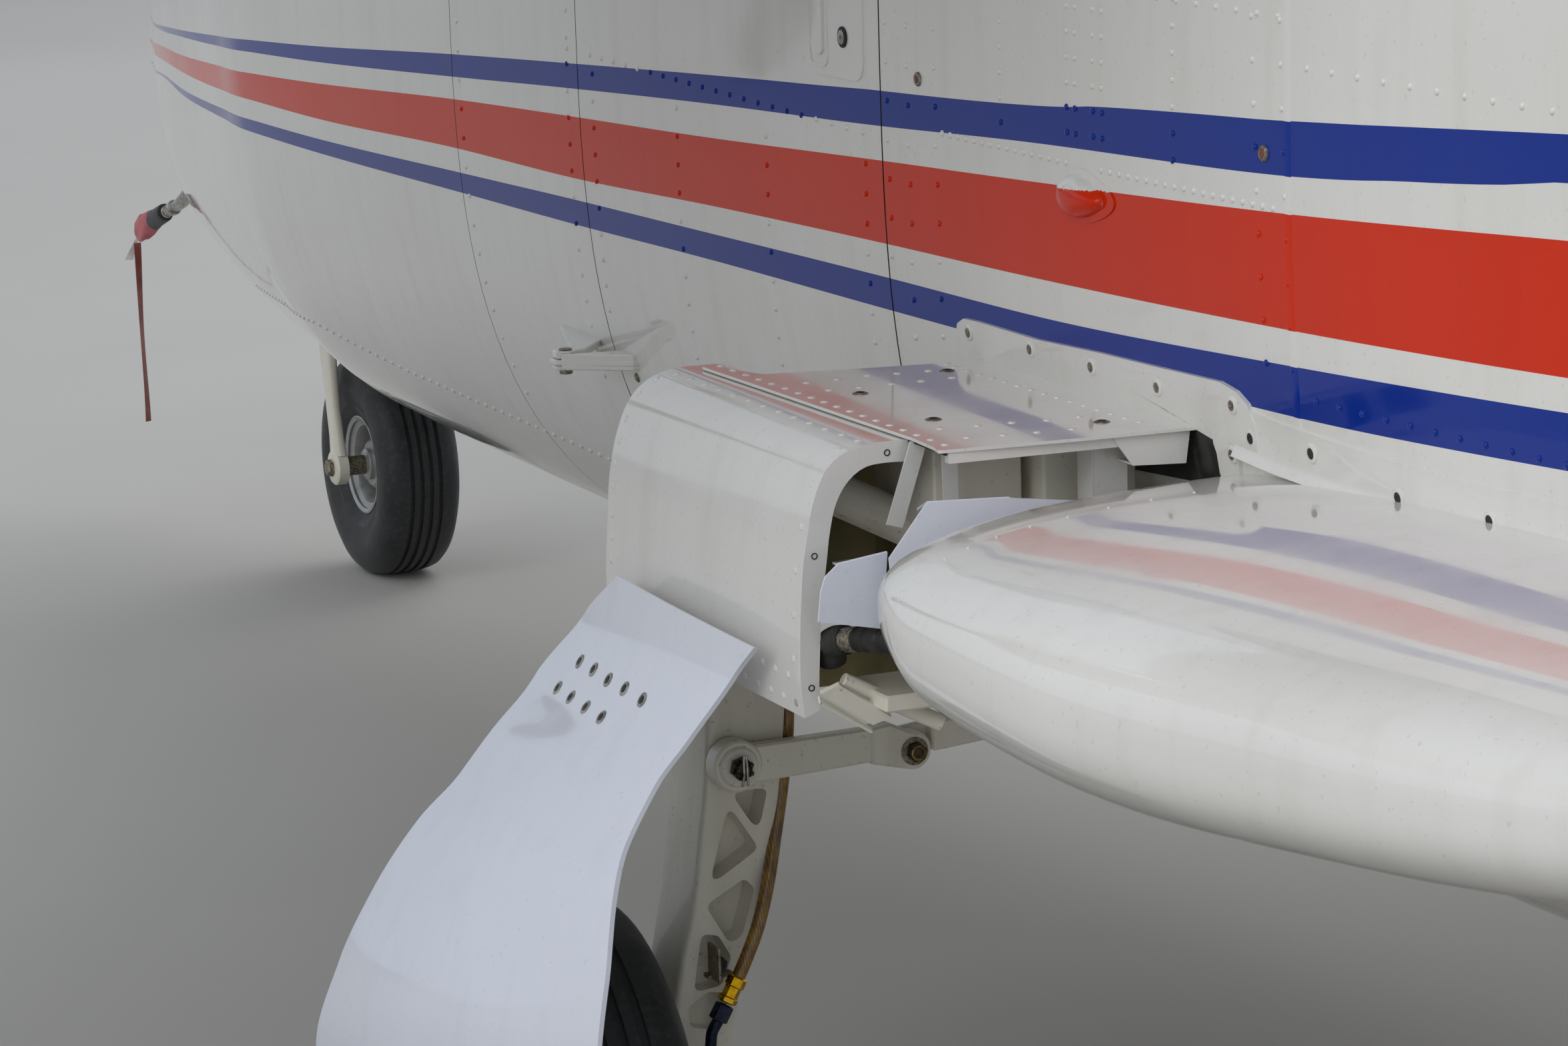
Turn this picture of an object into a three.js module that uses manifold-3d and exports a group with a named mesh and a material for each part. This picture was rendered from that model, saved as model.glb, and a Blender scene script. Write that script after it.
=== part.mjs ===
// Twin-engine light aircraft with a high wing, standing on its lowered retractable gear.
// Millimetres. +X is the port side, +Y is aft, +Z is up, and the tyres stand on z = 0.
import * as THREE from 'three';
import { mergeVertices } from 'three/addons/utils/BufferGeometryUtils.js';
import Module from 'manifold-3d';

const wasm = await Module();
wasm.setup();

// Driving sizes of the whole aircraft
const TAIL_END_Y = 4350;
const MAIN_AXLE_Y = -180;
const NOSE_AXLE_Y = -3447;
const HALF_TRACK = 1000;
const SEAT_GAP = 0.3;
const RUN_GAP = 6;
const SIDES = { left: 1, right: -1 };

// Fuselage sections, each a rounded box with its widest level between a bottom and a top
// y, half width, bottom, widest level, top, lower and upper roundness
const FUSELAGE = [
  [-4350, 30, 625, 740, 850, 2.3, 2.2],
  [-4325, 72, 530, 742, 900, 2.7, 2.2],
  [-4180, 121, 500, 760, 965, 2.9, 2.3],
  [-3880, 209, 472, 800, 1040, 2.9, 2.3],
  [-3480, 321, 450, 860, 1115, 2.9, 2.4],
  [-2980, 434, 417, 930, 1185, 2.9, 2.5],
  [-2600, 502, 400, 975, 1240, 2.9, 2.6],
  [-2380, 540, 388, 1000, 1335, 2.9, 2.6],
  [-1900, 566, 389, 1035, 1580, 2.9, 2.6],
  [-1480, 579, 391, 1050, 1760, 2.9, 2.6],
  [-1200, 588, 392, 1065, 1840, 2.9, 2.6],
  [-680, 600, 396, 1080, 1915, 2.9, 2.7],
  [-100, 604, 396, 1090, 1945, 2.9, 2.7],
  [320, 605, 396, 1100, 1925, 2.9, 2.7],
  [700, 602, 402, 1105, 1850, 2.9, 2.7],
  [1000, 590, 430, 1110, 1765, 2.8, 2.6],
  [1500, 520, 530, 1120, 1640, 2.6, 2.5],
  [2200, 390, 700, 1130, 1515, 2.4, 2.4],
  [3000, 235, 880, 1150, 1430, 2.3, 2.3],
  [3600, 135, 975, 1165, 1385, 2.2, 2.2],
  [4100, 62, 1055, 1180, 1335, 2.1, 2.1],
  [4300, 26, 1120, 1200, 1285, 2, 2],
];
const RING_STEPS = 24;
const NOSE_JOINT_Y = -1430;
const TAIL_JOINT_Y = 950;
const CABIN = { front: -2250, back: 905, floor: 560, wall: 45 };

// Wing sections: x, leading edge y, chord, level, thickness ratio
const WING = [
  [0, -830, 1400, 1868, 0.15],
  [2200, -830, 1400, 1880, 0.15],
  [3300, -830, 1400, 1886, 0.15],
  [5440, -655, 905, 1918, 0.12],
  [5610, -590, 790, 1930, 0.1],
  [5700, -440, 520, 1944, 0.08],
];
const WING_JOINT_X = 2200;
const WING_CAMBER = 0.02;
const CAMBER_AT = 0.4;
// Trailing surfaces: inner x, outer x, nose centre as a share of the chord
const FLAP = { inner: 700, outer: 3285, nose: 0.74 };
const AILERON = { inner: 3315, outer: 5420, nose: 0.78 };

// Fin and rudder sections: z, leading edge y, trailing edge y, thickness ratio
const FIN = [
  [1180, 2890, 4270, 0.1],
  [1385, 2985, 4285, 0.1],
  [2200, 3400, 4325, 0.1],
  [2760, 3690, TAIL_END_Y, 0.09],
  [2850, 3765, 4338, 0.07],
];
const RUDDER = { bottom: 1400, nose: 0.64 };
const DORSAL = { front: 1950, back: 3350, top: 1830, thick: 44 };
const STABILATOR = {
  halfSpan: 1650, root: 168, le: 3470, chord: 780, z: 1105, ratio: 0.1, pivot: 0.28, tube: 24,
};

const NACELLE_X = 1620;
// Nacelle sections: y, half width, half height, level
const NACELLE = [
  [-1885, 152, 152, 1650],
  [-1850, 205, 190, 1648],
  [-1700, 258, 232, 1650],
  [-1350, 278, 262, 1664],
  [-950, 274, 262, 1688],
  [-500, 248, 232, 1712],
  [-100, 180, 160, 1742],
  [140, 70, 60, 1775],
];
const NACELLE_POWER = 0.7;
const COWL_WALL = 12;
const FIREWALL_Y = -1010;
const ENGINE = { front: -1700, back: -1180, wide: 440, high: 260, shaft: 38 };
const PROPELLER = {
  y: -1950, z: 1650, radius: 890, spinnerTip: -2155, spinnerBack: -1891, spinnerRadius: 142, angle: 58,
};
// Blade stations: radius, chord, thickness, pitch in degrees
const BLADE = [
  [95, 62, 48, 52],
  [190, 88, 34, 46],
  [380, 122, 22, 34],
  [600, 116, 15, 25],
  [800, 88, 10, 19],
  [872, 58, 7, 17],
  [890, 26, 5, 16],
];

// Doors and windows in side view: y and z corners
const FRONT_DOOR = { side: 'left', front: -1060, back: -290, bottom: 612, top: 1692, radius: 60 };
const REAR_DOOR = { side: 'right', front: -190, back: 500, bottom: 935, top: 1692, radius: 60 };
const WINDSCREEN = [[-2600, 1205], [-1960, 1268], [-1345, 1705], [-1290, 2100], [-2600, 2100]];
const QUARTER_WINDOW = [[-1740, 1285], [-1130, 1285], [-1130, 1640], [-1285, 1640]];
const FRONT_WINDOW = [[-985, 1285], [-370, 1285], [-370, 1640], [-985, 1640]];
const REAR_WINDOW = [[-110, 1285], [425, 1285], [385, 1625], [-110, 1625]];
const GLASS = { out: -3, thick: 6 };

// Wheels: axle y, level and radius, half width, rim radius
const MAIN_WHEEL = { y: MAIN_AXLE_Y, radius: 205, half: 80, rim: 82, x: HALF_TRACK };
const NOSE_WHEEL = { y: NOSE_AXLE_Y, radius: 170, half: 62, rim: 68, x: 0 };
const WHEEL_STEPS = 24;
const ROUND_STEPS = 20;
const AXLE_RADIUS = 16;

const PAINT = { white: 0xe6e5df, blue: 0x24408f, red: 0xcc3a14, bluish: 0xdfe4f0, cream: 0xdcd8c6 };
const FINISHES = {
  skin: { color: PAINT.white, roughness: 0.22, metalness: 0 },
  gearPaint: { color: PAINT.cream, roughness: 0.4, metalness: 0 },
  coverPaint: { color: PAINT.bluish, roughness: 0.2, metalness: 0 },
  rubber: { color: 0x1b1c1f, roughness: 0.8, metalness: 0 },
  rim: { color: 0xa9abab, roughness: 0.35, metalness: 0.9 },
  glass: { color: 0x9fb4b8, roughness: 0.05, metalness: 0 },
  blade: { color: 0x26282b, roughness: 0.35, metalness: 0 },
  iron: { color: 0x55585a, roughness: 0.6, metalness: 0.8 },
  panel: { color: 0x2b2c2e, roughness: 0.7, metalness: 0 },
  fabric: { color: 0x8d8474, roughness: 0.95, metalness: 0 },
  red: { color: 0xa3202a, roughness: 0.9, metalness: 0 },
};

const aircraft = new THREE.Group();

// Solid helpers
function welded(geometry, reach = 1e-4) {
  const bare = geometry.clone();
  bare.deleteAttribute('normal');
  bare.deleteAttribute('uv');
  return mergeVertices(bare, reach);
}

function solidOf(geometry) {
  const merged = welded(geometry);
  return new wasm.Manifold(new wasm.Mesh({
    numProp: 3,
    vertProperties: new Float32Array(merged.attributes.position.array),
    triVerts: new Uint32Array(merged.index.array),
  }));
}

function geometryOf(solid) {
  const mesh = solid.getMesh();
  const geometry = new THREE.BufferGeometry();
  geometry.setAttribute('position', new THREE.BufferAttribute(new Float32Array(mesh.vertProperties), 3));
  geometry.setIndex(new THREE.BufferAttribute(new Uint32Array(mesh.triVerts), 1));
  geometry.computeVertexNormals();
  return geometry;
}

function facingOut(positions, index) {
  const point = (i) => new THREE.Vector3().fromArray(positions, 3 * index[i]);
  let volume = 0;
  for (let i = 0; i < index.length; i += 3) {
    volume += point(i).dot(point(i + 1).cross(point(i + 2)));
  }
  if (volume < 0) {
    for (let i = 0; i < index.length; i += 3) {
      [index[i], index[i + 1]] = [index[i + 1], index[i]];
    }
  }
  return index;
}

function closedMesh(positions, index) {
  const geometry = new THREE.BufferGeometry();
  geometry.setAttribute('position', new THREE.Float32BufferAttribute(positions, 3));
  geometry.setIndex(facingOut(positions, index));
  return geometry;
}

// A skin through like outlines, each a list of flat points and a rule that places them
function loft(sections) {
  const steps = sections[0].outline.length;
  const positions = [];
  const index = [];
  sections.forEach(({ outline, place }) => outline.forEach((p) => positions.push(...place(p[0], p[1]))));
  for (let s = 0; s + 1 < sections.length; s += 1) {
    for (let k = 0; k < steps; k += 1) {
      const a = s * steps + k;
      const b = s * steps + (k + 1) % steps;
      index.push(a, b, a + steps, b, b + steps, a + steps);
    }
  }
  const cap = (section, first, along) => {
    const points = section.outline.map((p) => new THREE.Vector2(p[0], p[1]));
    const way = Math.sign(THREE.ShapeUtils.area(points)) * along;
    THREE.ShapeUtils.triangulateShape(points, []).forEach(([a, b, c]) => {
      const keep = THREE.ShapeUtils.area([points[a], points[b], points[c]]) * way > 0;
      index.push(first + a, first + (keep ? b : c), first + (keep ? c : b));
    });
  };
  cap(sections[0], 0, -1);
  cap(sections[sections.length - 1], (sections.length - 1) * steps, 1);
  return closedMesh(positions, index);
}

const alongX = (x) => (u, v) => [x, u, v];
const alongY = (y) => (u, v) => [u, y, v];
const alongZ = (z) => (u, v) => [u, v, z];

function prism(outline, from, to, along) {
  return solidOf(loft([{ outline, place: along(from) }, { outline, place: along(to) }]));
}

function block(x0, y0, z0, x1, y1, z1) {
  const geometry = new THREE.BoxGeometry(x1 - x0, y1 - y0, z1 - z0);
  geometry.translate((x0 + x1) / 2, (y0 + y1) / 2, (z0 + z1) / 2);
  return solidOf(geometry);
}

const UP = new THREE.Vector3(0, 1, 0);
const turnTo = (way) => new THREE.Quaternion().setFromUnitVectors(UP, way.normalize());

function rod(from, to, radius, sides = ROUND_STEPS, endRadius = radius) {
  const a = new THREE.Vector3(...from);
  const b = new THREE.Vector3(...to);
  const way = b.clone().sub(a);
  const geometry = new THREE.CylinderGeometry(endRadius, radius, way.length(), sides);
  geometry.applyQuaternion(turnTo(way));
  geometry.translate(...a.add(b).multiplyScalar(0.5).toArray());
  return solidOf(geometry);
}

function bar(from, to, wide, high) {
  const a = new THREE.Vector3(...from);
  const b = new THREE.Vector3(...to);
  const way = b.clone().sub(a);
  const geometry = new THREE.BoxGeometry(wide, way.length(), high);
  geometry.applyQuaternion(turnTo(way));
  geometry.translate(...a.add(b).multiplyScalar(0.5).toArray());
  return solidOf(geometry);
}

function turned(profile, steps, centre, axis = 'x') {
  const points = profile.map(([radius, along]) => new THREE.Vector2(radius, along));
  points.push(points[0].clone());
  const geometry = new THREE.LatheGeometry(points, steps);
  if (axis === 'x') {
    geometry.rotateZ(-Math.PI / 2);
  }
  geometry.translate(...centre);
  const merged = welded(geometry, 1e-3);
  return solidOf(closedMesh(merged.attributes.position.array, [...merged.index.array]));
}

function mirrored(solid) {
  const geometry = geometryOf(solid);
  geometry.scale(-1, 1, 1);
  const { position } = geometry.attributes;
  return solidOf(closedMesh(position.array, [...geometry.index.array]));
}

const onSide = (solid, side) => (SIDES[side] > 0 ? solid : mirrored(solid));
const joined = (solids) => solids.reduce((sum, next) => sum.add(next));

function add(name, solid, finish) {
  const material = new THREE.MeshStandardMaterial(FINISHES[finish]);
  const mesh = new THREE.Mesh(geometryOf(solid), material);
  mesh.name = name;
  aircraft.add(mesh);
}

function roundedBox(y0, z0, y1, z1, radius, steps = 4) {
  const corners = [[y1 - radius, z1 - radius, 0], [y0 + radius, z1 - radius, 1],
    [y0 + radius, z0 + radius, 2], [y1 - radius, z0 + radius, 3]];
  return corners.flatMap(([y, z, quarter]) => Array.from({ length: steps + 1 }, (_, k) => {
    const t = (quarter + k / steps) * Math.PI / 2;
    return [y + radius * Math.cos(t), z + radius * Math.sin(t)];
  }));
}

// A convex outline moved in or out by a distance, square to each edge
function offset(outline, distance) {
  const centre = [0, 1].map((k) => outline.reduce((sum, p) => sum + p[k] / outline.length, 0));
  const edges = outline.map((p, k) => {
    const q = outline[(k + 1) % outline.length];
    let normal = new THREE.Vector2(q[1] - p[1], p[0] - q[0]).normalize();
    if (normal.x * (p[0] - centre[0]) + normal.y * (p[1] - centre[1]) < 0) {
      normal = normal.negate();
    }
    return { normal, level: normal.x * p[0] + normal.y * p[1] + distance };
  });
  return edges.map((edge, k) => {
    const last = edges[(k + edges.length - 1) % edges.length];
    const det = last.normal.x * edge.normal.y - last.normal.y * edge.normal.x;
    return [(last.level * edge.normal.y - edge.level * last.normal.y) / det,
      (last.normal.x * edge.level - edge.normal.x * last.level) / det];
  });
}

// Fuselage
const power = (value, exponent) => Math.sign(value) * Math.abs(value) ** exponent;

function fuselageSection([y, half, bottom, middle, top, low, high], grow) {
  const outline = Array.from({ length: RING_STEPS }, (_, k) => {
    const t = 2 * Math.PI * k / RING_STEPS;
    const c = Math.cos(t);
    const s = Math.sin(t);
    const n = s < 0 ? low : high;
    const reach = s < 0 ? middle - bottom : top - middle;
    return [(half + grow) * power(c, 2 / n), middle + (reach + grow) * power(s, 2 / n)];
  });
  return { outline, place: alongY(y) };
}

function fuselage(grow) {
  return solidOf(loft(FUSELAGE.map((row) => fuselageSection(row, grow))));
}

const outerBody = fuselage(0);
const seatBody = fuselage(SEAT_GAP);
const cabinBlock = block(-900, CABIN.front, CABIN.floor, 900, CABIN.back, 2400);
const cabinSpace = fuselage(-CABIN.wall).intersect(cabinBlock);

// Wing, and the surfaces hung on its trailing edge
const halfThickness = (x, ratio) => 5 * ratio
  * (0.2969 * Math.sqrt(x) - 0.126 * x - 0.3516 * x ** 2 + 0.2843 * x ** 3 - 0.1015 * x ** 4);
const camberLine = (x) => (x < CAMBER_AT
  ? WING_CAMBER * (2 * CAMBER_AT * x - x * x) / CAMBER_AT ** 2
  : WING_CAMBER * (1 - 2 * CAMBER_AT + 2 * CAMBER_AT * x - x * x) / (1 - CAMBER_AT) ** 2);
const AIRFOIL_STEPS = 10;

function wingAt(x) {
  const next = Math.max(1, WING.findIndex((row) => row[0] >= x));
  const [a, b] = [WING[next - 1], WING[next]];
  const share = (x - a[0]) / (b[0] - a[0]);
  return a.map((value, k) => value + share * (b[k] - value));
}

function airfoil(chord, ratio, camber, grow) {
  const station = (k) => (1 - Math.cos(Math.PI * k / AIRFOIL_STEPS)) / 2;
  const point = (k, side) => {
    const x = station(k);
    const thick = halfThickness(x, ratio) * chord + grow;
    return [x * (chord + 2 * grow) - grow, camber * camberLine(x) * chord + side * thick];
  };
  const upper = Array.from({ length: AIRFOIL_STEPS }, (_, k) => point(AIRFOIL_STEPS - k, 1));
  const lower = Array.from({ length: AIRFOIL_STEPS }, (_, k) => point(k + 1, -1));
  return [...upper, [-grow, 0], ...lower];
}

function wingSection([x, le, chord, level, ratio], grow) {
  return { outline: airfoil(chord, ratio, 1, grow), place: (u, v) => [x, le + u, level + v] };
}

function wing(from, to, grow) {
  const inside = WING.filter((row) => row[0] > from && row[0] < to);
  return solidOf(loft([wingAt(from), ...inside, wingAt(to)].map((row) => wingSection(row, grow))));
}

// A trailing surface has a half-round nose; grown, it is the bay that the nose turns in
function trailingOutline(chord, ratio, nose, camber, grow) {
  const centre = [nose * chord, camber * camberLine(nose) * chord];
  const radius = halfThickness(nose, ratio) * chord + grow;
  const round = [0.5, 0.7, 0.9, 1.1, 1.3, 1.5].map((t) => [centre[0] + radius * Math.cos(t * Math.PI),
    centre[1] + radius * Math.sin(t * Math.PI)]);
  const tail = (side) => {
    const middle = (nose + 1) / 2;
    const points = [[middle, halfThickness(middle, ratio)], [1, halfThickness(1, ratio)]];
    return points.map(([x, thick]) => [x * chord + (x === 1 ? grow * 4 : 0),
      camber * camberLine(x) * chord + side * (thick * chord + grow)]);
  };
  return [...tail(1).reverse(), ...round, ...tail(-1)];
}

function wingTrailer({ inner, outer, nose }, grow) {
  return solidOf(loft([inner - grow, outer + grow].map((x) => {
    const [, le, chord, level, ratio] = wingAt(x);
    return { outline: trailingOutline(chord, ratio, nose, 1, grow), place: (u, v) => [x, le + u, level + v] };
  })));
}

const BAY_GAP = RUN_GAP + 2;
const HINGE_PIN = 9;

// Each end of a trailing surface has a pin on the hinge line that reaches the rib beside it
function hingePins({ inner, outer, nose }) {
  const at = (x) => {
    const [, le, chord, level] = wingAt(x);
    return [x, le + nose * chord, level + camberLine(nose) * chord];
  };
  const ends = [at(inner), at(outer)];
  const lean = Math.hypot(ends[1][1] - ends[0][1], ends[1][2] - ends[0][2]) / (outer - inner);
  const reach = BAY_GAP - SEAT_GAP - HINGE_PIN * lean;
  return joined([[inner - reach, inner + 20], [outer - 20, outer + reach]].map(
    ([x0, x1]) => rod(at(x0), at(x1), HINGE_PIN, 12)));
}

const trailer = (spec) => wingTrailer(spec, 0).add(hingePins(spec));
const bays = wingTrailer(FLAP, BAY_GAP).add(wingTrailer(AILERON, BAY_GAP));

function halfWing(from, to) {
  return wing(from, to, 0).subtract(bays);
}

const centreHalf = halfWing(0, WING_JOINT_X);
const seatWing = wing(0, WING_JOINT_X, SEAT_GAP);
const seatWings = seatWing.add(mirrored(seatWing));
add('wing_centre', centreHalf.add(mirrored(centreHalf)), 'skin');
for (const side of Object.keys(SIDES)) {
  add(`wing_${side}`, onSide(halfWing(WING_JOINT_X + SEAT_GAP, WING[WING.length - 1][0]), side), 'skin');
  add(`flap_${side}`, onSide(trailer(FLAP), side), 'skin');
  add(`aileron_${side}`, onSide(trailer(AILERON), side), 'skin');
}

// Cabin openings, cut through the wall by side-view shapes
const WALL_REACH = { left: [250, 900], right: [-900, -250] };

function sideCut(outline, side) {
  return prism(outline, ...WALL_REACH[side], alongX);
}

const doorOutline = ({ front, bottom, back, top, radius }, gap) => roundedBox(
  front - gap, bottom - gap, back + gap, top + gap, radius + gap);
const windscreenCut = (gap) => prism(offset(WINDSCREEN, -gap), -700, 700, alongX);
const FIXED_WINDOWS = [
  ['window_quarter_left', QUARTER_WINDOW, 'left'],
  ['window_quarter_right', QUARTER_WINDOW, 'right'],
  ['window_front_right', FRONT_WINDOW, 'right'],
  ['window_rear_left', REAR_WINDOW, 'left'],
];
const fixedPanes = joined(FIXED_WINDOWS.map(([, shape, side]) => sideCut(shape, side)));
const wall = outerBody.subtract(cabinSpace).subtract(seatWings);
const openWall = wall.subtract(windscreenCut(0)).subtract(fixedPanes)
  .subtract(sideCut(doorOutline(FRONT_DOOR, RUN_GAP), 'left'))
  .subtract(sideCut(doorOutline(REAR_DOOR, RUN_GAP), 'right'));
const glassSkin = fuselage(GLASS.out).subtract(fuselage(GLASS.out - GLASS.thick));

add('windscreen', glassSkin.intersect(windscreenCut(SEAT_GAP * 2)).subtract(seatWings), 'glass');
for (const [name, shape, side] of FIXED_WINDOWS) {
  add(name, glassSkin.intersect(sideCut(offset(shape, -SEAT_GAP * 2), side)), 'glass');
}

// Nose moulding with its open wheel bay, cabin and tail cone
const NOSE_BAY = { half: 120, front: -3640, back: -2960, top: 800 };
const noseBay = block(-NOSE_BAY.half, NOSE_BAY.front, 300, NOSE_BAY.half, NOSE_BAY.back, NOSE_BAY.top);
const slab = (y0, y1) => block(-900, y0, 200, 900, y1, 2400);
add('nose_section', openWall.intersect(slab(-4400, NOSE_JOINT_Y)).subtract(noseBay), 'skin');

// Doors with their windows; each hangs on two outside hinges at its front edge
const HINGE = { x: 618, radius: 9, high: 60, reach: 62, inner: 530 };

const DOORS = [
  { name: 'door_front_left', spec: FRONT_DOOR, window: FRONT_WINDOW, levels: [725, 1180] },
  { name: 'door_rear_right', spec: REAR_DOOR, window: REAR_WINDOW, levels: [1010, 1200] },
];
const hingeBrackets = [];
for (const { name, spec, window, levels } of DOORS) {
  const sign = SIDES[spec.side];
  const onPin = (z) => [sign * HINGE.x, spec.front, z];
  const eye = (z0, z1) => rod(onPin(z0), onPin(z1), HINGE.radius, 12);
  const leaf = (z0, z1, x0, y0, y1) => onSide(block(x0, y0, z0, HINGE.x + 4, y1, z1), spec.side);
  const bodyLeaf = (z0, z1) => leaf(z0, z1, HINGE.x - 4, spec.front - RUN_GAP - 1, spec.front)
    .add(leaf(z0, z1, HINGE.inner, spec.front - HINGE.reach, spec.front - RUN_GAP));
  const doorLeaf = (z0, z1) => leaf(z0, z1, HINGE.inner, spec.front, spec.front + HINGE.reach);
  let panel = wall.intersect(sideCut(doorOutline(spec, 0), spec.side))
    .subtract(sideCut(window, spec.side));
  for (const level of levels) {
    const split = level + HINGE.high / 2;
    const top = split + HINGE.high / 2;
    panel = panel.add(eye(split + 0.5, top).add(doorLeaf(split + 0.5, top)).subtract(cabinSpace));
    hingeBrackets.push(eye(level, split).add(bodyLeaf(level, split)).subtract(cabinSpace));
  }
  add(name, panel, 'skin');
  add(`${name}_window`, glassSkin.intersect(sideCut(offset(window, -SEAT_GAP * 2), spec.side)), 'glass');
}
const shell = openWall.intersect(slab(NOSE_JOINT_Y + SEAT_GAP, TAIL_JOINT_Y));
add('cabin_shell', joined([shell, ...hingeBrackets]), 'skin');

// Fin, rudder and stabilator
function finRow(z) {
  const next = Math.max(1, FIN.findIndex((row) => row[0] >= z));
  const [a, b] = [FIN[next - 1], FIN[next]];
  const share = (z - a[0]) / (b[0] - a[0]);
  return a.map((value, k) => value + share * (b[k] - value));
}
const finTop = FIN[FIN.length - 1][0];
const finPlace = (z, le) => (u, v) => [v, le + u, z];
const fullFin = solidOf(loft(FIN.map(([z, le, te, ratio]) => (
  { outline: airfoil(te - le, ratio, 0, 0), place: finPlace(z, le) }))));
const rudderLoft = (grow) => solidOf(loft([RUDDER.bottom - grow, 2200, 2760, finTop + grow].map((z) => {
  const [, le, te, ratio] = finRow(Math.min(z, finTop));
  return { outline: trailingOutline(te - le, ratio, RUDDER.nose, 0, grow), place: finPlace(z, le) };
})));
const belowRudder = block(-100, 3700, 1100, 100, 4500, RUDDER.bottom - RUN_GAP);
const dorsal = prism([[DORSAL.front, 1500], [DORSAL.back, 1380], [DORSAL.back, DORSAL.top]],
  -DORSAL.thick / 2, DORSAL.thick / 2, alongX);
const fin = fullFin.subtract(rudderLoft(BAY_GAP)).subtract(belowRudder).add(dorsal);
add('fin', fin.subtract(seatBody), 'skin');
// The rudder turns on a pointed pin that stands on the tail cone, on the line of the nose centres
const rudderLine = (z) => {
  const [, le, te] = finRow(z);
  return [0, le + RUDDER.nose * (te - le), z];
};
const RUDDER_PIN = { below: 60, tip: 2, root: 9, gap: 0.8 };
const rudderPin = rod(rudderLine(RUDDER.bottom - RUDDER_PIN.below), rudderLine(RUDDER.bottom + 20),
  RUDDER_PIN.tip, 12, RUDDER_PIN.root).subtract(fuselage(RUDDER_PIN.gap));
add('rudder', rudderLoft(0).add(rudderPin), 'skin');

const { halfSpan, root, le: tailLe, chord: tailChord, z: tailZ, ratio: tailRatio, pivot, tube } = STABILATOR;
const pivotY = tailLe + pivot * tailChord;
// Stabilator sections: x, setback of the leading edge, share of the root's size
const TAIL_ROWS = [[root, 0, 1], [halfSpan - 60, 0, 1], [halfSpan, 90, 0.8]];
const tailHalf = solidOf(loft(TAIL_ROWS.map(([x, back, size]) => ({
  outline: airfoil(tailChord * size, tailRatio * size, 0, 0),
  place: (u, v) => [x, tailLe + back + u, tailZ + v],
}))));
const tailTube = (half, radius) => rod([-half, pivotY, tailZ], [half, pivotY, tailZ], radius);
add('stabilator', joined([tailHalf, mirrored(tailHalf), tailTube(root + 5, tube)]), 'skin');
const TAIL_SPACE = { front: 930, back: 3560, wall: 30 };
const tailSpace = fuselage(-TAIL_SPACE.wall).intersect(slab(TAIL_SPACE.front, TAIL_SPACE.back));
add('tail_cone', openWall.intersect(slab(TAIL_JOINT_Y + SEAT_GAP, 4400))
  .subtract(tailTube(400, tube + 2 * SEAT_GAP)).subtract(tailSpace), 'skin');

// Nacelles, engines and propellers
function nacelleSection([y, wide, high, level], grow) {
  const outline = Array.from({ length: ROUND_STEPS }, (_, k) => {
    const t = 2 * Math.PI * k / ROUND_STEPS;
    return [NACELLE_X + (wide + grow) * power(Math.cos(t), NACELLE_POWER),
      level + (high + grow) * power(Math.sin(t), NACELLE_POWER)];
  });
  return { outline, place: alongY(y) };
}
const nacelleLoft = (grow) => solidOf(loft(NACELLE.map((row) => nacelleSection(row, grow))));
const cowlBlock = block(1200, NACELLE[0][0] + COWL_WALL, 1200, 2100, FIREWALL_Y, 2000);
const cowlSpace = nacelleLoft(-COWL_WALL).intersect(cowlBlock);
const INLET = { spread: 128, level: 1620, radius: 44 };
const FRONT_CUT = { from: -1950, to: -1700 };
const frontHoles = [-1, 1].map((way) => rod([NACELLE_X + way * INLET.spread, FRONT_CUT.from, INLET.level],
  [NACELLE_X + way * INLET.spread, FRONT_CUT.to, INLET.level], INLET.radius, 16));
const outlet = block(NACELLE_X - 110, FIREWALL_Y - 70, 1300, NACELLE_X + 110, FIREWALL_Y - 10, 1480);
const shaftHole = rod([NACELLE_X, FRONT_CUT.from, PROPELLER.z], [NACELLE_X, FRONT_CUT.to, PROPELLER.z],
  ENGINE.shaft + RUN_GAP);
const cowl = nacelleLoft(0).subtract(joined([...frontHoles, outlet, shaftHole, cowlSpace, seatWing]));
const halfWide = ENGINE.wide / 2;
const halfHigh = ENGINE.high / 2;
const engine = block(NACELLE_X - halfWide, ENGINE.front, PROPELLER.z - halfHigh,
  NACELLE_X + halfWide, ENGINE.back, PROPELLER.z + halfHigh)
  .add(rod([NACELLE_X, ENGINE.front + 5, PROPELLER.z],
    [NACELLE_X, PROPELLER.spinnerBack + SEAT_GAP, PROPELLER.z], ENGINE.shaft))
  .add(block(NACELLE_X - 150, ENGINE.back - 5, PROPELLER.z - 100,
    NACELLE_X + 150, FIREWALL_Y - SEAT_GAP, PROPELLER.z + 100));
const exhaust = rod([NACELLE_X + 90, -1290, 1480], [NACELLE_X + 110, -1200, 1352], 24, 16)
  .subtract(nacelleLoft(SEAT_GAP));

const BLADE_STEPS = 12;

function bladeOutline(chord, thick) {
  return Array.from({ length: BLADE_STEPS }, (_, k) => {
    const t = 2 * Math.PI * k / BLADE_STEPS;
    return [chord / 2 * Math.cos(t), thick / 2 * Math.sin(t)];
  });
}

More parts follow.
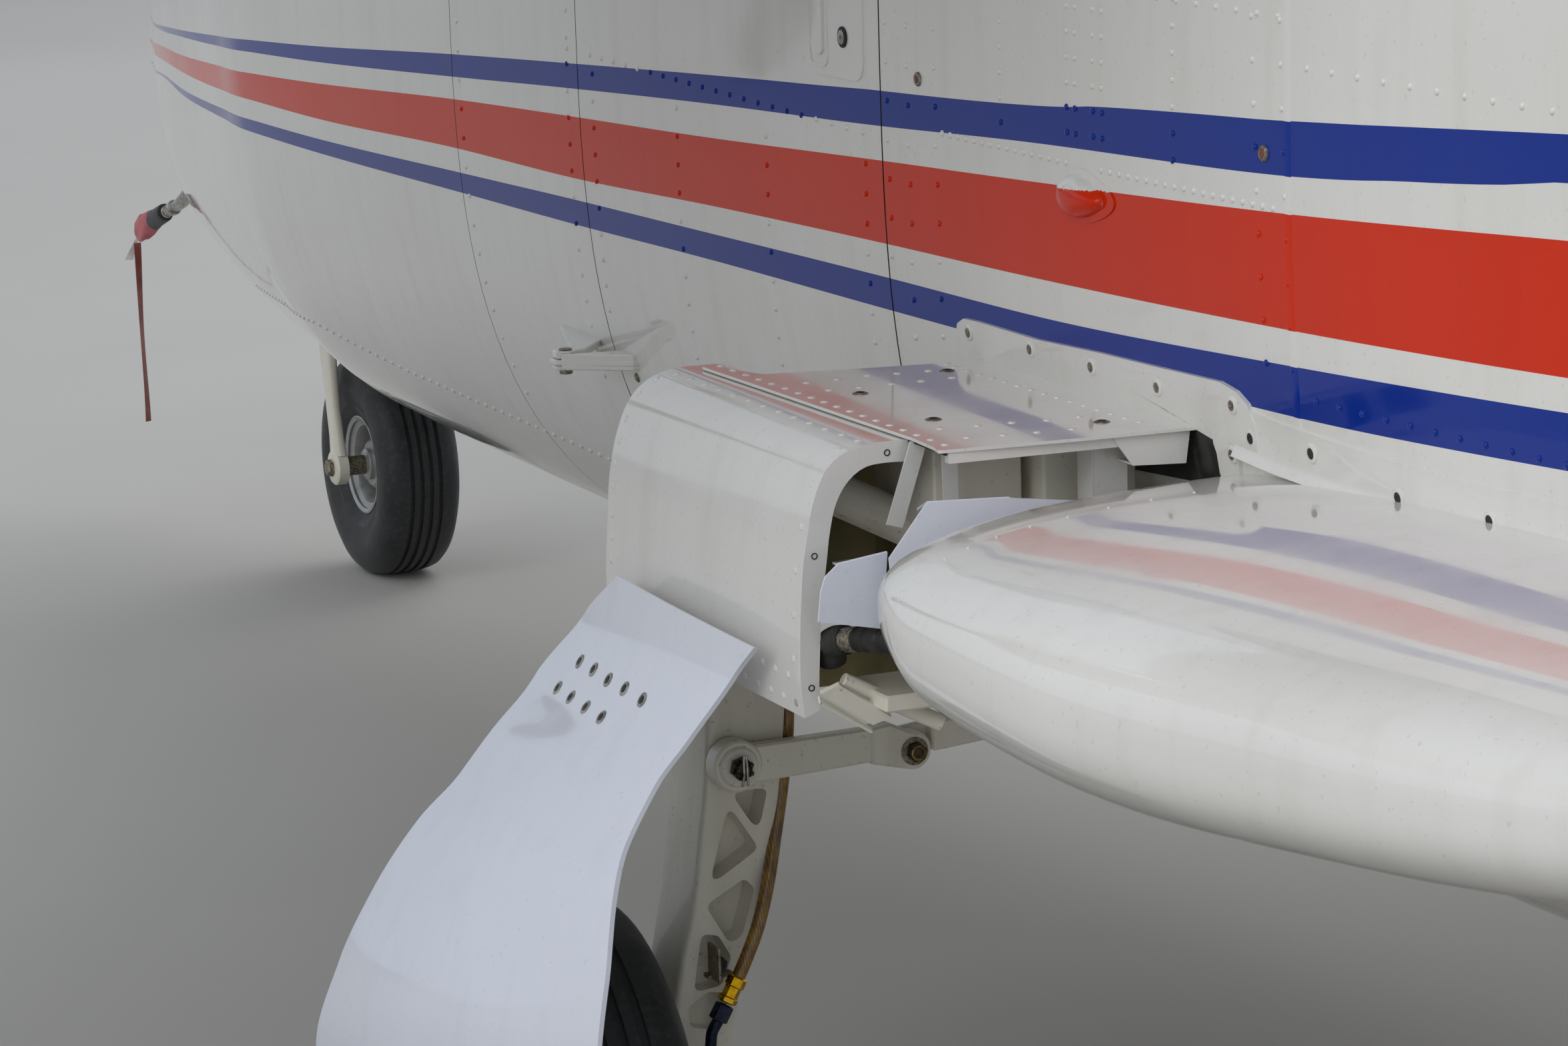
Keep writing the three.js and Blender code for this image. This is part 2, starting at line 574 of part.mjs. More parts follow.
function blade(turn) {
  const out = new THREE.Vector3(Math.cos(turn), 0, Math.sin(turn));
  const across = new THREE.Vector3(-Math.sin(turn), 0, Math.cos(turn));
  const fore = new THREE.Vector3(0, 1, 0);
  return solidOf(loft(BLADE.map(([radius, chord, thick, pitch]) => {
    const angle = THREE.MathUtils.degToRad(pitch);
    const wide = across.clone().multiplyScalar(Math.cos(angle)).addScaledVector(fore, Math.sin(angle));
    const deep = fore.clone().multiplyScalar(Math.cos(angle)).addScaledVector(across, -Math.sin(angle));
    const place = (u, v) => new THREE.Vector3(NACELLE_X, PROPELLER.y, PROPELLER.z)
      .addScaledVector(out, radius).addScaledVector(wide, u).addScaledVector(deep, v).toArray();
    return { outline: bladeOutline(chord, thick), place };
  })));
}
const spinnerLength = PROPELLER.spinnerBack - PROPELLER.spinnerTip;
const spinner = turned([[0, 0], [PROPELLER.spinnerRadius, 0], [PROPELLER.spinnerRadius, -60],
  [128, -130], [96, -195], [48, -245], [0, -spinnerLength]], ROUND_STEPS,
[NACELLE_X, PROPELLER.spinnerBack, PROPELLER.z], 'y');
const rest = THREE.MathUtils.degToRad(PROPELLER.angle);
const propeller = joined([spinner, blade(rest), blade(rest + Math.PI)]);
for (const side of Object.keys(SIDES)) {
  add(`nacelle_${side}`, onSide(cowl, side), 'skin');
  add(`engine_${side}`, onSide(engine, side), 'iron');
  add(`exhaust_${side}`, onSide(exhaust, side), 'iron');
  add(`propeller_${side}`, onSide(propeller, side), 'blade');
}

// Main gear fairing: a sheet folded round the leg's root, with a flange on the body side
const FAIRING = { front: MAIN_AXLE_Y - 55, back: MAIN_AXLE_Y + 370, topBack: MAIN_AXLE_Y + 438, sheet: 5 };
// Fairing outline: x, z, from the body side over the rounded corner and down
const FAIRING_SHAPE = [[560, 851], [800, 851], [826, 846], [848, 834], [865, 815], [877, 788],
  [886, 750], [897, 690], [904, 636]];
const [[fairingRoot, fairingLevel]] = FAIRING_SHAPE;
const [fairingFoot] = FAIRING_SHAPE.slice(-1);
const inward = FAIRING_SHAPE.map(([x, z], k) => {
  const before = FAIRING_SHAPE[Math.max(0, k - 1)];
  const after = FAIRING_SHAPE[Math.min(FAIRING_SHAPE.length - 1, k + 1)];
  const way = new THREE.Vector2(after[0] - before[0], after[1] - before[1]).setLength(FAIRING.sheet);
  return [x + way.y, z - way.x];
}).reverse();
const fairingSheet = prism([...FAIRING_SHAPE, ...inward], FAIRING.front, FAIRING.back, alongY);
const fairingFront = prism([...FAIRING_SHAPE, [fairingRoot, fairingFoot[1]]],
  FAIRING.front, FAIRING.front + FAIRING.sheet, alongY);
const fairingTop = block(fairingRoot, FAIRING.front, fairingLevel - FAIRING.sheet,
  815, FAIRING.topBack, fairingLevel);
const flange = fuselage(FAIRING.sheet).intersect(sideCut(roundedBox(-146, 849, 398, 900, 22), 'left'));
const fairing = joined([fairingSheet, fairingFront, fairingTop, flange]).subtract(seatBody);

// Wheel housing on the body side: y, core x inside the body, reach in x, bottom, top
const HOUSING = [
  [288, 420, 790, 726, 789],
  [304, 420, 860, 690, 816],
  [351, 420, 908, 674, 830],
  [470, 420, 938, 655, 840],
  [700, 420, 954, 650, 853],
  [1000, 400, 925, 668, 860],
  [1400, 340, 820, 715, 866],
  [1800, 240, 640, 790, 880],
  [2150, 150, 385, 880, 930],
];
const housingLoft = solidOf(loft(HOUSING.map(([y, core, reach, bottom, top]) => {
  const outline = Array.from({ length: ROUND_STEPS }, (_, k) => {
    const t = 2 * Math.PI * k / ROUND_STEPS;
    return [core + (reach - core) * power(Math.cos(t), 0.5),
      (bottom + top) / 2 + (top - bottom) / 2 * power(Math.sin(t), 0.7)];
  });
  return { outline, place: alongY(y) };
})));
const WHEEL_WELL = { front: 420, back: 900, inner: 640, outer: 895, top: 828 };
const wheelWell = block(WHEEL_WELL.inner, WHEEL_WELL.front, 500,
  WHEEL_WELL.outer, WHEEL_WELL.back, WHEEL_WELL.top);
const portOnly = block(200, 0, 400, 1400, 3000, 1200);
const housing = housingLoft.intersect(portOnly).subtract(seatBody).subtract(wheelWell);

// Machined main leg: z, outer x, inner x, depth along y
const LEG = [
  [735, 846, 768, 92],
  [620, 850, 774, 88],
  [500, 857, 784, 84],
  [456, 863, 790, 82],
  [415, 868, 797, 80],
  [380, 874, 806, 78],
  [346, 882, 818, 74],
  [308, 889, 826, 70],
  [281, 893, 832, 68],
  [182, 897, 844, 60],
];
const legLoft = solidOf(loft(LEG.map(([z, outer, inner, deep]) => ({
  outline: [[inner, -deep / 2], [outer, -deep / 2], [outer, deep / 2], [inner, deep / 2]],
  place: (u, v) => [u, MAIN_AXLE_Y + v, z],
}))));
// Lightening pockets in the aft face: corners in x and z
const POCKETS = [
  [[834, 492], [798, 492], [808, 452]],
  [[836, 482], [808, 438], [856, 410]],
  [[860, 393], [822, 413], [813, 402], [826, 360], [838, 356]],
  [[864, 368], [848, 364], [836, 343], [846, 318], [872, 315]],
  [[878, 302], [858, 314], [838, 310], [848, 276], [876, 284]],
];
const POCKET_DEPTH = 26;
const pockets = joined(POCKETS.map((shape) => prism(
  shape, MAIN_AXLE_Y + 45 - POCKET_DEPTH, MAIN_AXLE_Y + 80, alongY)));
const legBeam = block(560, MAIN_AXLE_Y - 42, 665, 800, MAIN_AXLE_Y + 42, 735);
const onMainAxle = (x) => [x, MAIN_AXLE_Y, MAIN_WHEEL.radius];
const mainAxle = rod(onMainAxle(870), onMainAxle(1052), AXLE_RADIUS);
// Side brace: a bar across from the leg's aft face to an eye, and a second bar on to the body side
const LINK_HALF = 13;
const linkY = MAIN_AXLE_Y + 43 + SEAT_GAP + LINK_HALF;
const LINK = { pin: [835, linkY, 520], eye: [668, linkY, 514], root: [455, linkY, 537], wide: 14, high: 28 };
const caliper = block(882, MAIN_AXLE_Y + 28, 170, 902, MAIN_AXLE_Y + 78, 240);
const leg = joined([legLoft.subtract(pockets), legBeam, mainAxle, caliper]).subtract(seatBody);

const boss = ([x, y, z], radius) => rod([x, y - LINK_HALF, z], [x, y + LINK_HALF, z], radius);
const brace = joined([bar(LINK.pin, LINK.eye, LINK.wide, LINK.high), boss(LINK.pin, 21), boss(LINK.eye, 17),
  bar(LINK.eye, LINK.root, LINK.wide, LINK.high)]).subtract(seatBody).subtract(housing.add(fairing));

// Leg cover sheet, rows from its top: front edge x, y, z then back edge x, y, z
const COVER = [
  [930, 39, 695, 930, 333, 689],
  [931, -36, 650, 935, 300, 660],
  [960, -95, 583, 963, 265, 602],
  [1000, -90, 545, 988, 250, 563],
  [1034, -90, 507, 1015, 255, 523],
  [1068, -105, 468, 1039, 280, 485],
  [1107, -125, 405, 1056, 298, 420],
  [1140, -132, 341, 1066, 300, 362],
  [1160, -148, 265, 1072, 292, 290],
  [1164, -120, 190, 1080, 240, 212],
];
const COVER_THICK = 5;
const coverSide = (shift) => COVER.map((row) => {
  const centre = [(row[0] + row[3]) / 2 + 10, (row[1] + row[4]) / 2, (row[2] + row[5]) / 2];
  return [row.slice(0, 3), centre, row.slice(3)].map(([x, y, z]) => [x + shift, MAIN_AXLE_Y + y, z]);
});
const SHEET_CORNERS = [[0, 0], [1, 0.2], [2, 0], [2, -1], [1, -0.8], [0, -1]];
const sheetBetween = (outer, inner) => solidOf(loft(outer.map((row, k) => {
  const around = [...row, ...[...inner[k]].reverse()];
  const place = (u, v) => around[SHEET_CORNERS.findIndex((p) => p[0] === u && p[1] === v)];
  return { outline: SHEET_CORNERS, place };
})));
const cover = sheetBetween(coverSide(0), coverSide(-COVER_THICK));
// The leg's bracket ends on the sheet's inner face
const coverAndBeyond = sheetBetween(coverSide(150), coverSide(-COVER_THICK - SEAT_GAP));
const coverBracket = block(840, MAIN_AXLE_Y - 20, 592, 1000, MAIN_AXLE_Y + 30, 616).subtract(coverAndBeyond);
const legWithBracket = leg.add(coverBracket);

// Wheels
function tyreProfile({ radius, half, rim }) {
  const side = [[rim, half * 0.62], [radius * 0.62, half * 0.92], [radius * 0.8, half],
    [radius * 0.93, half * 0.86], [radius, half * 0.45]];
  return [...side.map(([r, x]) => [r, -x]), ...side.reverse()];
}

function rimProfile({ half, rim }) {
  const edge = rim - SEAT_GAP;
  const web = half * 0.16;
  const side = [[AXLE_RADIUS + 1, half * 0.5], [34, half * 0.5], [38, web], [edge - 18, web],
    [edge - 12, half * 0.6], [edge, half * 0.62]];
  return [...side.map(([r, x]) => [r, -x]), ...side.reverse()];
}

function wheel(spec) {
  const centre = [spec.x, spec.y, spec.radius];
  return {
    tyre: turned(tyreProfile(spec), WHEEL_STEPS, centre),
    rim: turned(rimProfile(spec), WHEEL_STEPS, centre),
  };
}
const mainWheel = wheel(MAIN_WHEEL);
for (const side of Object.keys(SIDES)) {
  add(`gear_fairing_${side}`, onSide(fairing, side).subtract(seatBody), 'skin');
  add(`wheel_housing_${side}`, onSide(housing, side).subtract(seatBody), 'skin');
  add(`main_leg_${side}`, onSide(legWithBracket, side).subtract(seatBody), 'gearPaint');
  add(`side_brace_${side}`, onSide(brace, side).subtract(seatBody), 'gearPaint');
  add(`leg_cover_${side}`, onSide(cover, side), 'coverPaint');
  add(`main_tyre_${side}`, onSide(mainWheel.tyre, side), 'rubber');
  add(`main_rim_${side}`, onSide(mainWheel.rim, side), 'rim');
}

// Nose gear: strut fixed in the bay, fork steered about it, wheel in the fork
const STRUT = { y: NOSE_AXLE_Y - 33, bottom: 468, radius: 34, piston: 24 };
const FORK = { crown: 372, crownTop: 420, arm: 13, gap: 12, axleBoss: 26 };
const armX = NOSE_WHEEL.half + FORK.gap + FORK.arm / 2;
const armEnd = (way) => [way * armX, NOSE_AXLE_Y, NOSE_WHEEL.radius];
const forkArm = (way) => joined([
  bar([way * armX, STRUT.y, FORK.crownTop - 8], armEnd(way), FORK.arm, 34),
  rod([way * (armX - FORK.arm), NOSE_AXLE_Y, NOSE_WHEEL.radius],
    [way * (armX + FORK.arm), NOSE_AXLE_Y, NOSE_WHEEL.radius], FORK.axleBoss),
]);
const fork = joined([forkArm(1), forkArm(-1),
  block(-armX - FORK.arm / 2, STRUT.y - 30, FORK.crown, armX + FORK.arm / 2, STRUT.y + 30, FORK.crownTop),
  rod([0, STRUT.y, FORK.crownTop - 5], [0, STRUT.y, STRUT.bottom - SEAT_GAP], STRUT.piston),
  rod(armEnd(-1), armEnd(1), AXLE_RADIUS)]);
const noseWheel = wheel(NOSE_WHEEL);
const strut = rod([0, STRUT.y, STRUT.bottom], [0, STRUT.y, NOSE_BAY.top - SEAT_GAP], STRUT.radius);
add('nose_strut', strut, 'gearPaint');
add('nose_fork', fork, 'gearPaint');
add('nose_tyre', noseWheel.tyre, 'rubber');
add('nose_rim', noseWheel.rim, 'rim');

// Cabin fittings that show through the windows
const floor = CABIN.floor + SEAT_GAP;
const seatX = 270;
// Seat blocks: half width, cushion front and back y, cushion top, back's top and lean
const SEAT_LEVELS = { base: 690, cushion: 800, top: 1440, lean: 130 };
const FRONT_SEAT = { half: 215, frame: 130, front: -1010, back: -520, ...SEAT_LEVELS };
const REAR_SEAT = { half: 470, frame: 390, front: 120, back: 590, ...SEAT_LEVELS };

function seatSoft({ half, front, back, base, cushion, top, lean }, x) {
  const seat = block(x - half, front, base + SEAT_GAP, x + half, back, cushion);
  const backrest = prism([[back - 110, cushion - 20], [back, cushion - 20], [back + lean, top],
    [back + lean - 90, top]], x - half, x + half, alongX);
  return seat.add(backrest);
}

const seatBase = ({ frame, front, back, base }, x) => block(
  x - frame, front + 40, floor, x + frame, back - 40, base);
const BOARD = { half: 400, front: -1080, back: 700, thick: 8 };
const floorBoard = block(-BOARD.half, BOARD.front, floor, BOARD.half, BOARD.back, floor + BOARD.thick);
add('seat_frames', joined([floorBoard, seatBase(FRONT_SEAT, seatX), seatBase(FRONT_SEAT, -seatX),
  seatBase(REAR_SEAT, 0)]), 'iron');
add('seat_front_left', seatSoft(FRONT_SEAT, seatX), 'fabric');
add('seat_front_right', seatSoft(FRONT_SEAT, -seatX), 'fabric');
add('seat_rear', seatSoft(REAR_SEAT, 0), 'fabric');
const PANEL = { front: -1860, back: -1690, half: 470, bottom: 960, top: 1265 };
const YOKE = { front: -1530, back: -1506, level: 1090, half: 120, bar: 12, grip: 1170 };
const yokeBlock = (x0, x1, top) => block(x0, YOKE.front, YOKE.level - YOKE.bar, x1, YOKE.back, top);
const yoke = (x) => joined([
  rod([x, PANEL.back - 10, YOKE.level], [x, YOKE.front + 5, YOKE.level], YOKE.bar, 12),
  yokeBlock(x - YOKE.half, x + YOKE.half, YOKE.level + YOKE.bar),
  yokeBlock(x - YOKE.half, x - YOKE.half + 2 * YOKE.bar, YOKE.grip),
  yokeBlock(x + YOKE.half - 2 * YOKE.bar, x + YOKE.half, YOKE.grip),
]);
const pedestal = block(-90, PANEL.front, floor, 90, PANEL.back, PANEL.bottom + 5);
const board = block(-PANEL.half, PANEL.front, PANEL.bottom, PANEL.half, PANEL.back, PANEL.top);
add('instrument_panel', joined([board, pedestal, yoke(seatX), yoke(-seatX)]), 'panel');

// Pitot head under the nose with its fabric cover and ribbon
// The cover starts at the tip and goes on along the same line; the ribbon hangs below its end
const PITOT = { foot: [118, -4010, 560], elbow: [122, -4075, 508], tip: [123.6, -4205, 468] };
const PITOT_COVER = { start: [123.6, -4205.3, 467.9], end: [125, -4325, 431], wide: 26, high: 34 };
const pitot = joined([rod(PITOT.foot, PITOT.elbow, 12, 12), rod(PITOT.elbow, PITOT.tip, 9, 12)]);
add('pitot_head', pitot.subtract(seatBody), 'iron');
add('pitot_cover', bar(PITOT_COVER.start, PITOT_COVER.end, PITOT_COVER.wide, PITOT_COVER.high), 'red');
const RIBBON = { x: 125, y: -4319.5, half: 6, thick: 1.6, top: 414.1, bottom: 112 };
add('pitot_ribbon', block(RIBBON.x - RIBBON.half, RIBBON.y, RIBBON.bottom,
  RIBBON.x + RIBBON.half, RIBBON.y + RIBBON.thick, RIBBON.top), 'red');

// Roof aerial: y and z corners of a thin blade
const AERIAL = { shape: [[1090, 1640], [1260, 1600], [1290, 1905], [1230, 1905]], half: 5 };
add('roof_aerial', prism(AERIAL.shape, -AERIAL.half, AERIAL.half, alongX).subtract(seatBody), 'skin');

export default aircraft;
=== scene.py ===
import math
import bpy
import numpy as np
from mathutils import Matrix, Vector


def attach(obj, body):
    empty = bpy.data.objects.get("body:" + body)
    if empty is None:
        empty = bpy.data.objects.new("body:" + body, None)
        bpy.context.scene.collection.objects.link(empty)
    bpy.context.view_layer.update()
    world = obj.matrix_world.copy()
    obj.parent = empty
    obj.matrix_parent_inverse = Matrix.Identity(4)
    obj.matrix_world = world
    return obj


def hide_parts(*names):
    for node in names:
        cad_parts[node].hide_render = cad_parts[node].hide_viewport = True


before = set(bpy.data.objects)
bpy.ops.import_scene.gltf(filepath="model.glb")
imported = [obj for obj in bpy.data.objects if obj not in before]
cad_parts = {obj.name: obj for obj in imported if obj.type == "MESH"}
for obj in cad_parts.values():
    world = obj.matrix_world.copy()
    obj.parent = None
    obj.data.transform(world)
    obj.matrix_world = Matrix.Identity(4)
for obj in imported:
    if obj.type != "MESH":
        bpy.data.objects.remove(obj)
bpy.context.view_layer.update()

# Camera
# A long lens stands behind and outboard of the port wheel, looks forward and down along the side,
# and leans a little. The whole nose, the gear and the housing are in its view.
CAMERA = {"place": (2.4889, 3.837, 1.5907), "heading": 23.326, "drop": 11.319, "lean": -1.838, "lens": 117.37}
heading, drop, lean = (math.radians(CAMERA[key]) for key in ("heading", "drop", "lean"))
ahead = Vector((-math.sin(heading) * math.cos(drop), -math.cos(heading) * math.cos(drop), -math.sin(drop)))
level = Vector((-math.cos(heading), math.sin(heading), 0))
above = level.cross(ahead)
across = level * math.cos(lean) + above * math.sin(lean)
upward = above * math.cos(lean) - level * math.sin(lean)
camera = bpy.data.objects.new("camera", bpy.data.cameras.new("camera"))
camera.data.lens = CAMERA["lens"]
camera.data.sensor_width = 36
camera.data.clip_end = 200
turn = Matrix((across, upward, -ahead)).transposed().to_4x4()
camera.matrix_world = Matrix.Translation(CAMERA["place"]) @ turn
bpy.context.scene.collection.objects.link(camera)
bpy.context.scene.camera = camera


# Warning ribbon
# A flat nylon tape is sewn to the end of the pitot cover and hangs free in a slow twist. It is woven,
# dyed red and faded, with darker selvedges.
def linear(colour):
    """The linear numbers of an sRGB hex colour."""
    parts = [int(colour[k:k + 2], 16) / 255 for k in (1, 3, 5)]
    return [p / 12.92 if p <= 0.04045 else ((p + 0.055) / 1.055) ** 2.4 for p in parts] + [1.0]


def add_node(material, kind, values=(), links=(), **settings):
    """A shader node with its settings, its sockets' values and its links from other nodes."""
    node = material.node_tree.nodes.new("ShaderNode" + kind)
    for key, value in settings.items():
        setattr(node, key, value)
    for key, value in dict(values).items():
        node.inputs[key].default_value = value
    for key, source in dict(links).items():
        material.node_tree.links.new(source, node.inputs[key])
    return node


def start_material(name, sockets):
    """A material whose shader has these fixed values."""
    material = bpy.data.materials.new(name)
    material.use_nodes = True
    for key, value in sockets.items():
        material.node_tree.nodes["Principled BSDF"].inputs[key].default_value = value
    return material


def patches(material, size, low=0.4, high=0.6, detail=3, stretch=(1, 1, 1), kind="TexNoise"):
    """A mask of soft patches of a size in millimetres."""
    place = add_node(material, "TexCoord").outputs["Object"]
    scaled = add_node(material, "Mapping", {"Scale": stretch}, {"Vector": place}).outputs[0]
    values = {"Scale": 1000 / size}
    if kind == "TexNoise":
        values["Detail"] = detail
    pattern = add_node(material, kind, values, {"Vector": scaled}).outputs[0]
    return add_node(material, "MapRange", {"From Min": low, "From Max": high}, {"Value": pattern}).outputs[0]


def mixed(material, mask, first, second, share=1.0):
    """A colour that goes from the first to the second by a mask; each is a hex colour or a node's output."""
    part = add_node(material, "Math", {1: share}, {0: mask}, operation="MULTIPLY").outputs[0]
    values, links = {}, {0: part}
    for key, colour in ((6, first), (7, second)):
        if isinstance(colour, str):
            values[key] = linear(colour)
        else:
            links[key] = colour
    return add_node(material, "Mix", values, links, data_type="RGBA").outputs[2]


def finish_material(material, colour, gloss=None, rough=(0.3, 0.5), height=None, depth=0.1, strength=0.3):
    """Joins the colour, a roughness from a mask, and a bump of a depth in millimetres to the shader."""
    links = material.node_tree.links
    shader = material.node_tree.nodes["Principled BSDF"]
    links.new(colour, shader.inputs["Base Color"])
    if gloss is not None:
        spread = {"To Min": rough[0], "To Max": rough[1]}
        value = add_node(material, "MapRange", spread, {"Value": gloss}).outputs[0]
        links.new(value, shader.inputs["Roughness"])
    if height is not None:
        values = {"Strength": strength, "Distance": depth / 1000}
        bump = add_node(material, "Bump", values, {"Height": height})
        links.new(bump.outputs[0], shader.inputs["Normal"])
    return material


# Woven nylon tape: the weave gives fine cross ribs and the dye fades in patches
ribbon_nylon = start_material("red_nylon_tape", {"Roughness": 0.85, "Sheen Weight": 0.25, "IOR": 1.53})
ribs = patches(ribbon_nylon, 1.2, 0, 1, kind="TexWave", stretch=(0, 0, 1))
faded = mixed(ribbon_nylon, patches(ribbon_nylon, 40), "#6C2A22", "#8C4A3E", 0.7)
woven = mixed(ribbon_nylon, ribs, faded, "#441814", 0.35)
finish_material(ribbon_nylon, woven, height=ribs, depth=0.2)


class Form:
    """Points in millimetres, and faces with the number of the finish that each has."""

    def __init__(self):
        self.points = []
        self.faces = []
        self.marks = []

    def add(self, solid, mark=0):
        """Takes in a solid, all of its faces with one finish."""
        points, faces = solid
        first = len(self.points)
        self.points.extend(tuple(map(float, p)) for p in points)
        self.faces.extend(tuple(first + k for k in face) for face in faces)
        self.marks.extend([mark] * len(faces))
        return self


def through(rings, closed=True, ends=True):
    """A skin through rings that have equally many points."""
    rings = [list(ring) for ring in rings]
    count = len(rings[0])
    points = [p for ring in rings for p in ring]
    faces = []
    for r in range(len(rings) - 1):
        for k in range(count if closed else count - 1):
            a, b = r * count + k, r * count + (k + 1) % count
            faces.append((a, b, b + count, a + count))
    if ends:
        faces.append(tuple(range(count))[::-1])
        faces.append(tuple(range(len(points) - count, len(points))))
    quads = np.array([face for face in faces if len(face) == 4])
    corners = np.array(points, float)[quads]
    a, b, c, d = (corners[:, k] - corners[0, 0] for k in range(4))
    volume = np.sum(a * np.cross(b, c)) + np.sum(a * np.cross(c, d))
    if closed and volume < 0:
        faces = [face[::-1] for face in faces]
    return points, faces


def make_piece(name, form, materials, body, replaces=(), angle=35, sign=1, loose=False):
    """An object from a form, with smooth faces up to an edge angle, riding on a body."""
    mesh = bpy.data.meshes.new(name)
    points = np.array(form.points) * (sign / 1000, 0.001, 0.001)
    faces = form.faces if sign > 0 else [face[::-1] for face in form.faces]
    mesh.from_pydata(points.tolist(), [], faces)
    for material in materials or [None] * 5:
        mesh.materials.append(material)
    mesh.polygons.foreach_set("material_index", form.marks)
    mesh.validate()
    mesh.shade_smooth()
    mesh.set_sharp_from_angle(angle=math.radians(angle))
    item = bpy.data.objects.new(name, mesh)
    bpy.context.scene.collection.objects.link(item)
    if loose:
        return item
    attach(item, body)
    if replaces:
        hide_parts(*replaces)
    return item


RIBBON = {"x": 125, "y": -4318.7, "top": 414, "bottom": 112.4, "wide": 12, "thick": 1.2, "steps": 60}


def tape_ring(share):
    """The tape's centre and its four corners, at a share of the way down."""
    height = RIBBON["top"] + share * (RIBBON["bottom"] - RIBBON["top"])
    twist = 0.55 * math.sin(3.1 * share) + 0.5 * share
    sway = 2.2 * math.sin(5.2 * share) * share
    wide = np.array([math.cos(twist), math.sin(twist), 0]) * RIBBON["wide"] / 2
    deep = np.array([-math.sin(twist), math.cos(twist), 0]) * RIBBON["thick"] / 2
    centre = np.array([RIBBON["x"] + sway, RIBBON["y"] + 0.4 * sway, height])
    return centre, [centre - wide - deep, centre - wide + deep, centre + wide + deep, centre + wide - deep]


tape_steps = [tape_ring(k / RIBBON["steps"]) for k in range(RIBBON["steps"] + 1)]
tape = Form().add(through([ring for _, ring in tape_steps]))
ribbon = make_piece("ribbon", tape, [ribbon_nylon], "airframe", ["pitot_ribbon"])


# Pitot head and cover
# A plated steel probe stands on a foot under the nose. A sewn red nylon pouch with a black elastic cuff
# is pulled over its tip, and a small white nylon tag is stitched to the pouch's end.
def full_turn(steps, shift=0.0):
    """Evenly spaced angles round a circle."""
    return [2 * math.pi * (k + shift) / steps for k in range(steps)]


def turned(profile, start, way, steps=24):
    """A solid of revolution: profile rows are radius and distance from start along way."""
    along = Vector(way).normalized()
    side = along.orthogonal().normalized()
    other = along.cross(side)
    outs = [side * math.cos(angle) + other * math.sin(angle) for angle in full_turn(steps)]
    return through([[Vector(start) + along * distance + out * max(radius, 0.001) for out in outs]
                    for radius, distance in profile])


def between(start, end, radius, end_radius=None, steps=16, edge=1.0):
    """A round bar between two points with broken edges."""
    way = Vector(end) - Vector(start)
    last = radius if end_radius is None else end_radius
    profile = [(radius - edge, 0), (radius, edge), (last, way.length - edge), (last - edge, way.length)]
    return turned(profile, start, way, steps)


def swept(path, radius, steps=12):
    """A tube along a path; radius is one number or one for each point."""
    path = [Vector(p) for p in path]
    radii = radius if hasattr(radius, "__len__") else [radius] * len(path)
    side = (path[1] - path[0]).orthogonal().normalized()
    rings = []
    for k, point in enumerate(path):
        way = (path[min(k + 1, len(path) - 1)] - path[max(k - 1, 0)]).normalized()
        side = (side - way * side.dot(way)).normalized()
        other = way.cross(side)
        rings.append([point + (side * math.cos(a) + other * math.sin(a)) * radii[k]
                      for a in full_turn(steps)])
    return through(rings)


def curve_through(points, count):
    """Points on one smooth curve through the given ones."""
    points = [Vector(p) for p in points]
    points = [points[0] * 2 - points[1], *points, points[-1] * 2 - points[-2]]
    out = []
    spans = len(points) - 3
    for k in range(count + 1):
        place = min(k / count * spans, spans - 1e-9)
        i, t = int(place), place % 1
        a, b, c, d = points[i:i + 4]
        out.append(0.5 * (2 * b + (c - a) * t + (2 * a - 5 * b + 4 * c - d) * t * t
                          + (3 * b - a - 3 * c + d) * t ** 3))
    return out


def simple_material(name, sockets, size, colours, rough, grain=None, depth=0.1, detail=3, spread=(0.4, 0.6)):
    """A material with one mask of patches for both its two colours and its roughness, and a fine bump."""
    material = start_material(name, sockets)
    mask = patches(material, size, *spread, detail)
    height = patches(material, grain, 0, 1) if grain else None
    return finish_material(material, mixed(material, mask, *colours), mask, rough, height, depth)


# Nickel-plated steel: bright, with small brighter and duller clouds and fine turning marks
plated_steel = simple_material("nickel_plated_steel", {"Metallic": 1.0}, 6, ("#8F8C86", "#BDB9B1"),
                               (0.22, 0.42), 0.6, 0.05)
# Sewn nylon cloth: plain weave that creases, sun-bleached on its high places
pouch_nylon = start_material("red_nylon_cloth", {"Roughness": 0.8, "Sheen Weight": 0.3, "IOR": 1.53})
bleached = mixed(pouch_nylon, patches(pouch_nylon, 25), "#A01F2B", "#C23A42", 0.8)
threads = patches(pouch_nylon, 1.0, 0, 1, kind="TexWave", stretch=(1, 1, 1))
sewn = mixed(pouch_nylon, threads, bleached, "#6F141C", 0.3)
finish_material(pouch_nylon, sewn, height=threads, depth=0.25)
# Knitted black elastic: matt, with ribs along the probe
elastic_cuff = start_material("black_knitted_elastic", {"Roughness": 0.9, "Sheen Weight": 0.2, "IOR": 1.5})
knit = patches(elastic_cuff, 1.6, 0, 1, kind="TexWave", stretch=(1, 0, 0))
finish_material(elastic_cuff, mixed(elastic_cuff, knit, "#1A1A1C", "#343437"), height=knit, depth=0.3)
# White nylon label tape, slightly soiled
tag_nylon = start_material("white_nylon_label", {"Roughness": 0.7, "IOR": 1.53})
finish_material(tag_nylon, mixed(tag_nylon, patches(tag_nylon, 12), "#D8D6D2", "#B9B4AC"),
                height=patches(tag_nylon, 1.0, 0, 1, kind="TexWave"), depth=0.15)

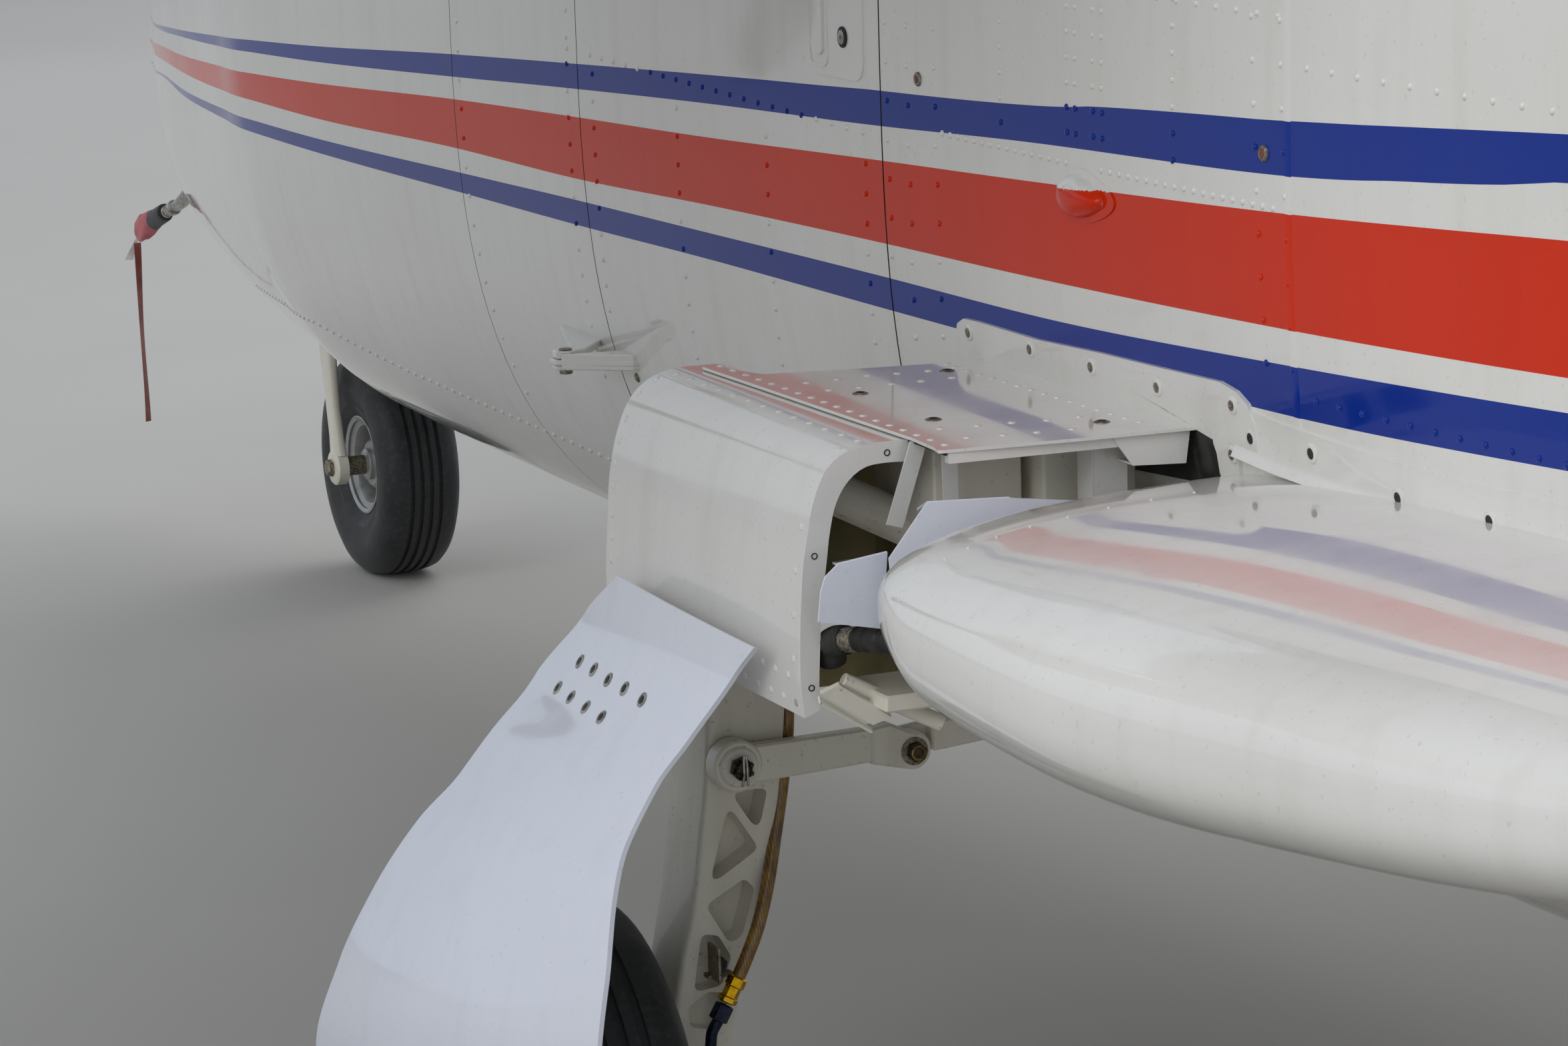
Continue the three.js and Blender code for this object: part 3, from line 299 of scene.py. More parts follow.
PITOT = {"foot": (118, -3992, 545), "knee": (121, -4060, 512), "bend": (122.2, -4102, 498),
         "tip": (123.6, -4205, 468)}
pitot = Form()
mast = curve_through([PITOT["foot"], PITOT["knee"], PITOT["bend"]], 10) + [Vector(PITOT["tip"])]
pitot.add(swept(mast, [13 - 0.45 * k for k in range(11)] + [8.4], 20))
pitot.add(turned([(11, 0), (12.5, 2), (12.5, 9), (11, 11)], PITOT["bend"], (0.01, -1, -0.29), 24))
pitot.add(turned([(9.5, 0), (10.4, 1), (10.4, 4), (9.5, 5)], (122.8, -4140, 486.9), (0.01, -1, -0.29), 24))
make_piece("pitot_probe", pitot, [plated_steel], "airframe", ["pitot_head"])

# Pouch sections: share of the way along, half width, half height, drop, crease
POUCH = [(0.0, 13.4, 14.0, 0, 0), (0.04, 14.6, 15.2, 0, 0.1), (0.28, 14.8, 15.4, 0, 0.1),
         (0.38, 14.6, 17.4, 0, 0.5), (0.54, 13.6, 20.2, -0.6, 1.2), (0.70, 11.4, 21.4, -1.2, 1.7),
         (0.84, 8.6, 19.4, -1.0, 1.8), (0.94, 5.8, 15.0, -0.6, 1.1), (1.0, 2.8, 10.4, 0, 0.4)]
start, end = Vector((122.9, -4153, 484)), Vector((125, -4323.5, 431.4))


def pouch_ring(row):
    """One section of the pouch from a row of its table."""
    share, wide, high, lower, crease = row
    along = (end - start).normalized()
    lift = Vector((1, 0, 0)).cross(along).normalized()
    lift = lift if lift.z > 0 else -lift
    ring = []
    for angle in full_turn(36):
        fold = crease * (math.sin(5 * angle + 9 * share) + 0.5 * math.sin(9 * angle - 14 * share))
        ring.append(start.lerp(end, share) + Vector((1, 0, 0)) * (wide + fold * 0.5) * math.cos(angle)
                    + lift * ((high + fold) * math.sin(angle) + lower))
    return ring


def eased(rows, count):
    """Rows between the rows of a table, on a smooth curve."""
    rows = np.array(rows, float)
    where = np.linspace(rows[0, 0], rows[-1, 0], count)
    return np.column_stack([where, smooth_rows(rows, where)])


def smooth_rows(table, where):
    """A table's other columns at any value of the first, on curves that never overshoot its rows."""
    x, y = table[:, 0], table[:, 1:]
    gap = np.diff(x)[:, None]
    rise = np.diff(y, axis=0) / gap
    before, after = rise[:-1], rise[1:]
    w1, w2 = 2 * gap[1:] + gap[:-1], gap[1:] + 2 * gap[:-1]
    with np.errstate(divide="ignore", invalid="ignore"):
        middle = np.where(before * after > 0, (w1 + w2) / (w1 / before + w2 / after), 0)
    slope = np.vstack([rise[:1], middle, rise[-1:]])
    where = np.clip(np.asarray(where, float), x[0], x[-1])
    k = np.clip(np.searchsorted(x, where) - 1, 0, len(x) - 2)
    h = (x[k + 1] - x[k])[:, None]
    t = (where - x[k])[:, None] / h
    return (y[k] * (1 + 2 * t) * (1 - t) ** 2 + slope[k] * h * t * (1 - t) ** 2
            + y[k + 1] * t * t * (3 - 2 * t) + slope[k + 1] * h * t * t * (t - 1))


pouch_rings = [pouch_ring(row) for row in eased(POUCH, 26)]
CUFF_RINGS = 10
pouch = Form().add(through(pouch_rings[:CUFF_RINGS]), 1)
pouch.add(through(pouch_rings[CUFF_RINGS - 1:]), 0)
cover = make_piece("pitot_pouch", pouch, [pouch_nylon, elastic_cuff], "airframe", ["pitot_cover"],
                   angle=60)
tag = Form().add(through([[(125 + w * (0.5 + s) + 15 * s, -4321 + d - 2 * s, 420 - 34 * s) for w, d in
                           ((-5, -0.4), (-5, 0.4), (5, 0.4), (5, -0.4))] for s in (0, 0.3, 0.7, 1)]))
make_piece("pitot_tag", tag, [tag_nylon], "airframe")


# Fuselage skin
# Riveted aluminium sheet over frames, with a moulded nose, sprayed with glossy white enamel. Two blue
# lines and a red band are painted along each side; the inside is lined.
# y, half width, bottom, widest level, top, lower and upper roundness
FUSELAGE = np.array([
    (-4350, 30, 625, 740, 850, 2.3, 2.2), (-4325, 72, 530, 742, 900, 2.7, 2.2),
    (-4180, 121, 500, 760, 965, 2.9, 2.3), (-3880, 209, 472, 800, 1040, 2.9, 2.3),
    (-3480, 321, 450, 860, 1115, 2.9, 2.4), (-2980, 434, 417, 930, 1185, 2.9, 2.5),
    (-2600, 502, 400, 975, 1240, 2.9, 2.6), (-2380, 540, 388, 1000, 1335, 2.9, 2.6),
    (-1900, 566, 389, 1035, 1580, 2.9, 2.6), (-1480, 579, 391, 1050, 1760, 2.9, 2.6),
    (-1200, 588, 392, 1065, 1840, 2.9, 2.6), (-680, 600, 396, 1080, 1915, 2.9, 2.7),
    (-100, 604, 396, 1090, 1945, 2.9, 2.7), (320, 605, 396, 1100, 1925, 2.9, 2.7),
    (700, 602, 402, 1105, 1850, 2.9, 2.7), (1000, 590, 430, 1110, 1765, 2.8, 2.6),
    (1500, 520, 530, 1120, 1640, 2.6, 2.5), (2200, 390, 700, 1130, 1515, 2.4, 2.4),
    (3000, 235, 880, 1150, 1430, 2.3, 2.3), (3600, 135, 975, 1165, 1385, 2.2, 2.2),
    (4100, 62, 1055, 1180, 1335, 2.1, 2.1), (4300, 26, 1120, 1200, 1285, 2.0, 2.0)], float)
NOSE_CAP = {"from": -4325, "deep": 25}
# y, then the levels of the upper blue line, the red band and the lower blue line, top and bottom of each
STRIPES = np.array([
    (-4300, 790, 788, 752, 748, 716, 713), (-3930, 822, 819, 789, 776, 748, 744),
    (-3700, 842, 839, 810, 793, 768, 764), (-3250, 877, 869, 846, 825, 803, 798),
    (-3000, 896, 887, 861, 837, 812, 803), (-2700, 918, 906, 880, 850, 825, 813),
    (-2350, 944, 929, 902, 868, 842, 826), (-2000, 966, 947, 921, 877, 852, 834),
    (-1480, 1002, 977, 952, 897, 870, 847), (-1100, 1026, 1000, 971, 906, 883, 856),
    (-700, 1050, 1022, 989, 922, 894, 867), (-300, 1072, 1040, 1009, 934, 903, 873),
    (0, 1089, 1056, 1023, 941, 908, 878), (450, 1117, 1075, 1046, 956, 928, 888),
    (840, 1145, 1110, 1071, 974, 949, 907), (1500, 1185, 1145, 1110, 1008, 985, 940),
    (2200, 1225, 1185, 1150, 1055, 1030, 985), (3000, 1260, 1225, 1195, 1115, 1095, 1055),
    (3600, 1280, 1250, 1225, 1160, 1142, 1110), (4100, 1290, 1265, 1245, 1190, 1176, 1150),
    (4300, 1270, 1255, 1240, 1195, 1185, 1165)], float)
# Faces up the side between the stripes' edges, and the finish of each: 0 white, 1 blue, 2 red
BANDS = {"belly": 30, "edges": (2, 2, 3, 2, 2), "roof": 28, "finish": (1, 0, 2, 0, 1)}
LINED, EDGE = 3, 4


def sections_at(y, inset=0.0):
    """Half width, widest level, reach below and above it, and the two roundnesses at each y."""
    y = np.atleast_1d(np.asarray(y, float))
    half, bottom, middle, top, low, high = smooth_rows(FUSELAGE, np.maximum(y, NOSE_CAP["from"])).T
    deep = np.clip((NOSE_CAP["from"] - y) / NOSE_CAP["deep"], 0, 0.9999)
    share = np.sqrt(1 - deep ** 2)
    below, over = (middle - bottom) * share - inset, (top - middle) * share - inset
    return half * share - inset, middle, below, over, low, high


def skin_at(y, angle, inset=0.0):
    """Points on the skin at each y and angle up from the widest level; x is the port side."""
    half, middle, below, over, low, high = sections_at(y, inset)
    s, c = np.sin(angle), np.abs(np.cos(angle))
    n = np.where(s < 0, low, high)
    z = middle + np.where(s < 0, below, over) * np.sign(s) * np.abs(s) ** (2 / n)
    return np.column_stack([half * c ** (2 / n), np.broadcast_to(y, z.shape), z])


def skin_level(points):
    """Above 0 outside the skin, below 0 inside."""
    half, middle, below, over, low, high = sections_at(points[:, 1])
    lift = points[:, 2] - middle
    n = np.where(lift < 0, low, high)
    return np.abs(points[:, 0] / half) ** n + np.abs(lift / np.where(lift < 0, below, over)) ** n - 1


def skin_normals(points):
    """Directions straight out of the skin."""
    step = 0.5
    slope = np.column_stack([skin_level(points + step * axis) - skin_level(points - step * axis)
                             for axis in np.eye(3)])
    return slope / np.maximum(np.linalg.norm(slope, axis=1, keepdims=True), 1e-12)


def on_side(y, z, out=0.0, sign=1):
    """Points on the fuselage side at y and z, and the directions out of it."""
    y, z = np.broadcast_arrays(np.asarray(y, float), np.asarray(z, float))
    y, z = y.ravel(), z.ravel()
    half, middle, below, over, low, high = sections_at(y)
    n = np.where(z < middle, low, high)
    share = np.clip(np.abs((z - middle) / np.where(z < middle, below, over)), 0, 0.99999)
    points = np.column_stack([half * (1 - share ** n) ** (1 / n), y, z])
    normals = skin_normals(points)
    return (points + normals * out) * (sign, 1, 1), normals * (sign, 1, 1)


def side_angles(y):
    """Angles of the ring's points at y, with some exactly at the stripes' edges."""
    dense = np.linspace(-math.pi / 2, math.pi / 2, 801)
    outline = skin_at(np.full(801, y), dense)
    length = np.concatenate([[0], np.cumsum(np.linalg.norm(np.diff(outline, axis=0), axis=1))])
    edges = smooth_rows(STRIPES, [y])[0][::-1]
    stops = [0, *np.interp(edges, outline[:, 2], length), length[-1]]
    counts = (BANDS["belly"], *BANDS["edges"], BANDS["roof"])
    places = [np.linspace(a, b, n, endpoint=False) for a, b, n in zip(stops, stops[1:], counts)]
    return np.interp(np.concatenate([*places, [length[-1]]]), length, dense)


def skin_solid(first, last, inset=0.0, step=32, mark=None):
    """A closed solid of the fuselage from one y to another; the finish is the paint's, or one mark."""
    stations = list(np.linspace(first, last, max(2, int(round((last - first) / step)) + 1)))
    if first <= FUSELAGE[0, 0]:
        cap = [NOSE_CAP["from"] - NOSE_CAP["deep"] * math.sin(a) for a in np.linspace(1.53, 0.2, 7)]
        rest = np.linspace(NOSE_CAP["from"], last, int((last - NOSE_CAP["from"]) / step) + 1)
        stations = [*cap, *rest]
    rings = []
    for y in stations:
        port = skin_at(y, side_angles(max(y, NOSE_CAP["from"])), inset)
        rings.append([*port, *(port[-2:0:-1] * (-1, 1, 1))])
    form = Form().add(through(rings), mark)
    if mark is None:
        side = [0] * BANDS["belly"]
        for count, finish in zip(BANDS["edges"], BANDS["finish"]):
            side += [finish] * count
        side += [0] * BANDS["roof"]
        ends = [0 if first <= FUSELAGE[0, 0] else EDGE, EDGE]
        form.marks = (side + side[::-1]) * (len(stations) - 1) + ends
    return make_piece("blank", form, [], None, loose=True)


def blank(solid, mark=0, sign=1):
    """A solid that is only worked with: a blank to cut, or a cutter."""
    return make_piece("blank", Form().add(solid, mark), [], None, sign=sign, loose=True)


def rectangle(a0, b0, a1, b1):
    """The corners of an upright rectangle."""
    return [(a0, b0), (a1, b0), (a1, b1), (a0, b1)]


def rounded(outline, radius, steps=7):
    """A flat outline with its corners rounded."""
    out = []
    count = len(outline)
    for k, corner in enumerate(outline):
        here = Vector(corner)
        before, after = Vector(outline[k - 1]) - here, Vector(outline[(k + 1) % count]) - here
        half_angle = before.angle(after) / 2
        back = min(radius / math.tan(half_angle), before.length * 0.45, after.length * 0.45)
        a, b = here + before.normalized() * back, here + after.normalized() * back
        for j in range(steps + 1):
            t = j / steps
            out.append(tuple(a * (1 - t) ** 2 + here * 2 * t * (1 - t) + b * t * t))
    return out


def grown(outline, distance):
    """A flat outline moved out by a distance, square to its edges."""
    points = [Vector(p) for p in outline]
    area = sum(a.x * b.y - b.x * a.y for a, b in zip(points, points[1:] + points[:1]))
    way = 1 if area > 0 else -1
    out = []
    for k, point in enumerate(points):
        one = (point - points[k - 1]).normalized()
        two = (points[(k + 1) % len(points)] - point).normalized()
        normal = (Vector((one.y, -one.x)) + Vector((two.y, -two.x))).normalized() * way
        turn_back = max(0.3, normal.dot(Vector((one.y, -one.x)) * way))
        out.append(tuple(point + normal * distance / turn_back))
    return out


def stack(outline, axis, layers):
    """A solid through a flat outline at places along an axis (x 0, y 1, z 2), grown at each by a distance."""
    rings = []
    for place, growth in layers:
        flat = grown(outline, growth) if growth else outline
        rings.append([(*p[:axis], place, *p[axis:]) for p in flat])
    return through(rings)


def slab(outline, axis, *places):
    """A solid with a flat outline, from one place along an axis to the next."""
    return stack(outline, axis, [(place, 0) for place in places])


def plate(outline, axis, low, high, edge=2.0):
    """A thick plate with a flat outline between two places along an axis, its edges broken."""
    return stack(outline, axis, ((low, -edge), (low + edge, 0), (high - edge, 0), (high, -edge)))


def prism(outline, first, last, mark=EDGE):
    """A cutter with an outline in y and z, from one x to another."""
    return blank(slab(outline, 0, first, last), mark)


def carve(item, cutter, how="DIFFERENCE"):
    """Cuts a solid with another, which is used up."""
    cut = item.modifiers.new("cut", "BOOLEAN")
    cut.operation, cut.object, cut.solver = how, cutter, "MANIFOLD"
    mesh = bpy.data.meshes.new_from_object(item.evaluated_get(bpy.context.evaluated_depsgraph_get()))
    item.modifiers.clear()
    item.data = mesh
    bpy.data.objects.remove(cutter)
    return item


def settle(item, name, materials, body, replaces=(), angle=35, skin=True):
    """Gives a carved solid its finishes, true skin normals, its name and its body."""
    mesh = item.data
    mesh.name = item.name = name
    marks = np.empty(len(mesh.polygons), np.int32)
    mesh.polygons.foreach_get("material_index", marks)
    mesh.materials.clear()
    for material in materials:
        mesh.materials.append(material)
    mesh.polygons.foreach_set("material_index", marks)
    mesh.shade_smooth()
    mesh.set_sharp_from_angle(angle=math.radians(angle))
    if skin:
        count = len(mesh.loops)
        corner = np.empty(count, np.int32)
        mesh.loops.foreach_get("vertex_index", corner)
        points = np.empty(len(mesh.vertices) * 3)
        mesh.vertices.foreach_get("co", points)
        normals = skin_normals(points.reshape(-1, 3) * 1000)[corner]
        flat = np.empty(len(mesh.polygons) * 3)
        mesh.polygons.foreach_get("normal", flat)
        size = np.empty(len(mesh.polygons), np.int32)
        mesh.polygons.foreach_get("loop_total", size)
        flat, marks = np.repeat(flat.reshape(-1, 3), size, axis=0), np.repeat(marks, size)
        mesh.normals_split_custom_set(np.where((marks > 2)[:, None], flat, normals).tolist())
    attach(item, body)
    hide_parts(*replaces)
    return item


def enamel(name, colour, soiled, rough=(0.05, 0.13), soil=0.12, shine=0.5):
    """Sprayed polyurethane enamel: glossy with a faint orange peel, dulled and streaked by rain and dust."""
    material = start_material(name, {"IOR": 1.5, "Specular IOR Level": shine, "Coat Weight": 0.7 * shine,
                                     "Coat Roughness": 0.03})
    cloud = patches(material, 420, 0.35, 0.65, 2)
    streak = patches(material, 34, 0.5, 0.8, 4, (1, 1, 0.12))
    speck = patches(material, 5, 0.66, 0.74, 2)
    base = mixed(material, cloud, colour, soiled, soil)
    base = mixed(material, streak, base, soiled, soil)
    base = mixed(material, speck, base, soiled, soil * 2)
    peel = patches(material, 3.2, 0, 1, 2)
    return finish_material(material, base, patches(material, 90), rough, peel, 0.04, 0.08)


white_enamel = enamel("white_polyurethane_enamel", "#E7E5DF", "#A9A294")
blue_enamel = enamel("blue_polyurethane_enamel", "#062E90", "#2A3C7C", soil=0.1, shine=0.18)
red_enamel = enamel("red_polyurethane_enamel", "#D82C00", "#9C2C0C", soil=0.1, shine=0.18)
# Grey vinyl lining with a fine grain, stretched over the inside of the shell
vinyl_lining = start_material("grey_vinyl_lining", {"IOR": 1.5, "Roughness": 0.7})
vinyl_grain = patches(vinyl_lining, 2.5, 0.2, 0.8, kind="TexVoronoi")
finish_material(vinyl_lining, mixed(vinyl_lining, patches(vinyl_lining, 300), "#B9B5AC", "#A19C91"),
                height=vinyl_grain, depth=0.2)
# Black neoprene sealing strip in every edge and joint: matt, dusty where it can be reached
neoprene_seal = simple_material("black_neoprene_seal", {"IOR": 1.52}, 18, ("#141416", "#34332F"),
                                (0.6, 0.85), 1.5)
skin_finishes = [white_enamel, blue_enamel, red_enamel, vinyl_lining, neoprene_seal]

# Side-view outlines in y and z
FRONT_DOOR = rounded(rectangle(-1060, 612, -290, 1692), 60)
REAR_DOOR = rounded(rectangle(-190, 935, 500, 1692), 60)
FRONT_WINDOW = rounded(rectangle(-985, 1285, -370, 1640), 70)
REAR_WINDOW = rounded([(-110, 1285), (425, 1285), (385, 1625), (-110, 1625)], 70)
QUARTER_WINDOW = rounded([(-1740, 1285), (-1130, 1285), (-1130, 1640), (-1285, 1640)], 60)
WINDSCREEN = [(-2592, 1207), (-1962, 1270), (-1351, 1708), (-1298, 2094), (-2592, 2094)]
SKIN = {"nose_seam": -1477, "tail_seam": 950, "gap": 0.8, "wall": 42, "door_gap": 2.6, "door_wall": 32}
NOSE_BAY = {"half": 120, "front": -3640, "back": -2960, "low": 300, "top": 800}
WALL = {"left": (250, 900), "right": (-900, -250)}

nose = skin_solid(-4350, SKIN["nose_seam"] - SKIN["gap"])
carve(nose, skin_solid(-2250, -1300, SKIN["wall"], 60, LINED))
carve(nose, prism(WINDSCREEN, -700, 700))
for side in WALL:
    carve(nose, prism(QUARTER_WINDOW, *WALL[side]))
carve(nose, prism(rectangle(NOSE_BAY["front"], NOSE_BAY["low"], NOSE_BAY["back"], NOSE_BAY["top"]),
                  -NOSE_BAY["half"], NOSE_BAY["half"], LINED))
settle(nose, "nose_moulding", skin_finishes, "airframe", ["nose_section"])

shell = skin_solid(SKIN["nose_seam"] + SKIN["gap"], SKIN["tail_seam"] - SKIN["gap"])
carve(shell, skin_solid(-1600, 905, SKIN["wall"], 60, LINED))
carve(shell, prism(WINDSCREEN, -700, 700))
for outline, side in ((QUARTER_WINDOW, "left"), (QUARTER_WINDOW, "right"), (FRONT_WINDOW, "right"),
                      (REAR_WINDOW, "left"), (grown(FRONT_DOOR, SKIN["door_gap"]), "left"),
                      (grown(REAR_DOOR, SKIN["door_gap"]), "right")):
    carve(shell, prism(outline, *WALL[side]))
settle(shell, "cabin_skin", skin_finishes, "airframe", ["cabin_shell"])

tail = skin_solid(SKIN["tail_seam"] + SKIN["gap"], 4300, step=45)
settle(tail, "tail_skin", skin_finishes, "airframe", ["tail_cone"])


# Doors
# Each door is a pressed skin on a frame of its own, lies flush in its seal, and is painted in one with the
# side. It hangs on two outside hinges at its front edge.
DOORS = (("left", 1, FRONT_DOOR, FRONT_WINDOW, -1060, -290, (704, 1180)),
         ("right", -1, REAR_DOOR, REAR_WINDOW, -190, 500, (1010, 1200)))
DOOR_NAMES = {"left": "door_front_left", "right": "door_rear_right"}
for side, sign, outline, window, front, back, levels in DOORS:
    door = skin_solid(front - 60, back + 60, step=30)
    carve(door, prism(outline, *WALL[side]), "INTERSECT")
    carve(door, skin_solid(front - 200, back + 200, SKIN["door_wall"], 60, LINED))
    carve(door, prism(window, *WALL[side]))
    body = DOOR_NAMES[side]
    settle(door, f"{body}_panel", skin_finishes, body, [body])


# Windows
# Formed acrylic panes, six millimetres thick, lie in the skin's openings behind a black rubber profile
# that is pressed over the edge of the sheet.
acrylic = start_material("formed_acrylic_sheet", {"IOR": 1.49, "Transmission Weight": 0.92})
haze = patches(acrylic, 120, 0.3, 0.8)
finish_material(acrylic, mixed(acrylic, haze, "#DCE8E8", "#C8D4D2"), patches(acrylic, 30), (0.02, 0.08))


def pane(name, outline, sides, body, node, first, last):
    """A curved pane, cut from a thin shell along the skin."""
    glass = skin_solid(first, last, 3, 24, 0)
    carve(glass, skin_solid(first - 60, last + 60, 9, 24, 0))
    carve(glass, prism(outline, *sides, mark=0), "INTERSECT")
    return settle(glass, name, [acrylic], body, [node], skin=False)


def rim_around(outline, inner, outer, out, sign, around=170):
    """A flat strip on the skin along an outline, its inner and outer edges at two distances."""
    loops = []
    for distance, height in ((inner, -4), (inner, out), (outer, out), (outer + 1, -1)):
        path = [Vector(p) for p in grown(outline, distance)]
        path.append(path[0])
        length = np.concatenate([[0], np.cumsum([(b - a).length for a, b in zip(path, path[1:])])])
        at = np.linspace(0, length[-1], around, endpoint=False)
        y, z = (np.interp(at, length, [p[k] for p in path]) for k in (0, 1))
        loops.append(on_side(y, z, height, sign)[0])
    rings = [[loop[k] for loop in loops] for k in range(around)]
    return through([*rings, rings[0]], ends=False)


pane("windscreen_pane", WINDSCREEN, (-700, 700), "airframe", "windscreen", -2640, -1240)
for name, outline, side, body, node, first, last in (
        ("quarter_pane_left", QUARTER_WINDOW, "left", "airframe", "window_quarter_left", -1780, -1090),
        ("quarter_pane_right", QUARTER_WINDOW, "right", "airframe", "window_quarter_right", -1780, -1090),
        ("front_pane_right", FRONT_WINDOW, "right", "airframe", "window_front_right", -1020, -330),
        ("rear_pane_left", REAR_WINDOW, "left", "airframe", "window_rear_left", -150, 460),
        ("front_door_pane", FRONT_WINDOW, "left", "door_front_left", "door_front_left_window", -1020, -330),
        ("rear_door_pane", REAR_WINDOW, "right", "door_rear_right", "door_rear_right_window", -150, 460)):
    pane(name, grown(outline, -0.6), WALL[side], body, node, first, last)
fixed_windows = ((QUARTER_WINDOW, 1), (QUARTER_WINDOW, -1), (FRONT_WINDOW, -1), (REAR_WINDOW, 1))
for name, body, pairs in (("window_rubber", "airframe", fixed_windows),
                          ("front_door_window_rubber", "door_front_left", ((FRONT_WINDOW, 1),)),
                          ("rear_door_window_rubber", "door_rear_right", ((REAR_WINDOW, -1),))):
    rubber = Form()
    for outline, sign in pairs:
        rubber.add(rim_around(outline, -7, 7, 1.6, sign))
    make_piece(name, rubber, [neoprene_seal], body, angle=50)


# Rivets, laps and plates of the side
# Domed aluminium rivets join the skin to its frames and stringers, sheet laps over sheet, and all of it is
# painted over. Small plates, plugs and a blister are screwed or riveted on.
def heads(points, normals, radius, height, steps=8):
    """Low domed heads that stand on points, as one set of points and faces."""
    points, normals = np.asarray(points, float), np.asarray(normals, float)
    side = np.cross(normals, (0.12, 0.35, 0.93))
    side /= np.linalg.norm(side, axis=1, keepdims=True)
    other = np.cross(normals, side)
    angles = np.arange(steps) * 2 * math.pi / steps
    around = side[:, None] * np.cos(angles)[:, None] + other[:, None] * np.sin(angles)[:, None]
    out = []
    for share, lift in ((1.0, -0.3), (0.86, 0.55), (0.5, 0.9)):
        out.append(points[:, None] + around * radius * share + normals[:, None] * height * lift)
    out.append(points[:, None] + normals[:, None] * height)
    cloud = np.concatenate(out, axis=1)
    one = []
    for k in range(steps):
        j = (k + 1) % steps
        one += [(k, j, steps + j, steps + k), (steps + k, steps + j, 2 * steps + j, 2 * steps + k),
                (2 * steps + k, 2 * steps + j, 3 * steps)]
    total = cloud.shape[1]
    faces = [tuple(n * total + i for i in face) for n in range(len(points)) for face in one]
    return cloud.reshape(-1, 3), faces


def along_row(corners, pitch):
    """Evenly spaced places on a line through corners in y and z."""
    corners = np.array(corners, float)
    length = np.concatenate([[0], np.cumsum(np.linalg.norm(np.diff(corners, axis=0), axis=1))])
    at = np.linspace(0, length[-1], int(round(length[-1] / pitch)) + 1)
    return np.column_stack([np.interp(at, length, corners[:, k]) for k in (0, 1)])


def paint_at(y, z):
    """The finish of the side at y and z: 0 white, 1 blue, 2 red."""
    edges = smooth_rows(STRIPES, y)
    blue = ((z < edges[:, 0]) & (z > edges[:, 1])) | ((z < edges[:, 4]) & (z > edges[:, 5]))
    red = (z < edges[:, 2]) & (z > edges[:, 3])
    return np.where(blue, 1, np.where(red, 2, 0))


# Rivet rows on the side: pitch, then corners in y and z
RIVET_ROWS = [(28.6, [(-1082, 1250), (-1102, 870), (-1124, 690)]),
              (28.6, [(-1018, 1022), (-1027, 865), (-1060, 690)]),
              (28.6, [(-781, 1010), (-793, 862), (-816, 700)]),
              (28.6, [(-555, 1005), (-565, 863), (-590, 700)]),
              (28.6, [(-327, 1003), (-337, 862), (-352, 700)]),
              (34.5, [(-275, 1240), (-276, 962), (-290, 820)]),
              (34.5, [(-231, 1240), (-232, 962), (-250, 820)]),
              (34.5, [(-174, 1240), (-175, 962), (-190, 830)]), (21, [(-39, 1240), (-44, 1068)]),
              (20.6, [(87, 1240), (82, 1072)]), (20.6, [(102, 1240), (97, 1072)]),
              (20.6, [(134, 1240), (129, 1073)]), (20.6, [(150, 1240), (145, 1073)]),
              (21, [(272, 1240), (268, 1068)]), (33, [(396, 1260), (405, 1049), (410, 925)]),
              (33, [(440, 1260), (449, 1050), (451, 925)]), (34.2, [(-1091, 1042), (-712, 1037),
                                                                    (-330, 1031)]),
              (16, [(-160, 1047), (80, 1047)]), (16, [(143, 1047), (430, 1048)]),
              (32, [(180, 1195), (440, 1196)]), (38, [(484, 1160), (930, 1159)]),
              (34, [(484, 905), (930, 912)]), (29, [(-2900, 545), (-2348, 577), (-1977, 567), (-1365, 570),
                                                    (-290, 566)]),
              (34, [(-1090, 1710), (-240, 1712), (480, 1706)]), (34, [(-250, 560), (930, 590)]),
              (34, [(-1060, 590), (-290, 588)]), (34, [(520, 1250), (930, 1250)]),
              (30, [(-1450, 1700), (-1450, 1250)]), (33, [(-1452, 1235), (-1455, 620)]),
              (34, [(930, 1660), (930, 560)]), (34, [(724, 860), (725, 560)]),
              (34, [(-60, 1680), (-60, 1260)]), (34, [(-230, 1680), (-230, 1260)]),
              (36, [(968, 1630), (968, 520)]), (36, [(1268, 1560), (1268, 545)]),
              (36, [(1300, 1560), (1300, 545)]), (36, [(1600, 1520), (1600, 610)]),
              (36, [(1905, 1480), (1905, 680)]), (36, [(1937, 1480), (1937, 680)]),
              (36, [(2300, 1430), (2300, 760)]), (36, [(2700, 1410), (2700, 860)]),
              (36, [(2732, 1410), (2732, 860)]), (36, [(3150, 1370), (3150, 950)]),
              (36, [(3560, 1350), (3560, 1010)]), (34, [(960, 1395), (3560, 1290)]),
              (34, [(960, 775), (2200, 900), (3560, 1080)])]
RIVET = {"radius": 3.1, "height": 2.0, "faces": 24}
places = np.concatenate([along_row(corners, pitch) for pitch, corners in RIVET_ROWS])
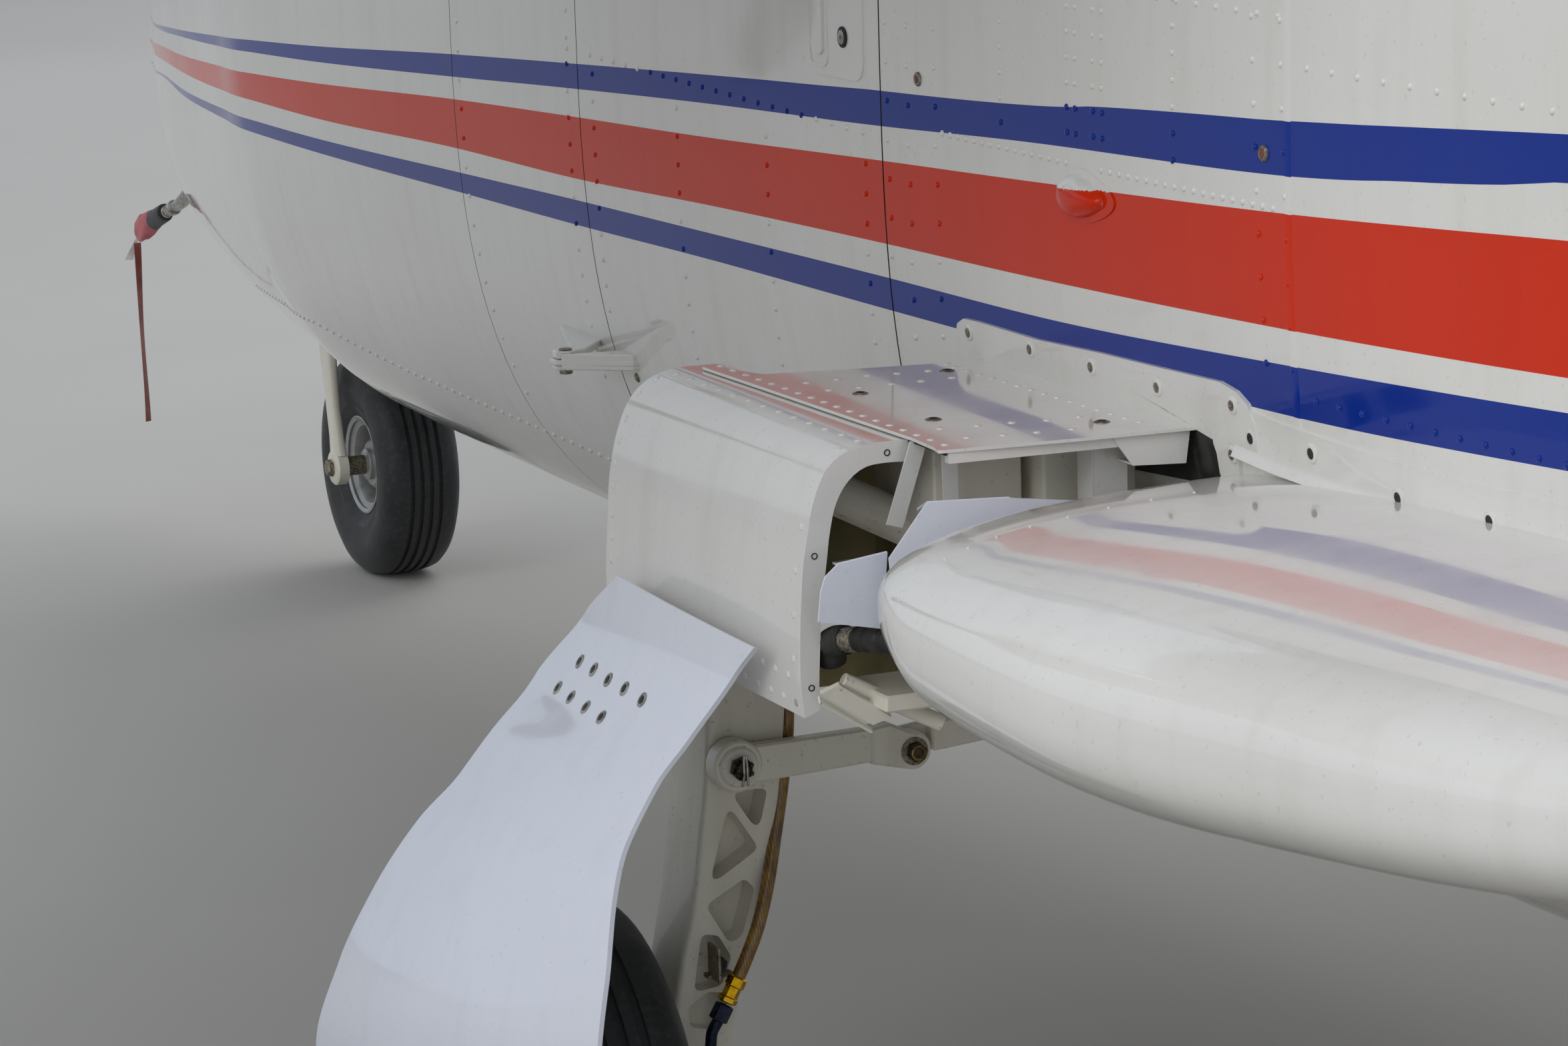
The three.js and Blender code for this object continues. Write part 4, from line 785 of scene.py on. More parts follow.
for side, sign, outline, window, front, back, levels in DOORS:
    body = DOOR_NAMES[side]
    low, high = min(z for y, z in outline), max(z for y, z in outline)
    y, z = places.T
    window = (y > -1000) & (y < 440) & (z > 1270) & (z < 1660)
    seam = ((abs(y - front) < 12) | (abs(y - back) < 8)) & (z > low - 10) & (z < high + 10)
    level_seam = ((abs(z - low) < 12) | (abs(z - high) < 12)) & (y > front) & (y < back)
    on_door = (y > front) & (y < back) & (z > low) & (z < high)
    for name, owner, chosen in (("side_rivets", "airframe", ~on_door), ("door_rivets", body, on_door)):
        chosen = chosen & ~window & ~seam & ~level_seam
        spots, ways = on_side(y[chosen], z[chosen], 0, sign)
        finish = np.repeat(paint_at(y[chosen], z[chosen]), RIVET["faces"])
        rivets = Form().add(heads(spots, ways, RIVET["radius"], RIVET["height"]))
        rivets.marks = [int(mark) for mark in finish]
        make_piece(f"{name}_{side}", rivets, skin_finishes, owner, angle=60)


def lap(y, wide, out, foot, low, high):
    """A strip along the port side's skin at y: a sheet's raised edge, or the filler in a joint."""
    angles = side_angles(y)
    level = skin_at(np.full(len(angles), y), angles)[:, 2]
    keep = (np.abs(angles) < math.radians(88)) & (level > low) & (level < high)
    rings = []
    for shift, height in ((0, -0.5), (0.3, out), (wide, out), (wide + foot, -0.5)):
        points = skin_at(np.full(len(angles), y + shift), angles)[keep]
        rings.append(points + skin_normals(points) * height)
    rings = [[ring[k] for ring in rings] for k in range(len(rings[0]))]
    solid = through(rings, closed=False, ends=False)
    middle = np.array([(rings[k][1] + rings[k + 1][1]) / 2 for k in range(len(rings) - 1)])
    return solid, [int(m) for m in np.repeat(paint_at(middle[:, 1], middle[:, 2]), 3)]


# y, width, height, foot, lowest and highest level, sides
LAPS = ((448, 7, 0.7, 6, 580, 3000, (1,)), (SKIN["nose_seam"] - 1, 2, -0.4, 6, 0, 3000, (1, -1)),
        (-1062.5, 1.9, -0.4, 0.3, 668, 1636, (1,)), (1284, 30, 1.0, 6, 0, 3000, (1, -1)),
        (1920, 30, 1.0, 6, 0, 3000, (1, -1)), (2716, 30, 1.0, 6, 0, 3000, (1, -1)))
laps = Form()
for *row, sides in LAPS:
    for mirror in sides:
        (points, faces), finish = lap(*row)
        laps.add((np.array(points) * (mirror, 1, 1), [face[::-1] if mirror > 0 else face for face in faces]))
        laps.marks[-len(finish):] = finish
make_piece("skin_laps", laps, skin_finishes, "airframe", angle=25)

# Cadmium-plated steel screws: dull yellow-grey with dark recesses
cadmium_steel = simple_material("cadmium_plated_steel", {"Metallic": 0.9}, 3, ("#6E675B", "#A79E8C"),
                                (0.35, 0.6), 0.8, 0.08)


def plate_on_side(outline, out, sign=1):
    """A thin plate that follows the skin, its face inside the outline and its edge down to the skin."""
    centre = np.mean(outline, axis=0)
    rings = []
    for share, height in [(k / 9, out) for k in range(1, 10)] + [(1.0, -2.0)]:
        flat = centre + (np.array(outline) - centre) * share
        rings.append(list(on_side(flat[:, 0], flat[:, 1], height, sign)[0]))
    points, faces = through(rings, ends=False)
    middle = tuple(range(len(rings[0])))
    faces.append(middle if faces[0][0] < faces[0][1] else middle[::-1])
    return points, faces


def add_screw(form, point, way, marks, radius, out):
    """A countersunk screw: a ring washer, unless its mark is None, and a head with a recess."""
    washer = [(radius * 1.75, -1), (radius * 1.7, out * 0.5), (radius * 1.3, out), (radius, out)]
    head = [(radius, 0), (radius, out * 1.1), (radius * 0.85, out * 1.35), (radius * 0.35, out * 1.35),
            (radius * 0.25, out * 1.02)]
    for profile, steps, mark in ((washer, 20, marks[0]), (head, 18, marks[1])):
        if mark is not None:
            form.add(turned(profile, Vector(point), Vector(way), steps), mark)


def side_spot(y, z, out=0.0, sign=1):
    """One point on the fuselage side and the direction out of it."""
    points, ways = on_side(y, z, out, sign)
    return points[0], ways[0]


# Side, door, and the rear and front edge of the plate in y
HANDLES = ((1, "door_front_left", -441, -322), (-1, "door_rear_right", -150, -31))
for sign, body, back, front in HANDLES:
    fittings = Form()
    fittings.add(plate_on_side(rounded(rectangle(back, 1076, front, 1236), 22), 1.6, sign))
    fittings.add(rim_around(rounded(rectangle(back + 4, 1086, back + 40, 1226), 8), 0, 2.4, 3.0, sign, 60))
    fittings.add(plate_on_side(rounded(rectangle(back + 9, 1094, back + 34, 1196), 10), 4.4, sign))
    lock = side_spot(front - 42, 1114, 1.5, sign)
    fittings.add(turned([(9.6, -1), (9.6, 1.6), (8.2, 2.2), (6.6, 2.2)], *lock, 28), 1)
    fittings.add(turned([(6.6, 0), (6.6, 2.4), (5.6, 3.0), (1.4, 3.0), (1.2, 1.6)], *lock, 24), 2)
    make_piece(f"handle_{body}", fittings, [white_enamel, neoprene_seal, plated_steel], body,
               angle=40)

# Red-brown primer shows on the plugs that cover the inspection holes
red_oxide = simple_material("red_oxide_primer", {"IOR": 1.5}, 4, ("#5A261C", "#7E4438"), (0.4, 0.6))


def painted(form, solid):
    """Add a solid, each face in the stripe's colour at its place."""
    points, faces = solid
    form.add(solid)
    spots = np.array([np.mean([list(points[i]) for i in face], axis=0) for face in faces])
    form.marks[-len(faces):] = [int(mark) for mark in paint_at(spots[:, 1], spots[:, 2])]


# Lamp cover rows: step, share of its foot's outline, height
LAMP_COVER = [(0, 0.8, 0.5), (1, 0.74, 5.5), (2, 0.62, 9.5), (3, 0.45, 12), (4, 0.25, 13.2), (5, 0.08, 13.6)]
blister = Form()
for sign in (1, -1):
    base = [(116 + 50 * math.copysign(abs(math.cos(a)) ** 1.15, math.cos(a)),
             1022 + 22 * math.sin(a) * (1 - 0.25 * math.cos(a))) for a in full_turn(72)]
    painted(blister, plate_on_side(base, 1.3, sign))
    rings = []
    for _, share, height in eased(LAMP_COVER, 26):
        flat = [(108 + (y - 116) * share, 1021 + (z - 1022) * share) for y, z in base]
        rings.append(list(on_side([p[0] for p in flat], [p[1] for p in flat], height, sign)[0]))
    painted(blister, through(rings))
    for y, z in ((146, 1020), (78, 1021)):
        add_screw(blister, *side_spot(y, z, 1.5, sign), (2, 3), 2.2, 1.0)
    for y, z in ((-207, 1090), (417, 1089)):
        plug = side_spot(y, z, 0, sign)
        blister.add(turned([(6.4, -1), (6.4, 1.4), (5.6, 2.2), (4.8, 2.2)], *plug, 20), 3)
        blister.add(turned([(4.8, 0), (4.8, 1.6), (3.4, 2.4), (1.2, 2.6)], *plug, 20), 4)
blister_finishes = [white_enamel, blue_enamel, red_enamel, cadmium_steel, red_oxide]
make_piece("side_blisters", blister, blister_finishes, "airframe", angle=45)


# Door hinges
# Forged aluminium arms, painted white, are bolted through the skin; the two halves share one upright pin.
FORGED_EDGE = 1.2


def forged(corners, low, high):
    """A flat forging with rounded corners seen from above, between two levels."""
    return plate(rounded(corners, FORGED_EDGE * 2), 2, low, high, FORGED_EDGE)


for side, sign, outline, window, front, back, levels in DOORS:
    fixed, hung = Form(), Form()
    for low in (level + 9 for level in levels):
        wall = on_side([front - 150, front + 46], [low + 16, low + 16])[0][:, 0]
        leaf = [(wall[0] - 20, front - 175), (wall[0] + 3, front - 158), (604, front - 24), (629, front - 10),
                (631, front + 6), (618, front + 14), (596, front + 2), (wall[0] - 20, front - 70)]
        fixed.add(forged(leaf, low + 12, low + 20))
        fixed.add(forged(leaf[2:], low, low + 5))
        hung.add(forged([(628, front - 14), (634, front - 6), (632, front + 8), (wall[1] + 4, front + 62),
                         (wall[1] - 20, front + 62), (wall[1] - 20, front + 20), (606, front - 6)], low + 5.6,
                        low + 11.4))
        hung.add(forged([(631, front + 9), (wall[1] + 3.4, front + 61), (wall[1] - 20, front + 61),
                         (wall[1] - 20, front + 30), (612, front + 16)], low + 1, low + 18))
        for start, end in ((low - 5, low - 0.2), (low + 20.2, low + 21.4)):
            fixed.add(between((618, front, start), (618, front, end), 7, steps=18, edge=0.5), 1)
        for form, y, z in ((fixed, front - 120, low + 12), (hung, front + 44, low - 9)):
            add_screw(form, *side_spot(y, z, 0.5), (1, 1), 3, 1.2)
    finishes = [white_enamel, cadmium_steel]
    make_piece(f"hinges_fixed_{side}", fixed, finishes, "airframe", sign=sign)
    make_piece(f"hinges_hung_{side}", hung, finishes, DOOR_NAMES[side], sign=sign)


# Main gear fairing
# A sheet aluminium box folded round the root of each leg: a curved outer sheet, a flat top sheet lapped over
# it with domed rivets and quarter-turn fasteners, and a rounded flange screwed to the side. Primed inside.
# x and z down the outer sheet at its front and rear edges, and along the inner edge of its rear flange
CURVED = {"front": [(785, 851.4), (808, 852), (834, 851.5), (858, 844), (876, 828), (889, 799), (897, 763),
                    (900, 727), (903, 690), (903.5, 664), (903, 650), (902, 636)],
          "back": [(785, 851.4), (812, 852), (836, 852), (860, 847.5), (878, 835), (890, 811), (896, 785),
                   (901, 758), (903.5, 731), (905.5, 698), (906, 664), (903.5, 635)],
          "flange": [(806, 834), (827, 835), (845, 833), (860, 823), (871, 806), (877, 783), (880, 763),
                     (885, 729), (888, 696), (890, 662), (890, 640)]}
SHEET_Y = (-235, 190)
# Zinc chromate primer: matt khaki with rubbed and darker places
chromate_primer = simple_material("zinc_chromate_primer", {"IOR": 1.5}, 70, ("#8E8259", "#5C5538"),
                                  (0.55, 0.8), 4, detail=5, spread=(0.35, 0.7))

# Chromate-primed and enamelled forging: cream, semi-gloss, chipped on its edges and greasy in its corners
gear_enamel = enamel("cream_epoxy_enamel", "#ECE7D7", "#978E76", (0.28, 0.5), 0.25)
# Cooler white enamel of the wheel doors and their brackets, newer and glossier than the rest
cover_enamel = enamel("cool_white_polyurethane_enamel", "#E6E9F2", "#A8ABB8", (0.08, 0.2), 0.1)


def rounded_block(low, high, edge):
    """A machined block with broken edges."""
    (x0, y0, z0), (x1, y1, z1) = low, high
    cut = edge * 0.6
    rings = []
    for z, inset in ((z0, cut), (z0 + cut, 0), (z1 - cut, 0), (z1, cut)):
        corners = rectangle(x0 + inset, y0 + inset, x1 - inset, y1 - inset)
        rings.append([(x, y, z) for x, y in rounded(corners, edge, 3)])
    return through(rings)


SIDES = (("left", 1), ("right", -1))


def make_pair(name, form, materials, node=None, angle=35, body="airframe"):
    """A form as the left side's piece and, mirrored, as the right side's."""
    for side, sign in SIDES:
        replaces = [node.format(side)] if node else ()
        make_piece(name.format(side), form, materials, body.format(side), replaces, angle, sign)


def sheet_path(section, count):
    """Evenly spaced points and outward directions along a section in x and z."""
    fine = np.array(curve_through([(x, 0, z) for x, z in section], 240))[:, [0, 2]]
    length = np.concatenate([[0], np.cumsum(np.linalg.norm(np.diff(fine, axis=0), axis=1))])
    at = np.linspace(0, length[-1], count)
    points = np.column_stack([np.interp(at, length, fine[:, k]) for k in (0, 1)])
    way = np.gradient(points, axis=0)
    way /= np.linalg.norm(way, axis=1, keepdims=True)
    return points, np.column_stack([-way[:, 1], way[:, 0]])


front_path, back_path = (sheet_path(CURVED[key], 60) for key in ("front", "back"))


def curved_at(y):
    """Points and outward directions down the outer sheet at one y."""
    share = (y - SHEET_Y[0]) / (SHEET_Y[1] - SHEET_Y[0])
    return [a + (b - a) * share for a, b in zip(front_path, back_path)]


def sheet_layer(stations, high, low):
    """One layer of the outer sheet between two heights, through several y."""
    rings = []
    for y in stations:
        points, out = curved_at(y)
        section = [*(points + out * high), *(points + out * low)[::-1]]
        rings.append([(x, y, z) for x, z in section])
    return through(rings)


def bent_plate(corners, thick, mark):
    """A flat plate with these corners in space, in order round its edge."""
    points = [Vector(p) for p in corners]
    normal = (points[1] - points[0]).cross(points[2] - points[0]).normalized() * thick / 2
    fairing.add(through([[p - normal for p in points], [p + normal for p in points]]), mark)


fairing = Form()
fairing.add(sheet_layer((-235, -100, 50, 187.5), 0, -0.5), 0)
fairing.add(sheet_layer((-235, -100, 50, 184), -0.5, -2.6), 1)
fairing.add(sheet_layer((184, 187.5), -0.5, -2.6), 0)
# The rear edge is turned inwards in a flange; sheet closes the front and runs aslant to the side
flange_ring = [tuple(p) for p in back_path[0] if p[0] > 805]
flange_ring += [tuple(p) for p in sheet_path(CURVED["flange"], 40)[0][::-1]]
fairing.add(slab(flange_ring, 1, 187.5, 190), 0)
closing = [(p[0] - 2.6, p[1] - 2) for p in front_path[0][18:]] + [(808, 640), (808, 849)]
for y, mark in ((-234.6, 0), (-233.4, 1)):
    fairing.add(slab(closing, 1, y, y + 1.2), mark)
front_line = [(812, -231, 640), (790, -148, 640), (718, -130, 640), (598, -108, 720)]
for (x0, y0, z0), (x1, y1, z1) in zip(front_line, front_line[1:]):
    for shift, mark in ((-1.2, 0), (0, 1)):
        bent_plate([(x0, y0 + shift, 852), (x1, y1 + shift, 852), (x1, y1 + shift, z1), (x0, y0 + shift, z0)],
                   1.2, mark)
top_outline = rounded([(818, -217), (788, -140), (718, -122), (640, -106), (594, -98), (592, 288), (605, 285),
                       (697, 279), (815, 266), (812, 250), (809, 204), (812, 85), (814, -27)], 3)
fairing.add(slab(top_outline, 2, 853.0, 855.2, 855.6), 0)
# A black neoprene strip under the top sheet's outer edge: partly a real seal, partly a dark strip standing in
# for the painted shadow in the gap under the edge
lap_seal_and_shadow = [(815, -212), (811, -27), (809, 85), (806, 204), (808, 262), (786, 262), (787, -136)]
fairing.add(slab(lap_seal_and_shadow, 2, 850, 853), 4)
fairing.add(slab([(600, 270), (806, 258), (806, 266), (600, 279)], 2, 844, 853), 0)

# Inside: white folded straps under the top sheet, cool white bracket plates, a cream cross tube and channels
bent_plate([(642, 252, 852), (672, 252, 852), (672, 250, 786), (642, 250, 786)], 1.6, 2)
bent_plate([(673, 252, 852), (673, 226, 852), (673, 226, 786), (673, 251, 786)], 1.6, 2)
bent_plate([(600, 280, 853), (668, 276, 853), (650, 276, 828), (604, 280, 826)], 1.6, 2)
bent_plate([(604, 280, 827), (650, 276, 829), (650, 240, 829), (604, 244, 827)], 1.6, 2)
bent_plate([(768, 200, 852), (782, 200, 852), (781, 200, 790), (768, 200, 790)], 1.6, 2)
bent_plate([(794, 200, 852), (809, 200, 852), (830, 196, 786), (816, 196, 782)], 1.6, 2)
bent_plate([(866, 278, 777), (832, 278, 818), (760, 278, 814), (697, 278, 805), (697, 278, 730),
            (862, 278, 730)], 2, 5)
bent_plate([(832, 278, 818), (760, 278, 814), (772, 250, 800), (825, 244, 806)], 2, 5)
bent_plate([(915, 255, 752), (911, 255, 763), (900, 255, 772), (857, 255, 777), (863, 255, 716),
            (918, 255, 728)], 2, 5)
bent_plate([(900, 255, 772), (857, 255, 777), (850, 224, 768), (886, 214, 764)], 2, 5)
fairing.add(between((850, 92, 806), (740, 116, 748), 18, steps=32), 6)
fairing.add(rounded_block((604, 40, 770), (690, 196, 842), 6), 6)
fairing.add(rounded_block((700, 60, 770), (780, 180, 846), 5), 6)
bent_plate([(694, -124, 640), (694, 420, 640), (694, 420, 766), (694, -124, 766)], 1.6, 1)
bent_plate([(694, 100, 636), (898, 100, 636), (896, 100, 678), (694, 100, 678)], 1.6, 1)
bent_plate([(894, 200, 657), (849, 200, 626), (835, 206, 632), (880, 206, 664)], 5, 6)
bent_plate([(894, 196, 653), (849, 196, 621), (849, 199, 618), (894, 199, 648)], 2, 6)
fairing.add(between((870, 190, 662), (790, 206, 620), 7), 6)
fairing.add(rounded_block((760, 150, 640), (850, 230, 654), 3), 6)
# A ribbed black duct with a silver ferrule
hose = curve_through([(826, 330, 706), (850, 282, 707), (866, 236, 704), (874, 206, 699)], 72)
fairing.add(swept(hose[:58], [9.2 + 1.3 * (k % 8 < 5) for k in range(58)], 18), 4)
fairing.add(swept(hose[57:], 10.4, 18), 3)
elbow = curve_through([(873, 208, 699), (876, 196, 697), (876, 182, 690), (872, 176, 676)], 16)
fairing.add(swept(elbow, 12, 18), 4)
black_arch = [(144, 799), (270, 808), (318, 818), (326, 826), (324, 842), (312, 853), (284, 860), (266, 858),
              (144, 846)]
fairing.add(plate_on_side(rounded(black_arch, 6), 2.0), 4)
# Domed rivets and fasteners, as x and y on the top sheet
TOP_ROWS = (((803, -200), (801, -37), 7), ((801, -11), (800, 246), 11), ((636, -79), (626, 243), 15))
TOP_SPOTS = ((775, -79), (747, -79), (717, -82), (691, -78), (663, -75), (635, -96), (774, -35), (747, -32),
             (717, -33), (690, -32), (661, -32), (773, 180), (742, 185), (713, 188), (684, 194), (655, 194),
             (772, 228), (743, 234), (715, 238), (685, 241))
top_spots = [(x, y, 855.6) for x, y in TOP_SPOTS]
for first, last, count in TOP_ROWS:
    top_spots += [(*(np.array(first) + (np.array(last) - first) * k / (count - 1)), 855.6)
                  for k in range(count)]
fairing.add(heads(top_spots, [(0, 0, 1)] * len(top_spots), 3.6, 1.1), 0)


def on_curve(share, y):
    """A point on the outer sheet and its direction, at a share of the way down."""
    points, out = curved_at(y)
    k = int(round(share * (len(points) - 1)))
    return (points[k, 0], y, points[k, 1]), (out[k, 0], 0, out[k, 1])


curve_spots = [on_curve(0.19, -211 + 31.8 * k) for k in range(13)]
curve_spots += [on_curve(0.24 + 0.072 * k, -224) for k in range(11)]
curve_spots += [on_curve(0.965, -214 + 26 * k) for k in range(16)]
curve_spots += [on_curve(0.9, 60 + 26 * k) for k in range(5)]
curve_spots += [on_curve(0.26 + 0.118 * k, 176) for k in range(7)]
fairing.add(heads(*zip(*curve_spots), 3.6, 1.1), 0)
for x, y in ((650, -65), (759, -5), (760, 140), (651, 226)):
    add_screw(fairing, (x, y, 855.4), (0, 0, 1), (3, 4), 4, 1.4)
for x, z in ((825, 843), (891, 766), (897, 659)):
    fairing.add(turned([(2.8, -1), (2.8, 0.5), (2.0, 0.6), (1.8, -0.5)], (x, 190, z), (0, 1, 0), 14), 4)
# Flange and its ring-washer screws, as y and z on the side
flange_outline = rounded([(-153, 838), (-152, 870), (-146, 882), (-132, 888), (-104, 889), (10, 889),
                          (126, 894), (237, 897), (336, 900), (362, 896), (379, 888), (386, 874), (387, 850),
                          (316, 850), (306, 853), (284, 857), (266, 854), (262, 838)], 3)
flange_foot = rounded([(313, 850.5), (318, 840), (319, 821), (352, 822), (354, 850.5)], 3)
SCREWS = [(-123, 877), (-2, 879), (112, 880), (229, 880), (355, 884), (346, 843)]
fairing.add(plate_on_side(flange_outline, 3.6))
fairing.add(plate_on_side(flange_foot, 3.4))
for y, z in SCREWS:
    add_screw(fairing, *side_spot(y, z, 3.6), (0, 3), 4.4, 1.5)
fairing_finishes = [white_enamel, chromate_primer, white_enamel, cadmium_steel, neoprene_seal, cover_enamel,
                    gear_enamel]
make_pair("gear_fairing_sheets_{}", fairing, fairing_finishes, "gear_fairing_{}", 30)


# Wheel housing
# A moulded glass-fibre blister on each side takes the folded wheel. It is bonded to a screwed flange, has
# a dotted lap seam round its nose, and is open below for the wheel.
# y, core x inside the body, reach in x, bottom, top
HOUSING = np.array([(288, 420, 790, 726, 789), (292, 420, 833, 701, 804), (304, 420, 863, 688, 817),
                    (324, 420, 890, 681, 821), (351, 420, 910, 684, 828), (470, 420, 940, 655, 839),
                    (700, 420, 955, 650, 852), (1000, 400, 925, 668, 860), (1400, 340, 820, 715, 866),
                    (1800, 240, 640, 790, 880), (2150, 150, 385, 880, 930)], float)
WHEEL_WELL = {"front": 420, "back": 900, "inner": 640, "outer": 895, "bottom": 500, "top": 828}


def housing_ring(row, inset=0.0, drop=0.0):
    """A section of the housing, or of the hollow in it, which goes further down."""
    y, core, reach, bottom, top = row
    middle, high = (bottom - drop + top) / 2, (top - bottom + drop) / 2 - inset
    ring = []
    for angle in full_turn(96):
        angle -= 0.18 * math.sin(4 * angle)
        c, s = math.cos(angle), math.sin(angle)
        ring.append((core + (reach - core - inset) * math.copysign(abs(c) ** 0.55, c), y,
                     middle + high * math.copysign(abs(s) ** 0.72, s)))
    return ring


housing_y = 288 + (2150 - 288) * np.linspace(0, 1, 100) ** 2
housing_rows = np.column_stack([housing_y, smooth_rows(HOUSING, housing_y)])
housing_rings = [housing_ring(row) for row in housing_rows]
inner_rings = [housing_ring(row, 8, 300) for row in housing_rows]
well_outline = rectangle(WHEEL_WELL["front"], WHEEL_WELL["bottom"], WHEEL_WELL["back"], WHEEL_WELL["top"])
for side, sign in SIDES:
    housing = blank(through(housing_rings), 0, sign)
    reach = sorted(sign * x for x in (WHEEL_WELL["inner"], WHEEL_WELL["outer"]))
    well = blank(through(inner_rings), 1, sign)
    carve(well, prism(well_outline, *reach, mark=1), "INTERSECT")
    carve(housing, well)
    carve(housing, skin_solid(200, 2600, 4, 40, 0))
    settle(housing, f"wheel_housing_moulding_{side}", [white_enamel, chromate_primer], "airframe",
           [f"wheel_housing_{side}"], skin=False, angle=40)
root_trim = Form()
upper = along_row([(352, 884), (420, 880), (600, 876), (821, 880), (1200, 885), (1500, 890)], 20)
rings = [[*on_side([y], [z], 2.6)[0], *on_side([y], [z - 30], 2.6)[0], *on_side([y], [z - 40], 9)[0],
          *on_side([y], [z - 42], -6)[0], *on_side([y], [z], -2)[0]] for y, z in upper]
root_trim.add(through(rings))
for y, z in ((379, 861), (474, 864), (599, 850), (726, 854), (860, 860), (1000, 866), (1140, 868),
             (1280, 872), (1420, 876)):
    add_screw(root_trim, *side_spot(y, z, 2.6), (0, 1), 4.6, 1.5)
seam_ring = next(ring for ring in housing_rings if ring[0][1] > 420)
seam = np.array([p for p in seam_ring if p[0] > 640 and p[2] > 770])
seam_ways = (seam - (600, 0, 760)) * (1, 0, 1)
seam_ways /= np.linalg.norm(seam_ways, axis=1, keepdims=True)
root_trim.add(heads(seam, seam_ways, 1.6, 0.7), 0)
make_pair("housing_root_trim_{}", root_trim, [white_enamel, neoprene_seal], angle=40)


# Main leg
# One machined aluminium forging a side, painted cream, with lightening pockets in its aft face and the axle
# at its foot. A brake hose runs down the aft face to a gold-anodised fitting.
# z, outer x, inner x, depth along y
LEG = np.array([(735, 846, 768, 92), (620, 850, 774, 88), (500, 857, 784, 84), (456, 863, 790, 82),
                (415, 868, 797, 80), (380, 874, 806, 78), (346, 882, 818, 74), (308, 889, 826, 70),
                (281, 893, 832, 68), (182, 897, 844, 60)], float)
AXLE = {"y": -180, "z": 205, "radius": 16}
gear_finishes = [gear_enamel, cadmium_steel, neoprene_seal, chromate_primer]
# Corners of the pockets in x and z
POCKETS = ([(834, 492), (798, 492), (808, 452)], [(836, 482), (808, 438), (856, 410)],
           [(860, 393), (822, 413), (813, 402), (826, 360), (838, 356)],
           [(864, 368), (848, 364), (836, 343), (846, 318), (872, 315)],
           [(878, 302), (858, 314), (838, 310), (848, 276), (876, 284)])


def turn_over(item):
    """Turns a solid into its image on the other side."""
    item.data.transform(Matrix.Scale(-1, 4, (1, 0, 0)))
    item.data.flip_normals()


def leg_ring(row):
    """A level section of the leg."""
    z, outer, inner, deep = row
    corners = rectangle(inner, -deep / 2, outer, deep / 2)
    return [(x, AXLE["y"] + y, z) for x, y in rounded(corners, 7, 4)]


leg_rows = eased(LEG[::-1], 44)
for side, sign in SIDES:
    leg = blank(through([leg_ring(row) for row in leg_rows]))
    for outline in POCKETS:
        carve(leg, blank(slab(rounded(outline, 7), 1, AXLE["y"] + 14, AXLE["y"] + 90)))
    if sign < 0:
        turn_over(leg)
    settle(leg, f"leg_forging_{side}", gear_finishes, "airframe", [f"main_leg_{side}"],
           skin=False, angle=38)
leg_parts = Form()
leg_parts.add(rounded_block((572, -222, 668), (800, -138, 732), 8))
leg_parts.add(rounded_block((742, -226, 700), (846, -134, 742), 10))
leg_parts.add(between((868, AXLE["y"], AXLE["z"]), (1052, AXLE["y"], AXLE["z"]), AXLE["radius"], steps=28), 0)
leg_parts.add(turned([(10, -2), (34, 0), (36, 4), (36, 16), (30, 20)], (868, AXLE["y"], AXLE["z"]), (1, 0, 0),
                     32), 0)
# Brake: a steel disc behind the rim, a two-piston caliper on the leg, and its banjo
leg_parts.add(turned([(40, 0), (112, 0), (114, 1.5), (114, 5.5), (112, 7), (40, 7)],
                     (908, AXLE["y"], AXLE["z"]), (1, 0, 0), 56), 4)
leg_parts.add(rounded_block((884, -156, 168), (904, -104, 240), 7), 3)
leg_parts.add(turned([(13, -1), (13, 6), (11, 8), (5, 8)], (884, -120, 186), (-1, 0, 0), 20), 1)
leg_parts.add(turned([(13, -1), (13, 6), (11, 8), (5, 8)], (884, -124, 224), (-1, 0, 0), 20), 1)
# Bracket of the cover
leg_parts.add(rounded_block((846, -198, 592), (925, -152, 600), 2), 0)
leg_parts.add(rounded_block((900, -200, 588), (922, -150, 618), 4), 0)
leg_parts.add(slab([(846, 640), (850, 640), (926, 602), (926, 596), (846, 630)], 1, -190, -186), 0)
# Hose clamp with its bolt, low on the aft face
leg_parts.add(rounded_block((838, -146, 328), (862, -134, 332), 1), 1)
leg_parts.add(rounded_block((856, -142, 328), (859, -118, 360), 1), 1)
leg_parts.add(turned([(6, 0), (6, 4), (5, 5.5), (0.5, 6)], (850, -136, 341), (0, 1, 0), 6), 2)
# Amber protective sleeve over the braided hose: glossy, with the weave showing through
hose_sleeve = start_material("amber_hose_sleeve", {"IOR": 1.5, "Coat Weight": 0.5, "Coat Roughness": 0.1})
sleeve_braid = patches(hose_sleeve, 1.6, 0.2, 0.8, kind="TexWave", stretch=(0.2, 0.2, 1))
stain = mixed(hose_sleeve, patches(hose_sleeve, 14, 0.35, 0.65), "#B08420", "#74501A")
finish_material(hose_sleeve, mixed(hose_sleeve, sleeve_braid, stain, "#2E1E0A", 0.5), sleeve_braid,
                (0.25, 0.4), sleeve_braid, 0.15)
# Gold-anodised aluminium fitting nut
gold_anodised = simple_material("gold_anodised_aluminium", {"Metallic": 1.0}, 5, ("#C7900A", "#E5B428"),
                                (0.18, 0.34))
# Blue-black anodised elbow and nut
black_anodised = simple_material("blue_black_anodised_aluminium", {"Metallic": 0.7}, 9,
                                 ("#15161C", "#2B3350"), (0.3, 0.5))
